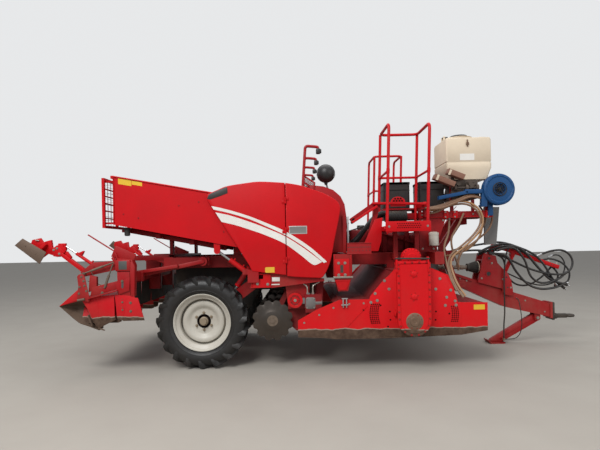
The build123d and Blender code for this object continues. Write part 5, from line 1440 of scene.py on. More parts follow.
interior = {
    "hood": ((1.33, 2.33), (1.47, 2.366), (1.62, 2.346), (1.745, 2.298), (1.838, 2.214), (1.888, 2.11),
             (1.908, 1.96), (1.912, 1.8), (1.9, 1.64), (1.872, 1.48)),
    "half": 1.17, "beamY": (0.78, 0.86), "beamX": (-1.25, -0.52), "beamZ": (1.42, 1.49),
    "valves": (-0.3, -0.18, -0.06, 0.06, 0.18, 0.3),
    "hoses": (
        ((2.52, -0.83, 2.01), (2.38, -0.85, 2.0), (2.24, -0.88, 1.84), (2.06, -0.9, 1.64),
         (1.96, -0.86, 1.56)),
        ((2.5, -0.72, 1.99), (2.34, -0.74, 1.96), (2.21, -0.78, 1.79), (2.06, -0.82, 1.59),
         (1.96, -0.8, 1.52)),
    ),
}


def buildInterior():
    # the elevators' rounded front, seen past the doors, with its side cheeks
    half, line = interior["half"], interior["hood"]
    work = bmesh.new()
    verts = [work.verts.new((x, -half, z)) for x, z in line]
    edges = [work.edges.new(pair) for pair in zip(verts, verts[1:])]
    made = bmesh.ops.extrude_edge_only(work, edges=edges)["geom"]
    bmesh.ops.translate(work, vec=(0, half * 2, 0), verts=pick(made, bmesh.types.BMVert))
    bmesh.ops.solidify(work, geom=work.faces[:], thickness=0.006)
    for side in (-1, 1):
        addPlate(work, (*line, (1.76, 1.48), (1.33, 1.48)), side * half - 0.004, side * half + 0.004, "y",
                 0.001)
        addBox(work, (1.86, 1.905), (side * half - 0.022, side * half + 0.022), (1.47, 1.96), 0.004)
    finish(work, "elevatorFronts", redFrame, "frame", 40)
    work = bmesh.new()
    for side in (-1, 1):
        addBox(work, (1.924, 1.944), (side * 1.13 - 0.03, side * 1.13 + 0.03), (1.47, 1.95), 0.002)
    addBolts(work, [(1.944, side * 1.13, z) for side in (-1, 1) for z in (1.54, 1.7, 1.86)], 0.008, 0.007,
             (1, 0, 0))
    finish(work, "elevatorStrips", galvanised)
    # the oil tank and the boxes that stand on the frame between the elevators and the rotor
    work = bmesh.new()
    addBox(work, (2.02, 2.4), (-0.64, 0.64), (1.466, 1.79), 0.03)
    addBox(work, (2.46, 3.18), (-0.6, 0.6), (1.466, 1.7), 0.016)
    for x in (2.48, 2.8, 3.12):
        addBox(work, (x, x + 0.06), (-0.64, 0.64), (1.466, 1.76), 0.006)
    for side in (-1, 1):
        addSideBar(work, side * 0.64, (2.48, 1.73), (3.17, 1.5), 0.016, 0.06, 0.003)
    finish(work, "oilTank", redWornAndShaded)
    work = bmesh.new()
    addSpin(work,
            [(0.0001, 0.07), (0.05, 0.07), (0.056, 0.06), (0.056, 0.012), (0.044, 0.0), (0.044, -0.01)],
            (2.2, -0.42, 1.79), 28, axis="z")
    for y in interior["valves"]:
        addBox(work, (2.42, 2.455), (y - 0.035, y + 0.035), (1.5, 1.64), 0.006)
        addSideRod(work, y, (2.438, 1.64), (2.438, 1.69), 0.012, 14)
    finish(work, "valveBlocks", blackPlasticAndHoleShade)
    work = bmesh.new()
    for points in interior["hoses"]:
        addPipe(work, points, 0.034, 0.12, 18)
    for y in interior["valves"]:
        addPipe(work,
                [(2.438, y, 1.69), (2.438, y, 1.76), (2.3, y * 1.5, 1.86), (1.96, y * 2.2, 1.76),
                 (1.9, y * 2.2, 1.56)], 0.01, 0.06, 10)
    finish(work, "oilHoses", hoseBlack)
    # rear ends of the frame, above the ridger's arms
    work = bmesh.new()
    (x0, x1), (z0, z1) = interior["beamX"], interior["beamZ"]
    for side in (-1, 1):
        low, high = apart(side, *interior["beamY"])
        addBox(work, (x0, x1 + 0.08), (low, high), (z0, z1), 0.006)
        for inner, outer in ((low + 0.01, low + 0.022), (high - 0.022, high - 0.01)):
            addPlate(work, ((x1 - 0.2, z0), (x1 + 0.06, z0), (x1 + 0.06, 1.33)), inner, outer, "y", 0.002)
    addBox(work, (x1, x1 + 0.08), (-interior["beamY"][1], interior["beamY"][1]), (z0, z1), 0.006)
    finish(work, "rearBeams", redFrame)
    # rubber skirts and dark boards over the rows, inside the wheels
    work = bmesh.new()
    for side in (-1, 1):
        low, high = apart(side, 0.556, 0.568)
        addPlate(work,
                 ((-0.5, 1.29), (1.48, 1.29), (1.48, 0.76), (1.3, 0.7), (1.16, 0.96), (0.7, 0.96),
                  (0.56, 0.7), (-0.3, 0.7), (-0.5, 0.86)), low, high, "y", 0.003)
    finish(work, "rowSkirts", blackRubber)


# Hose bundles: the radius of each hose and then its points

frontHoses = (
    (0.019, (4.05, -0.12, 1.42), (4.3, -0.1, 1.52), (4.55, -0.09, 1.53), (4.8, -0.08, 1.38),
     (5.05, -0.07, 1.1), (5.36, -0.06, 0.86)),
    (0.019, (4.05, -0.06, 1.38), (4.4, -0.13, 1.5), (4.7, -0.12, 1.46), (4.95, -0.12, 1.18),
     (5.15, -0.11, 0.98), (5.38, -0.09, 0.9)),
    (0.018, (4.2, -0.15, 1.4), (4.45, -0.16, 1.36), (4.6, -0.16, 1.12), (4.78, -0.15, 0.92),
     (4.98, -0.14, 0.84), (5.2, -0.12, 0.85), (5.36, -0.1, 0.9)),
    (0.0145, (5.05, 0.05, 1.26), (5.24, 0.04, 1.29), (5.42, 0.03, 1.22), (5.52, 0.02, 1.08),
     (5.49, 0.01, 0.94), (5.38, 0.0, 0.89)),
    (0.0145, (4.35, 0.08, 1.4), (4.52, 0.1, 1.3), (4.58, 0.11, 1.05), (4.72, 0.12, 0.9), (4.92, 0.12, 0.88),
     (5.12, 0.1, 1.0), (5.25, 0.08, 1.14)),
    (0.017, (4.3, -0.18, 1.44), (4.55, -0.18, 1.48), (4.72, -0.18, 1.3), (4.82, -0.17, 1.04),
     (5.0, -0.15, 0.93), (5.25, -0.13, 0.98), (5.38, -0.1, 1.06)),
    (0.0145, (4.15, -0.02, 1.36), (4.5, 0.0, 1.47), (4.9, 0.0, 1.36), (5.2, 0.01, 1.2), (5.34, 0.02, 1.05),
     (5.3, 0.02, 0.9)),
)
seedHoses = (
    (0.017, (3.02, -0.985, 2.04), (3.22, -0.985, 2.05), (3.42, -0.975, 2.12), (3.64, -0.95, 2.2),
     (3.86, -0.9, 2.16)),
    (0.017, (3.02, -0.945, 2.045), (3.22, -0.945, 2.07), (3.44, -0.935, 2.15), (3.66, -0.91, 2.225),
     (3.9, -0.86, 2.15)),
    (0.017, (3.02, -0.905, 2.05), (3.24, -0.9, 2.09), (3.46, -0.89, 2.17), (3.7, -0.86, 2.23),
     (3.93, -0.8, 2.12)),
    (0.014, (3.9, -0.76, 2.12), (4.01, -0.74, 1.95), (3.96, -0.74, 1.76), (3.78, -0.74, 1.6),
     (3.56, -0.76, 1.44), (3.48, -0.78, 1.24)),
    (0.014, (3.86, -0.66, 2.1), (3.96, -0.64, 1.93), (3.88, -0.64, 1.74), (3.7, -0.64, 1.56),
     (3.56, -0.66, 1.36), (3.54, -0.68, 1.18)),
    (0.014, (3.56, -0.88, 1.98), (3.48, -0.9, 1.82), (3.38, -0.9, 1.64), (3.4, -0.9, 1.44),
     (3.48, -0.9, 1.24)),
)


def buildHoseBundles():
    work, couplings = bmesh.new(), bmesh.new()
    for radius, *points in frontHoses:
        addPipe(work, smoothLine(points), radius, 0.0, 12)
        end = Vector(points[-1])
        way = (end - Vector(points[-2])).normalized()
        addRod(work, end, end + way * 0.045, radius * 1.15, 12)
        addRod(couplings, end + way * 0.045, end + way * 0.08, radius * 0.75, 12)
    finish(work, "frontHoses", hoseBlack)
    finish(couplings, "frontCouplings", brightSteel)
    work = bmesh.new()
    for radius, *points in seedHoses:
        addPipe(work, smoothLine(points), radius, 0.0, 12)
    finish(work, "seedHoses", hoseBrown)


# Rails, mesh and lamps on the hood, and the round mirror. Its points are x and z

gate = {
    "posts": (-1.22, -0.4, 0.4, 1.22),
    "post": ((1.345, 2.29), (1.392, 2.878), (1.556, 2.862), (1.556, 2.835)),
    "stays": (-1.18, -0.6, 0.6, 1.18), "top": (1.367, 2.495), "low": (1.506, 2.4), "foot": (1.49, 2.25),
    "wires": 40, "mirror": (1.66, -1.1, 2.53), "mirrorRadius": 0.121,
}


def buildGate():
    # the rails on the hood: posts with bent heads, joined across the machine
    work = bmesh.new()
    for y in gate["posts"]:
        addPipe(work, [(x, y, z) for x, z in gate["post"]], 0.0195, 0.04, 16)
        addBox(work, (1.305, 1.385), (y - 0.019, y + 0.019), (2.292, 2.304), 0.002)
        addSideBar(work, y, (1.35, 2.42), (1.44, 2.34), 0.012, 0.03, 0.002)
    addPin(work, 1.365, 2.495, (-1.22, 1.22), 0.0145, 14)
    addPin(work, 1.506, 2.4, (-1.18, 1.18), 0.0105, 12)
    for y in gate["stays"]:
        addSideRod(work, y, gate["top"], gate["low"], 0.0105, 12)
        addSideRod(work, y, gate["low"], gate["foot"], 0.0105, 12)
    finish(work, "topGate", redFrame, replaces=("top_gate",))
    work = bmesh.new()
    for i in range(gate["wires"]):
        addSideRod(work, -1.17 + i * 0.06, gate["top"], gate["low"], 0.0025, 6)
    for k in range(5):
        t = 0.14 + k * 0.18
        addPin(work, 1.367 + 0.139 * t, 2.495 - 0.095 * t, (-1.175, 1.175), 0.0025, 6)
    finish(work, "topGateMesh", redWornAndShaded)
    work = bmesh.new()
    for y in gate["posts"]:
        addBox(work, (1.53, 1.59), (y - 0.034, y + 0.034), (2.77, 2.838), 0.012)
        addSideRod(work, y, (1.59, 2.804), (1.6, 2.804), 0.027, 18)
    finish(work, "postLamps", blackPlasticAndHoleShade)
    # the round mirror: a deep black shell, its glass to the front, on a bent grey stalk
    x, y, z = gate["mirror"]
    work = bmesh.new()
    made = bmesh.ops.create_uvsphere(work, u_segments=40, v_segments=24,
                                     radius=gate["mirrorRadius"])["verts"]
    bmesh.ops.scale(work, vec=(0.97, 1.0, 1.0), verts=made)
    bmesh.ops.translate(work, vec=(x, y, z), verts=made)
    addSpin(work, [(0.119, -0.006), (0.1235, -0.006), (0.1235, 0.006), (0.119, 0.006)], (x, y, z), 48)
    addSideRod(work, y, (x, z - 0.118), (x, z - 0.148), 0.026, 18, 0.019)
    finish(work, "mirrorShell", blackGloss, "frame", 40, replaces=("top_gate",))
    work = bmesh.new()
    addPipe(work, [(x, y, z - 0.13), (x + 0.022, y, z - 0.2), (x + 0.03, y, 2.27), (x, y, 2.195)], 0.0125,
            0.05, 14)
    addBox(work, (x - 0.04, x + 0.04), (y - 0.03, y + 0.03), (2.19, 2.2), 0.003)
    finish(work, "mirrorStalk", greyPaint)


buildPlatform("Right", platforms["right"], False)
buildPlatform("Left", platforms["left"], True)
buildInterior()
buildHoseBundles()
buildGate()
print("platforms and gate built")


# Shaft drive: gearbox, shaft with its joint and the ribbed black cone

shaft = {"start": (3.42, 0.0, 1.2), "end": (3.9, 0.0, 1.185), "rings": (4.066, 0.0, 1.185)}


def layAlong(work, place):
    # turns what was drawn upright to lie along the machine, and moves it to its place
    turn = Matrix.Rotation(math.radians(90), 3, "Y")
    bmesh.ops.rotate(work, cent=(0, 0, 0), matrix=turn, verts=work.verts)
    bmesh.ops.translate(work, vec=place, verts=work.verts)


def buildShaft():
    work = bmesh.new()
    addBox(work, (2.9, 3.17), (-0.13, 0.13), (1.255, 1.3), 0.006)
    addBox(work, (3.12, 3.4), (-0.126, 0.126), (1.122, 1.298), 0.016)
    addBox(work, (3.396, 3.42), (-0.118, 0.118), (1.125, 1.292), 0.005)
    for y in (-0.085, 0.0, 0.085):
        addBox(work, (3.15, 3.38), (y - 0.006, y + 0.006), (1.296, 1.3), 0.001)
    addBox(work, (3.3, 3.4), (-0.13, 0.13), (1.12, 1.14), 0.004)
    finish(work, "gearbox", greyPaint, replaces=("pto_drive",))
    work = bmesh.new()
    start, end = Vector(shaft["start"]), Vector(shaft["end"])
    along = (end - start).normalized()
    addRod(work, start, start + along * 0.06, 0.037, 24)
    addRod(work, start + along * 0.06, start + along * 0.095, 0.026, 20)
    addRod(work, start + along * 0.095, start + along * 0.25, 0.036, 24)
    addRod(work, start + along * 0.25, start + along * 0.262, 0.038, 24)
    addRod(work, start + along * 0.262, end, 0.03, 24)
    addRod(work, end - along * 0.1, end - along * 0.06, 0.036, 24)
    addBolts(work, [(3.425, -0.095, z) for z in (1.145, 1.27)], 0.008, 0.007, (1, 0, 0))
    addBolts(work, [(3.418, 0.095, z) for z in (1.145, 1.27)], 0.008, 0.007, (1, 0, 0))
    finish(work, "driveShaft", shaftGrey, replaces=("pto_drive",))
    profile = [(0.03, 0.0), (0.06, 0.002), (0.06, 0.04)]
    for i in range(7):
        along = 0.045 + i * 0.0155
        profile += [(0.063 + i * 0.0045, along), (0.069 + i * 0.0045, along + 0.005),
                    (0.069 + i * 0.004, along + 0.01)]
    profile += [(0.0945, 0.154), (0.0945, 0.16), (0.089, 0.16), (0.08, 0.13), (0.05, 0.06), (0.03, 0.05)]
    work = bmesh.new()
    addSpin(work, profile, (0, 0, 0), 40, axis="z")
    layAlong(work, shaft["end"])
    finish(work, "shaftCone", blackRubber, "frame", 30, replaces=("pto_drive",))
    work = bmesh.new()
    for i, radius in enumerate((0.089, 0.08)):
        addSpin(work, [(radius, 0.0), (radius + 0.006, 0.0), (radius + 0.006, 0.012), (radius, 0.012)],
                (0, 0, -0.006 - i * 0.03), 40, axis="z")
    layAlong(work, shaft["rings"])
    finish(work, "coneRings", creamPlastic, "frame", 30)


buildShaft()
print("shaft built")


# Drawbar fittings, towing eye, parking leg and the bar that holds the hoses

drawbar = {
    "gusset": 0.14, "bushes": ((4.199, 1.326, 0.021), (4.186, 1.088, 0.033)),
    "side": ((4.4, 1.15), (4.47, 1.11), (4.53, 0.985), (4.556, 0.815), (4.545, 0.745), (4.44, 0.76),
             (4.395, 0.8)),
    "holes": ((4.458, 1.03), (4.472, 0.871)), "slots": ((4.151, 0.975), (4.313, 0.925)),
    "flangeBolts": ((0.075, 0.43), (0.075, 0.52), (0.075, 0.6), (-0.075, 0.43), (-0.075, 0.52),
                    (-0.075, 0.6)),
    "leg": (4.96, 0.385), "foot": 4.31,
}


def buildDrawbar():
    side = drawbar["gusset"]
    work = bmesh.new()
    for way in (-1, 1):
        low, high = apart(way, side, side + 0.01)
        addPlate(work, drawbar["side"], low, high, "y", 0.002)
        # weld beads along the gusset's foot and the flange
        addSideRod(work, way * (side - 0.036), (4.03, 0.985), (4.54, 0.812), 0.006, 8)
        addSideRod(work, way * 0.102, (5.138, 0.405), (5.138, 0.605), 0.005, 8)
        for x, z, radius in drawbar["bushes"]:
            addSpin(work,
                    [(radius, 0.0), (radius + 0.01, 0.0), (radius + 0.01, way * -0.008),
                     (radius, way * -0.008), (radius, 0.0)], (x, way * (side + 0.007), z), 28)
        addSideBar(work, way * 0.1015, (3.7, 1.06), (3.94, 0.975), 0.003, 0.04, 0.001)
    finish(work, "drawbarPlates", redFrame)
    # the bores of the bushes and the holes and slots of the gussets are black plates: painted shade of the
    # openings
    work = bmesh.new()
    for way in (-1, 1):
        outer = way * side
        for x, z, radius in drawbar["bushes"]:
            addPin(work, x, z, (outer, outer + way * 0.0025), radius * 0.98, 24)
        for x, z in drawbar["holes"]:
            addPin(work, x, z, (outer + way * 0.008, outer + way * 0.0112), 0.012, 14)
        for x, z in drawbar["slots"]:
            addPlate(work,
                     ((x - 0.026, z + 0.002), (x - 0.018, z + 0.014), (x + 0.018, z + 0.004),
                      (x + 0.026, z - 0.01), (x + 0.018, z - 0.018), (x - 0.018, z - 0.008)),
                     *apart(way, 0.098, 0.1012), "y")
    finish(work, "drawbarHoles", blackPlasticAndHoleShade)
    work = bmesh.new()
    for way in (-1, 1):
        for x, z in ((4.08, 1.02), (4.24, 1.25), (4.4, 1.0), (4.52, 0.87)):
            addBolts(work, [(x, way * (side + (0.01 if x > 4.39 else 0.0)), z)], 0.01, 0.009, (0, way, 0))
        addBolts(work,
                 [(x, way * 0.1, z) for x, z in ((3.76, 1.02), (3.86, 0.985), (4.76, 0.66), (5.06, 0.48))],
                 0.009, 0.007, (0, way, 0))
        addPin(work, drawbar["leg"][0], drawbar["leg"][1], (way * 0.075, way * 0.09), 0.024, 20)
        addBolts(work, [(drawbar["leg"][0], way * 0.09, drawbar["leg"][1])], 0.013, 0.009, (0, way, 0))
    for y, z in drawbar["flangeBolts"]:
        addBolts(work, [(5.14, y, z)], 0.013, 0.012, (-1, 0, 0))
        addBolts(work, [(5.212, y, z)], 0.013, 0.012, (1, 0, 0))
    finish(work, "drawbarBolts", boltSteel)
    # towing eye: a forged bar that tapers into a ring, bolted to the flange
    work = bmesh.new()
    addBox(work, (5.176, 5.212), (-0.11, 0.11), (0.35, 0.625), 0.008)
    addSideBar(work, 0, (5.205, 0.4), (5.29, 0.4), 0.088, 0.088, 0.016)
    addSideBar(work, 0, (5.27, 0.4), (5.452, 0.4), 0.066, 0.066, 0.014)
    profile = []
    for i in range(17):
        angle = 2 * math.pi * i / 16
        profile.append((0.0475 + math.cos(angle) * 0.0222, math.sin(angle) * 0.0226))
    addSpin(work, profile, (5.5, 0, 0.4), 48, axis="z")
    finish(work, "towingEye", forgedSteel, "frame", 40, replaces=("towing_eye",))
    # parking leg: a folded channel with a curved skid
    px, pz = drawbar["leg"]
    foot = drawbar["foot"]
    work = bmesh.new()
    addPlate(work,
             ((px + 0.038, pz + 0.022), (px + 0.036, pz - 0.046), (px - 0.04, pz - 0.09),
              (foot + 0.13, 0.03), (foot + 0.09, 0.014), (foot - 0.05, 0.014), (foot - 0.08, 0.04),
              (foot - 0.06, 0.062), (px - 0.06, pz + 0.052), (px - 0.01, pz + 0.048)), -0.0395, 0.0395, "y",
             0.006)
    for y in (-0.0405, 0.0325):
        addSideBar(work, y + 0.004, (foot + 0.11, 0.095), (px - 0.07, pz - 0.022), 0.008, 0.022, 0.002)
    addPin(work, px, pz, (-0.0395, 0.0395), 0.0395, 28)
    addPin(work, px - 0.08, pz - 0.075, (-0.041, 0.041), 0.012, 14)
    skid = ((-0.124, 0.054), (-0.114, 0.0545), (-0.1, 0.034), (-0.086, 0.014), (0.1, 0.013), (0.118, 0.016),
            (0.129, 0.024), (0.1295, 0.012), (0.118, 0.002), (0.1, 0.0005), (-0.094, 0.0005),
            (-0.112, 0.02))
    addPlate(work, [(foot + x, z) for x, z in skid], -0.11, 0.11, "y", 0.0015)
    for y in (-0.03, 0.026):
        addPlate(work,
                 ((foot - 0.07, 0.013), (foot + 0.1, 0.013), (foot + 0.02, 0.11), (foot - 0.01, 0.078)), y,
                 y + 0.004, "y")
    addPin(work, foot + 0.095, 0.075, (-0.118, -0.034), 0.0165, 20)
    addPin(work, foot + 0.095, 0.075, (-0.1, -0.088), 0.0215, 6)
    finish(work, "parkingLeg", redFrame, "parking_leg", replaces=("parking_leg",))
    # hose holder: a square tube with its end plate, strut and clips
    work = bmesh.new()
    start, end = Vector((4.32, 0, 1.53)), Vector((5.339, 0, 1.159))
    along = (end - start).normalized()
    addBar(work, start, end, 0.0595, 0.0595, 0.006)
    addBar(work, start - along * 0.004, start + along * 0.01, 0.066, 0.066, 0.002)
    addSideBar(work, 0, (4.207, 1.312), (4.33, 1.53), 0.0595, 0.0595, 0.006)
    addSideBar(work, 0, (4.647, 1.4), (4.38, 0.862), 0.0495, 0.0495, 0.006)
    addPlate(work, [((start + along * d).x + a * 0.34, (start + along * d).z + a * 0.94)
                    for d, a in ((0.3, 0.03), (0.36, 0.03), (0.36, -0.06), (0.33, -0.1), (0.3, -0.06))],
             -0.032, 0.032, "y", 0.002)
    finish(work, "hoseHolder", redPaint, replaces=("hose_holder",))
    work = bmesh.new()
    up = Vector((along.z * -1, 0, along.x))
    for distance in (0.13, 0.42, 0.5, 0.7, 0.905, 1.04):
        place = start + along * distance
        addBar(work, place - along * 0.014 + up * 0.03, place + along * 0.014 + up * 0.03, 0.062, 0.006,
               0.0015)
        addBolts(work, [place + up * 0.033], 0.006, 0.007, up)
    addRod(work, end + up * 0.03 - along * 0.03, end + up * 0.03 - along * 0.03 + Vector((0, 0.05, 0)),
           0.005, 10)
    finish(work, "holderClips", boltSteel)
    # the holes through the tube are black rods: painted shade of the openings
    work = bmesh.new()
    for distance in (0.955, 0.995):
        place = start + along * distance
        addRod(work, place + Vector((0, -0.0315, 0)), place + Vector((0, 0.0315, 0)), 0.007, 12)
    finish(work, "holderHoles", blackPlasticAndHoleShade)


buildDrawbar()
print("drawbar built")


# Ridger: frame with its linkage, side flanks, mouldboards, ridge formers and the rubber curtain

ridger = {
    "side": 1.45, "pivot": (-0.015, 1.395), "arm": 1.01, "armEnd": (-0.9, 1.22),
    "posts": (-1.4, -0.325, 0.325, 1.4),
    "post": ((-1.0, 0.985), (-0.8, 0.985), (-0.784, 1.38), (-0.812, 1.445), (-1.0, 1.468)),
    "flank": ((-0.99, 1.44), (-0.99, 1.33), (-1.46, 1.24), (-1.5, 1.3), (-1.34, 1.42)),
    "slotted": ((-1.016, 1.155), (-0.836, 1.229), (-0.845, 1.062), (-0.968, 1.02), (-1.001, 1.065)),
    "holed": ((-1.491, 1.252), (-1.47, 1.276), (-1.418, 1.284), (-1.393, 1.236), (-1.346, 1.003),
              (-1.336, 0.955), (-1.35, 0.935), (-1.464, 0.948), (-1.497, 0.984), (-1.478, 1.14)),
    "boxed": ((-1.375, 1.05), (-1.27, 1.085), (-1.268, 1.24), (-1.355, 1.262)),
    "rearFlank": ((-1.44, 0.935), (-1.4, 0.99), (-1.043, 1.012), (-1.043, 0.751), (-1.028, 0.7),
                  (-1.13, 0.652), (-1.242, 0.596), (-1.29, 0.64), (-1.372, 0.825)),
    "frontFlank": ((-1.036, 1.015), (-0.815, 0.994), (-0.785, 0.985), (-0.795, 0.69), (-0.938, 0.688),
                   (-1.01, 0.712)),
    "wing": ((-0.88, 0.976), (-0.743, 0.97), (-0.665, 0.687), (-0.938, 0.684), (-0.912, 0.77)),
    "tip": ((-1.738, 0.88), (-1.497, 1.085), (-1.462, 1.085), (-1.43, 0.99), (-1.5, 0.956)),
    "boardTop": ((-1.734, 0.884), (-1.62, 0.922), (-1.5, 0.952), (-1.425, 0.94), (-1.385, 0.85),
                 (-1.33, 0.73), (-1.25, 0.6)),
    "boardFoot": ((-1.734, 0.876), (-1.655, 0.805), (-1.57, 0.728), (-1.487, 0.662), (-1.42, 0.636),
                  (-1.354, 0.612), (-1.246, 0.568)),
    "former": ((-0.285, 0.655), (-0.215, 0.8), (-0.145, 0.935), (-0.1, 0.979), (0.1, 0.979), (0.145, 0.935),
               (0.215, 0.8), (0.285, 0.655)),
    "rows": (-1.125, -0.375, 0.375, 1.125), "formerX": (-1.486, -0.978),
}


def addSheet(work, line, low, high, across):
    place = turned[across]
    verts = [work.verts.new(place(a, b, low)) for a, b in line]
    edges = [work.edges.new(pair) for pair in zip(verts, verts[1:])]
    made = bmesh.ops.extrude_edge_only(work, edges=edges)["geom"]
    bmesh.ops.translate(work, vec=place(0, 0, high - low), verts=pick(made, bmesh.types.BMVert))
    return pick(made, bmesh.types.BMFace)


def buildRidgerFrame():
    side = ridger["side"]
    work = bmesh.new()
    addBox(work, (-0.93, -0.81), (-side, side), (1.165, 1.285), 0.01)
    for y in ridger["posts"]:
        addPlate(work, ridger["post"], y - 0.05, y + 0.05, "y", 0.008)
    for way in (-1, 1):
        (px, pz), (ex, ez) = ridger["pivot"], ridger["armEnd"]
        addSideBar(work, way * ridger["arm"], (px, pz), (ex, ez), 0.058, 0.108, 0.01)
        addPin(work, px, pz, (way * 0.981, way * 1.039), 0.0595, 28)
        low, high = apart(way, 1.355, 1.375)
        addPlate(work, ridger["flank"], low, high, "y", 0.003)
        for x, z in ((-1.44, 1.29), (-1.33, 1.37)):
            addPin(work, x, z, (way * 1.296, way * 1.382), 0.0145 if x < -1.4 else 0.0098, 16)
        # the folded outer plate of the post, its sloping top and the head that carries the cross tube
        low, high = apart(way, side, side + 0.01)
        addPlate(work, ((-0.834, 0.99), (-0.786, 0.99), (-0.776, 1.372), (-0.812, 1.436), (-0.842, 1.41)),
                 *apart(way, side - 0.006, side + 0.018), "y", 0.005)
        addPlate(work, ((-1.0, 0.995), (-0.84, 0.99), (-0.845, 1.3), (-1.0, 1.3)), low, high, "y", 0.002)
        addSideBar(work, way * 1.395, (-1.066, 1.56), (-0.806, 1.444), 0.15, 0.012, 0.004)
        addSideBar(work, way * 1.395, (-1.03, 1.535), (-0.96, 1.3), 0.012, 0.07, 0.003)
        addBox(work, (-1.025, -0.828), apart(way, 1.36, 1.478), (1.302, 1.45), 0.022)
        addSideBar(work, way * 1.44, (-1.058, 1.48), (-1.012, 1.408), 0.03, 0.06, 0.006)
        # linkage plates at the rear
        addPlate(work, ridger["slotted"], *apart(way, 1.466, 1.478), "y", 0.003)
        addSideBar(work, way * 1.474, (-1.36, 0.975), (-0.985, 1.07), 0.016, 0.08, 0.003)
        addPlate(work, ridger["holed"], *apart(way, 1.474, 1.486), "y", 0.003)
        addPlate(work, ridger["boxed"], *apart(way, 1.385, 1.44), "y", 0.006)
        addPlate(work, ((-1.35, 0.99), (-1.0, 1.082), (-1.0, 1.185), (-1.33, 1.11)),
                 *apart(way, 1.43, 1.442), "y", 0.002)
        # the upper bar from the chassis to the toolbar, with its clamp
        addSideBar(work, way * 1.1, (-0.93, 1.262), (-0.33, 1.343), 0.045, 0.055, 0.005)
        addBox(work, (-0.95, -0.79), apart(way, 1.06, 1.14), (1.155, 1.295), 0.006)
        # a thin stay with its sloped end
        addRod(work, (-1.412, way * 1.33, 1.774), (-1.06, way * 1.36, 1.552), 0.009, 12)
    finish(work, "ridgerFrame", redFrame, "ridger", replaces=("ridger_frame",))
    work = bmesh.new()
    for way in (-1, 1):
        for x, z in ((-1.182, 1.043), (-0.93, 1.182)):
            addBolts(work, [(x, way * 1.48, z)], 0.012, 0.01, (0, way, 0))
        for x, z in ((-1.461, 1.121), (-1.401, 1.135), (-1.47, 1.039), (-1.378, 1.07), (-1.436, 1.246),
                     (-1.409, 1.195)):
            addBolts(work, [(x, way * 1.486, z)], 0.01, 0.008, (0, way, 0), x < -1.37)
        addRod(work, (-1.488, way * 1.488, 0.955), (-1.395, way * 1.5, 0.97), 0.015, 18)
        addRod(work, (-1.425, way * 1.47, 0.964), (-1.425, way * 1.512, 0.966), 0.008, 12)
        # struts: a screw link and a gas spring
        addSideRod(work, way * 1.42, (-1.434, 1.284), (-1.045, 1.422), 0.0095, 14)
        addSideRod(work, way * 1.42, (-1.33, 1.321), (-1.19, 1.3705), 0.0155, 16)
        addSideRod(work, way * 1.445, (-1.056, 1.399), (-1.169, 1.094), 0.0085, 14)
        addSideRod(work, way * 1.445, (-1.108, 1.259), (-1.166, 1.102), 0.0155, 16)
        for x, z in ((-1.434, 1.284), (-1.045, 1.422)):
            addPin(work, x, z, (way * 1.4, way * 1.44), 0.017, 16)
        addSideRod(work, way * 1.395, (-1.4, 1.19), (-1.18, 1.12), 0.006, 10)
        addSideRod(work, way * 1.38, (-1.37, 1.33), (-1.29, 1.15), 0.005, 10)
        for i, z in enumerate((0.957, 0.918, 0.856, 0.823)):
            addBolts(work, [(-0.94, way * 1.464, z)], 0.009 if i % 2 else 0.005, 0.008, (0, way, 0),
                     bool(i % 2))
        for z in (0.91, 0.804):
            addBolts(work, [(-0.834, way * 1.474, z)], 0.012, 0.01, (0, way, 0))
    finish(work, "ridgerSteel", linkSteel, "ridger")
    work = bmesh.new()
    for way in (-1, 1):
        addBox(work, (-0.974, -0.87), apart(way, 1.47, 1.4805), (1.325, 1.432), 0.004)
        addPlate(work,
                 ((-0.944, 1.105), (-0.93, 1.09), (-0.916, 1.105), (-0.914, 1.168), (-0.928, 1.183),
                  (-0.942, 1.168)), *apart(way, 1.47, 1.4795), "y")
        for z in (0.91, 0.804):
            addBox(work, (-0.82, -0.785), apart(way, 1.468, 1.4735), (z - 0.006, z + 0.006))
        for x in (-1.23, -1.17):
            addBox(work, (x, x + 0.04), apart(way, 1.43, 1.4425),
                   (1.098 + (x + 1.23) * 0.27, 1.104 + (x + 1.23) * 0.27))
        addSideRod(work, way * 1.3, (-0.862, 1.349), (-0.862, 0.76), 0.013, 14)
    finish(work, "ridgerDark", plugDark, "ridger")


def isFormer(face):
    # whether the face belongs to a ridge former, and not to a flank
    low, high = ridger["formerX"]
    between = all(low - 0.001 <= vert.co.x <= high + 0.001 and abs(vert.co.y) < 1.4485 for vert in face.verts)
    return between and len(face.verts) < 9 and face.calc_area() > 0.0005


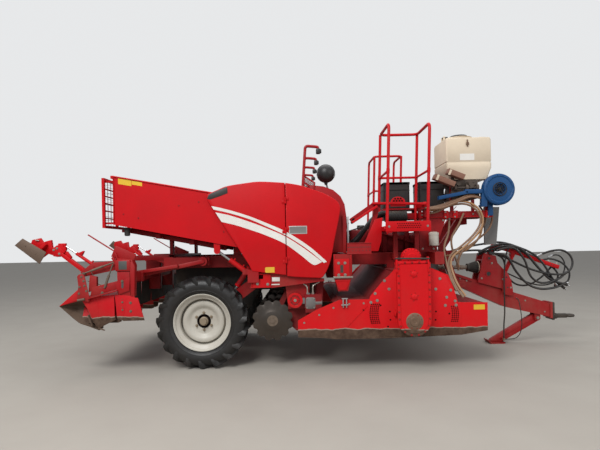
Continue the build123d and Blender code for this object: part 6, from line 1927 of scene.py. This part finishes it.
def buildRidgerHoods():
    work = bmesh.new()
    for way in (-1, 1):
        for outline, near, far in (("rearFlank", 1.45, 1.458), ("frontFlank", 1.452, 1.463),
                                   ("wing", 1.462, 1.474), ("tip", 1.448, 1.46)):
            addPlate(work, ridger[outline], *apart(way, near, far), "y", 0.002)
        # the fold of the rear flank
        addSideRod(work, way * 1.455, (-1.252, 0.985), (-1.25, 0.61), 0.006, 8)
        addPlate(work, ((-1.738, 0.88), (-1.5, 0.958), (-1.44, 0.985), (-1.44, 0.968), (-1.5, 0.942)),
                 *apart(way, 1.4, 1.452), "y", 0.002)
    faces = []
    low, high = ridger["formerX"]
    for row in ridger["rows"]:
        faces += addSheet(work, [(row + a, b) for a, b in ridger["former"]], low, high, "x")
    for normal in ((-0.38, 0, -0.925), (0.35, 0, -0.937)):
        edges = {edge for face in faces for edge in face.edges}
        verts = {vert for face in faces for vert in face.verts}
        bmesh.ops.bisect_plane(work, geom=[*faces, *edges, *verts], plane_co=(-1.253, 0, 0.566),
                               plane_no=normal, clear_outer=True)
        faces = [face for face in work.faces if isFormer(face)]
    finish(work, "ridgerFlanks", ridgerPaint, "ridger", replaces=("ridger_hoods",))
    work = bmesh.new()
    addBox(work, (-1.49, -0.975), (-ridger["side"] + 0.004, ridger["side"] - 0.004), (0.977, 0.985), 0.002)
    finish(work, "ridgerTop", redWornAndShaded, "ridger")
    work = bmesh.new()
    for way in (-1, 1):
        top, foot = smoothLine(ridger["boardTop"], 4), smoothLine(ridger["boardFoot"], 4)
        rows = []
        for k in range(9):
            t = k / 8
            row = []
            for i, (a, b) in enumerate(zip(top, foot)):
                y = way * (1.446 - 0.15 * math.sin(math.pi * t) * min(1, i / 6))
                row.append(work.verts.new((a[0] + (b[0] - a[0]) * t, y, a[1] + (b[1] - a[1]) * t)))
            rows.append(row)
        edges = [work.edges.new(pair) for row in rows for pair in zip(row, row[1:])]
        for k in range(8):
            pair = [edge for edge in edges if edge.verts[0] in rows[k] or edge.verts[0] in rows[k + 1]]
            bmesh.ops.bridge_loops(work, edges=pair)
    bmesh.ops.solidify(work, geom=work.faces[:], thickness=0.006)
    for way in (-1, 1):
        addSideBar(work, way * 1.456, (-1.372, 0.768), (-1.318, 0.628), 0.01, 0.05, 0.003)
        addPlate(work, ((-1.26, 0.61), (-1.238, 0.606), (-1.17, 0.572), (-1.178, 0.562), (-1.262, 0.59)),
                 *apart(way, 1.44, 1.452), "y", 0.002)
        addBolts(work, [(x, way * 1.461, z) for x, z in ((-1.36, 0.738), (-1.345, 0.698), (-1.332, 0.658))],
                 0.008, 0.006, (0, way, 0), False)
    finish(work, "mouldboards", earthSteel, "ridger", 50)


def buildCurtain():
    work = bmesh.new()
    for i in range(13):
        y0 = -1.33 + i * 0.2046
        y1 = y0 + 0.2035
        shift = 0.0035 * (i % 2)
        parts = [(-0.9585 + shift, z) for z in (1.16, 1.06, 0.96, 0.88, 0.802)]
        line = [(x + 0.003 * math.sin(z * 14 + i * 1.7), z) for x, z in parts]
        verts = [work.verts.new((x, y0 + 0.001, z)) for x, z in smoothLine(line, 3)]
        edges = [work.edges.new(pair) for pair in zip(verts, verts[1:])]
        for k in range(2):
            made = bmesh.ops.extrude_edge_only(work, edges=edges)["geom"]
            moved = pick(made, bmesh.types.BMVert)
            bmesh.ops.translate(work, vec=(0.002 * math.cos(i * 2.1 + k), (y1 - y0) / 2 - 0.001, 0),
                                verts=moved)
            drawn = pick(made, bmesh.types.BMEdge)
            edges = [edge for edge in drawn if all(vert in moved for vert in edge.verts)]
    bmesh.ops.solidify(work, geom=work.faces[:], thickness=0.004)
    finish(work, "rubberCurtain", blackRubber, "ridger", 50, replaces=("curtain",))
    work = bmesh.new()
    addBox(work, (-0.964, -0.941), (-1.328, 1.328), (1.12, 1.15), 0.002)
    addBolts(work, [(-0.941, -1.28 + i * 0.2133, 1.135) for i in range(13)], 0.008, 0.007, (1, 0, 0))
    finish(work, "curtainClamp", redWornAndShaded, "ridger")


buildRidgerFrame()
buildRidgerHoods()
buildCurtain()
print("ridger built")


# Blade arms with their cylinders

blade = {
    "y": 1.325, "pin": (-1.44, 1.29), "end": (-1.79, 1.565), "cylinderPin": (-1.33, 1.37),
    "eye": (-1.722, 1.65),
    "head": ((-1.816, 1.506), (-1.75, 1.506), (-1.692, 1.587), (-1.697, 1.672), (-1.79, 1.672),
             (-1.808, 1.612), (-1.868, 1.626), (-1.88, 1.718), (-1.96, 1.7), (-1.99, 1.62), (-1.93, 1.545)),
    "cheek": ((-1.79, 1.498), (-1.7, 1.56), (-1.745, 1.6), (-1.8, 1.65), (-1.87, 1.6), (-1.85, 1.51)),
    "holder": ((-2.15, 1.662), (-2.125, 1.725), (-2.02, 1.745), (-1.985, 1.69), (-1.905, 1.715),
               (-1.905, 1.56), (-1.99, 1.5), (-2.045, 1.47)),
    "edge": ((-2.29, 1.656), (-2.2, 1.742), (-1.905, 1.56), (-1.982, 1.416)),
}


def buildBladeArm(label, mirrored):
    body = "blade_arm_" + label.lower()
    near, far = -blade["y"] - 0.025, -blade["y"] + 0.025
    work = bmesh.new()
    (px, pz), (ex, ez) = blade["pin"], blade["end"]
    addSideBar(work, -blade["y"], (px, pz), (ex, ez), 0.048, 0.068, 0.006)
    addSpin(work, [(0.0155, -0.025), (0.044, -0.025), (0.044, 0.025), (0.0155, 0.025), (0.0155, -0.025)],
            (px, -blade["y"], pz), 32)
    addPlate(work, blade["head"], near + 0.004, far - 0.004, "y", 0.006)
    addPlate(work, blade["cheek"], near - 0.008, near + 0.006, "y", 0.003)
    addPlate(work, blade["cheek"], far - 0.006, far + 0.008, "y", 0.003)
    addPlate(work, blade["holder"], near + 0.01, far - 0.002, "y", 0.005)
    addPlate(work, ((-2.08, 1.56), (-1.93, 1.69), (-1.915, 1.66), (-2.06, 1.52)), near - 0.05, near + 0.012,
             "y", 0.003)
    x, z = blade["eye"]
    addPin(work, x, z, (near - 0.004, far + 0.004), 0.0098, 18)
    addSideBar(work, -blade["y"], (-1.64, 1.478), (-1.7, 1.56), 0.04, 0.04, 0.006)
    finish(work, "bladeArm" + label, redPaint, body, mirrored=mirrored, replaces=(body,))
    work = bmesh.new()
    addBolts(work, [(-1.772, near - 0.008, 1.54), (-1.842, near - 0.008, 1.59), (-1.8, near - 0.008, 1.61)],
             0.011, 0.01)
    addRod(work, (-2.03, near + 0.004, 1.712), (-2.075, near - 0.01, 1.722), 0.007, 12)
    finish(work, "bladeBolts" + label, boltSteel, body, mirrored=mirrored)
    # the blade: an earth-stained plate that leans across the arm, with two bolt holes
    work = bmesh.new()
    leans = (-0.104, -0.084, -0.084, -0.104)
    verts = [work.verts.new((x, -blade["y"] + lean, z)) for (x, z), lean in zip(blade["edge"], leans)]
    face = work.faces.new(verts)
    bmesh.ops.recalc_face_normals(work, faces=[face])
    bmesh.ops.solidify(work, geom=[face], thickness=0.012)
    bevelEdges(work, work.edges[:], 0.003)
    centre = sum((vert.co for vert in work.verts), Vector()) / len(work.verts)
    normal = max(work.faces, key=lambda each: each.calc_area()).normal.copy()
    if normal.y > 0:
        normal.negate()
    across = Vector((blade["edge"][3][0] - blade["edge"][0][0], 0,
                     blade["edge"][3][1] - blade["edge"][0][1])).normalized()
    turn = normal.to_track_quat("Z", "Y").to_matrix().to_4x4()
    for step in (-0.085, 0.075):
        middle = centre + across * step + normal * 0.0065
        bmesh.ops.create_cone(work, cap_ends=True, segments=16, radius1=0.015, radius2=0.011, depth=0.006,
                              matrix=Matrix.Translation(middle) @ turn)
    finish(work, "bladePlate" + label, earthSteel, body, mirrored=mirrored)


def cylinderEnds(start, end, distances):
    first, last = Vector((start[0], 0, start[1])), Vector((end[0], 0, end[1]))
    way = (last - first).normalized()
    return [first + way * distance for distance in distances], way


def buildCylinder(name, kind, start, end, y, radius, stemRadius, reach, eyes, label, mirrored):
    # a red barrel with a gland and ports, a bright rod and an eye at either end
    barrel, rod = f"{kind}_barrel_{label.lower()}", f"{kind}_rod_{label.lower()}"
    length = math.dist(start, end)
    places, way = cylinderEnds(start, end,
                               (0.0, reach, reach - 0.03, reach + 0.002, length - eyes * 0.6, 0.045, 0.02))
    places = [Vector((p.x, -y, p.z)) for p in places]
    work = bmesh.new()
    addRod(work, places[6], places[2], radius * 0.94, 28)
    addRod(work, places[2], places[1], radius, 28)
    addRod(work, places[6] - way * 0.004, places[6] + way * 0.016, radius, 28)
    addSpin(work,
            [(eyes * 0.62, -0.017), (eyes, -0.017), (eyes, 0.017), (eyes * 0.62, 0.017),
             (eyes * 0.62, -0.017)], tuple(places[0]), 28)
    up = Vector((way.z, 0, -way.x)) * (1 if way.x < 0 else -1)
    for along in (0.06, reach - 0.05):
        place = places[0] + way * along
        addRod(work, place, place + up * (radius + 0.012), 0.009, 12)
        addRod(work, place + up * (radius + 0.012), place + up * (radius + 0.022), 0.012, 6)
    finish(work, name + "Barrel" + label, redPaint, barrel, mirrored=mirrored, replaces=(barrel,))
    work = bmesh.new()
    addRod(work, places[5], places[4], stemRadius, 24)
    eye = Vector((end[0], -y, end[1]))
    addSpin(work,
            [(eyes * 0.62, -0.0125), (eyes * 0.98, -0.0125), (eyes * 0.98, 0.0125), (eyes * 0.62, 0.0125),
             (eyes * 0.62, -0.0125)], tuple(eye), 28)
    finish(work, name + "Rod" + label, brightSteel, rod, mirrored=mirrored, replaces=(rod,))


def buildArms():
    for label, mirrored in sides:
        buildBladeArm(label, mirrored)
        buildCylinder("bladeCylinder", "blade", blade["cylinderPin"], blade["eye"], blade["y"], 0.022,
                      0.0098, 0.29, 0.022, label, mirrored)
        buildCylinder("tipCylinder", "tip", (0.58, 1.262), (0.225, 1.532), 1.235, 0.036, 0.0185, 0.25,
                      0.032, label, mirrored)
        # the stop plate on the blade cylinder's barrel
        work = bmesh.new()
        (a, b), way = cylinderEnds(blade["cylinderPin"], blade["eye"], (0.215, 0.275))
        up = Vector((way.z, 0, -way.x))
        corners = [(a + up * 0.016), (b + up * 0.016), ((a + b) / 2 + up * 0.08 - way * 0.01),
                   ((a + b) / 2 + up * 0.08 - way * 0.022)]
        addPlate(work, [(p.x, p.z) for p in corners], -blade["y"] - 0.02, -blade["y"] + 0.02, "y", 0.003)
        finish(work, "bladeStop" + label, redPaint, "blade_barrel_" + label.lower(), mirrored=mirrored)


buildArms()
print("blade arms built")


# Closing discs: notched, dished, on one shaft at each side

discs = {
    "x": 0.925, "z": 0.622, "radius": 0.265, "offset": 0.165, "notches": 12, "notch": 0.03,
    "rings": ((0.262, 0.006), (0.215, -0.0005), (0.165, -0.008), (0.124, -0.0165), (0.112, -0.0215)),
}


def addDisc(work, y, way):
    x, z = discs["x"], discs["z"]
    loops = []
    for radius, bulge in discs["rings"]:
        turn = Matrix.Translation((x, y + way * bulge, z)) @ Matrix.Rotation(math.radians(90), 4, "X")
        made = bmesh.ops.create_circle(work, cap_ends=False, segments=120, radius=radius,
                                       matrix=turn)["verts"]
        loops.append(made)
    for vert in loops[0]:
        angle = math.atan2(vert.co.z - z, vert.co.x - x)
        step = 2 * math.pi / discs["notches"]
        across = abs((angle + step / 2) % step - step / 2) * discs["radius"]
        if across < discs["notch"]:
            depth = math.sqrt(discs["notch"] ** 2 - across ** 2)
            shrink = (discs["radius"] - depth) / discs["radius"]
            vert.co.x, vert.co.z = x + (vert.co.x - x) * shrink, z + (vert.co.z - z) * shrink
    for outer, inner in zip(loops, loops[1:]):
        edges = {edge for vert in (*outer, *inner) for edge in vert.link_edges
                 if edge.other_vert(vert) in (outer if vert in outer else inner)}
        bmesh.ops.bridge_loops(work, edges=list(edges))
    work.faces.new(loops[-1])


def buildDiscs():
    for label, rows in (("right", (-1.125, -0.375)), ("left", (0.375, 1.125))):
        work = bmesh.new()
        for row in rows:
            addDisc(work, row - discs["offset"], 1)
            addDisc(work, row + discs["offset"], -1)
        bmesh.ops.solidify(work, geom=work.faces[:], thickness=0.0055)
        finish(work, "closingDiscs" + label.capitalize(), discSteel, "discs_" + label, 40,
               replaces=("discs_" + label,))
        work = bmesh.new()
        x, z = discs["x"], discs["z"]
        low, high = rows[0] - discs["offset"] - 0.038, rows[1] + discs["offset"] + 0.038
        addPin(work, x, z, (low, high), 0.0245, 24)
        for row in rows:
            for way in (-1, 1):
                y = row + way * discs["offset"]
                addPin(work, x, z, (y + way * 0.02, y + way * 0.027), 0.07, 28)
                for i in range(5):
                    angle = 2 * math.pi * i / 5
                    place = around((x, y + way * 0.027, z), 0.052, angle)
                    addBolts(work, [place], 0.008, 0.007, (0, way, 0), False)
                addPin(work, x, z, (y + way * 0.027, y + way * 0.036), 0.034, 6)
        finish(work, "discShaft" + label.capitalize(), linkSteel, "discs_" + label)


buildDiscs()
print("discs built")


# Drives of the row units, chassis brackets and cylinders of the wheel arms

drive = {
    "hub": (1.22, -1.33, 0.88), "motorY": -1.286, "motorFace": -1.338, "bracketFace": -1.302,
    "bracket": ((0.664, 0.735, 1.06, 1.236), (0.815, 0.912, 1.06, 1.224), (0.735, 0.815, 1.215, 1.232),
                (0.735, 0.815, 1.06, 1.16)),
    "cylinderY": -0.905, "armPivot": (0.69, 1.105), "armFace": -0.951,
}


def buildDrives():
    (hx, hy, hz), motorY, face = drive["hub"], drive["motorY"], drive["bracketFace"]
    (ax, az), armFace = drive["armPivot"], drive["armFace"]
    for label, mirrored in sides:
        work = bmesh.new()
        addSpin(work,
                [(0.0001, -0.006), (0.03, -0.006), (0.034, -0.001), (0.062, 0.002), (0.07, -0.004),
                 (0.097, -0.004), (0.097, 0.03)], drive["hub"], 40)
        middle = (hx, hy - 0.001, hz)
        for i in range(6):
            angle = math.radians(60 * i + 15)
            addBar(work, around(middle, 0.034, angle), around(middle, 0.072, angle), 0.008, 0.01)
        finish(work, "driveHub" + label, redPaint, mirrored=mirrored)
        work = bmesh.new()
        addBox(work, (1.345, 1.49), (drive["motorFace"], -1.236), (0.755, 0.925), 0.03)
        addSideRod(work, motorY, (1.48, 0.84), (1.565, 0.84), 0.048, 28)
        addSideRod(work, motorY, (1.395, 0.92), (1.395, 0.965), 0.022, 18)
        addBox(work, (1.292, 1.35), (-1.325, -1.246), (0.83, 0.905), 0.01)
        finish(work, "driveMotor" + label, greyPaint, mirrored=mirrored)
        work = bmesh.new()
        for x in (1.38, 1.45):
            addSideRod(work, motorY, (x, 0.925), (x, 1.0), 0.011, 14)
            addSideRod(work, motorY, (x, 0.95), (x, 0.972), 0.017, 6)
        addPipe(work, [(1.38, motorY, 0.99), (1.38, motorY, 1.05), (1.3, -1.25, 1.11)], 0.009, 0.03, 12)
        addPipe(work, [(1.45, motorY, 0.99), (1.45, motorY, 1.06), (1.54, -1.24, 1.105)], 0.009, 0.03, 12)
        addBolts(work, [(x, drive["motorFace"], z) for x in (1.372, 1.462) for z in (0.782, 0.898)], 0.008,
                 0.007)
        addBolts(work, [(hx, -1.336, hz)], 0.014, 0.01)
        finish(work, "driveFittings" + label, boltSteel, mirrored=mirrored)
        # bracket under the hood: a plate about the square tube, its bolts and two blank plates
        work = bmesh.new()
        for x0, x1, z0, z1 in drive["bracket"]:
            addBox(work, (x0, x1), (face - 0.006, face), (z0, z1))
        for x in (0.664, 0.9):
            addBox(work, (x, x + 0.01), (face - 0.016, face), (1.056, 1.222), 0.002)
        addBox(work, (0.658, 0.918), (face - 0.016, face), (1.05, 1.06), 0.002)
        finish(work, "hoodBracket" + label, redPaint, mirrored=mirrored)
        work = bmesh.new()
        addBolts(work, [(0.741, face - 0.006, 1.098), (0.872, face - 0.006, 1.092)], 0.013, 0.011)
        finish(work, "hoodBracketBolts" + label, boltSteel, mirrored=mirrored)
        work = bmesh.new()
        addBox(work, (0.928, 1.028), (face - 0.0018, face), (1.126, 1.18), 0.0006)
        addBox(work, (0.92, 1.026), (face - 0.0018, face), (1.08, 1.094), 0.0006)
        finish(work, "framePlates" + label, labelWhite, mirrored=mirrored)
        # wheel arm: depth cylinder and joint caps
        work = bmesh.new()
        addSideRod(work, drive["cylinderY"], (0.346, 0.927), (0.434, 1.057), 0.0212, 24)
        finish(work, "depthRod" + label, brightSteel, mirrored=mirrored)
        work = bmesh.new()
        addSideRod(work, drive["cylinderY"], (0.426, 1.044), (0.442, 1.069), 0.0415, 28)
        addSideRod(work, drive["cylinderY"], (0.582, 1.276), (0.6, 1.302), 0.0395, 28)
        addPin(work, ax, az, (armFace, -0.941), 0.06, 28)
        addBox(work, (0.1, 0.19), (-0.943, -0.936), (0.65, 0.73), 0.003)
        finish(work, "armCaps" + label, redPaint, mirrored=mirrored)
        work = bmesh.new()
        addBolts(work, [(ax, armFace, az)], 0.018, 0.012)
        finish(work, "armBolts" + label, boltSteel, mirrored=mirrored)


def buildApplicatorDetails():
    work = bmesh.new()
    addBox(work, (2.96, 3.97), (-0.856, -0.85), (1.926, 1.934), 0.002)
    addBox(work, (2.96, 3.97), (-0.856, -0.85), (2.001, 2.0095), 0.002)
    addBox(work, (3.964, 3.974), (-0.856, -0.764), (1.924, 2.011), 0.003)
    for x in (3.3, 3.43, 3.88):
        addBox(work, (x - 0.01, x + 0.06), (-0.862, -0.846), (1.915, 2.02), 0.004)
    for x in (3.405, 3.895):
        addSideBar(work, -0.824, (x + 0.02, 2.02), (x + 0.075, 2.08), 0.006, 0.02, 0.001)
    finish(work, "applicatorTrim", redPaint)
    work = bmesh.new()
    for x in (3.315, 3.445, 3.905):
        addBolts(work, [(x, -0.862, z) for z in (1.935, 2.0)], 0.008, 0.008)
    for x in (2.505, 2.995, 3.7):
        addBolts(work, [(x, -0.856 if x > 2.9 else -0.7, 1.968)], 0.009, 0.008)
    finish(work, "applicatorBolts", boltSteel)
    # cream hopper post and the filter on the side of the drive
    work = bmesh.new()
    addSpin(work,
            [(0.0001, 0.0), (0.05, 0.0), (0.064, 0.012), (0.064, 0.15), (0.068, 0.152), (0.068, 0.18),
             (0.04, 0.196), (0.0001, 0.198)], (3.135, -0.905, 1.536), 32, axis="z")
    addBox(work, (3.1, 3.17), (-0.9, -0.832), (1.64, 1.7), 0.004)
    finish(work, "oilFilter", creamPaint)
    work = bmesh.new()
    addBolts(work, [(x, -0.83, z) for x, z in ((3.0, 1.89), (3.29, 1.89), (3.0, 1.5), (3.15, 1.5))], 0.01,
             0.009)
    finish(work, "shieldBolts", boltSteel)


buildDrives()
buildApplicatorDetails()
print("drives and brackets built")


# Camera, floor and light

camera = {
    "place": (1.297 - axleToMiddle, -7.245, 1.575),
    "lens": 27.72,
    "roll": -1.2,
    "shift": 0.035,
}


def setCamera(facts):
    data = bpy.data.cameras.new("camera")
    data.lens = facts["lens"]
    data.sensor_width = 36.0
    data.shift_y = facts["shift"]
    data.clip_end = 200.0
    made = bpy.data.objects.new("camera", data)
    bpy.context.scene.collection.objects.link(made)
    roll = Matrix.Rotation(math.radians(facts["roll"]), 4, "Z")
    upright = Matrix.Rotation(math.radians(90), 4, "X") @ roll
    made.matrix_world = Matrix.Translation(facts["place"]) @ upright
    bpy.context.scene.camera = made


def setFloor():
    work = bmesh.new()
    bmesh.ops.create_grid(work, x_segments=2, y_segments=2, size=60.0)
    data = bpy.data.meshes.new("floor")
    work.to_mesh(data)
    work.free()
    floor = bpy.data.objects.new("floor", data)
    bpy.context.scene.collection.objects.link(floor)
    pale = bpy.data.materials.new("floorPale")
    pale.use_nodes = True
    tree = pale.node_tree
    shader = tree.nodes["Principled BSDF"]
    coords = node(tree, "ShaderNodeTexCoord").outputs["Object"]
    tone = mixColour(tree, noise(tree, coords, 1.5, 4.0), (0.3, 0.275, 0.24, 1), (0.35, 0.325, 0.285, 1))
    tree.links.new(tone, shader.inputs["Base Color"])
    shader.inputs["Roughness"].default_value = 0.9
    data.materials.append(pale)


def setLights():
    world = bpy.data.worlds.new("studio")
    bpy.context.scene.world = world
    world.use_nodes = True
    tree = world.node_tree
    tree.nodes.clear()
    out = node(tree, "ShaderNodeOutputWorld")
    light = node(tree, "ShaderNodeBackground")
    light.inputs["Color"].default_value = (0.92, 0.95, 1.0, 1)
    light.inputs["Strength"].default_value = 0.55
    seen = node(tree, "ShaderNodeBackground")
    seen.inputs["Color"].default_value = (0.8, 0.81, 0.82, 1)
    seen.inputs["Strength"].default_value = 1.0
    path = node(tree, "ShaderNodeLightPath")
    mixed = node(tree, "ShaderNodeMixShader")
    tree.links.new(path.outputs["Is Camera Ray"], mixed.inputs[0])
    tree.links.new(light.outputs[0], mixed.inputs[1])
    tree.links.new(seen.outputs[0], mixed.inputs[2])
    tree.links.new(mixed.outputs[0], out.inputs[0])
    for name, place, turn, size, power in (
        ("key", (-4.0, -9.0, 9.0), (42, 0, -25), 5.0, 1150.0),
        ("fill", (8.0, -6.0, 5.0), (62, 0, 50), 7.0, 260.0),
        ("top", (0.0, 2.0, 10.0), (0, 0, 0), 10.0, 500.0),
    ):
        data = bpy.data.lights.new(name, "AREA")
        data.size = size
        data.energy = power
        lamp = bpy.data.objects.new(name, data)
        bpy.context.scene.collection.objects.link(lamp)
        lamp.location = place
        lamp.rotation_euler = [math.radians(v) for v in turn]


setCamera(camera)
setFloor()
setLights()
bpy.context.scene.view_settings.view_transform = "Standard"
print("camera and light set")
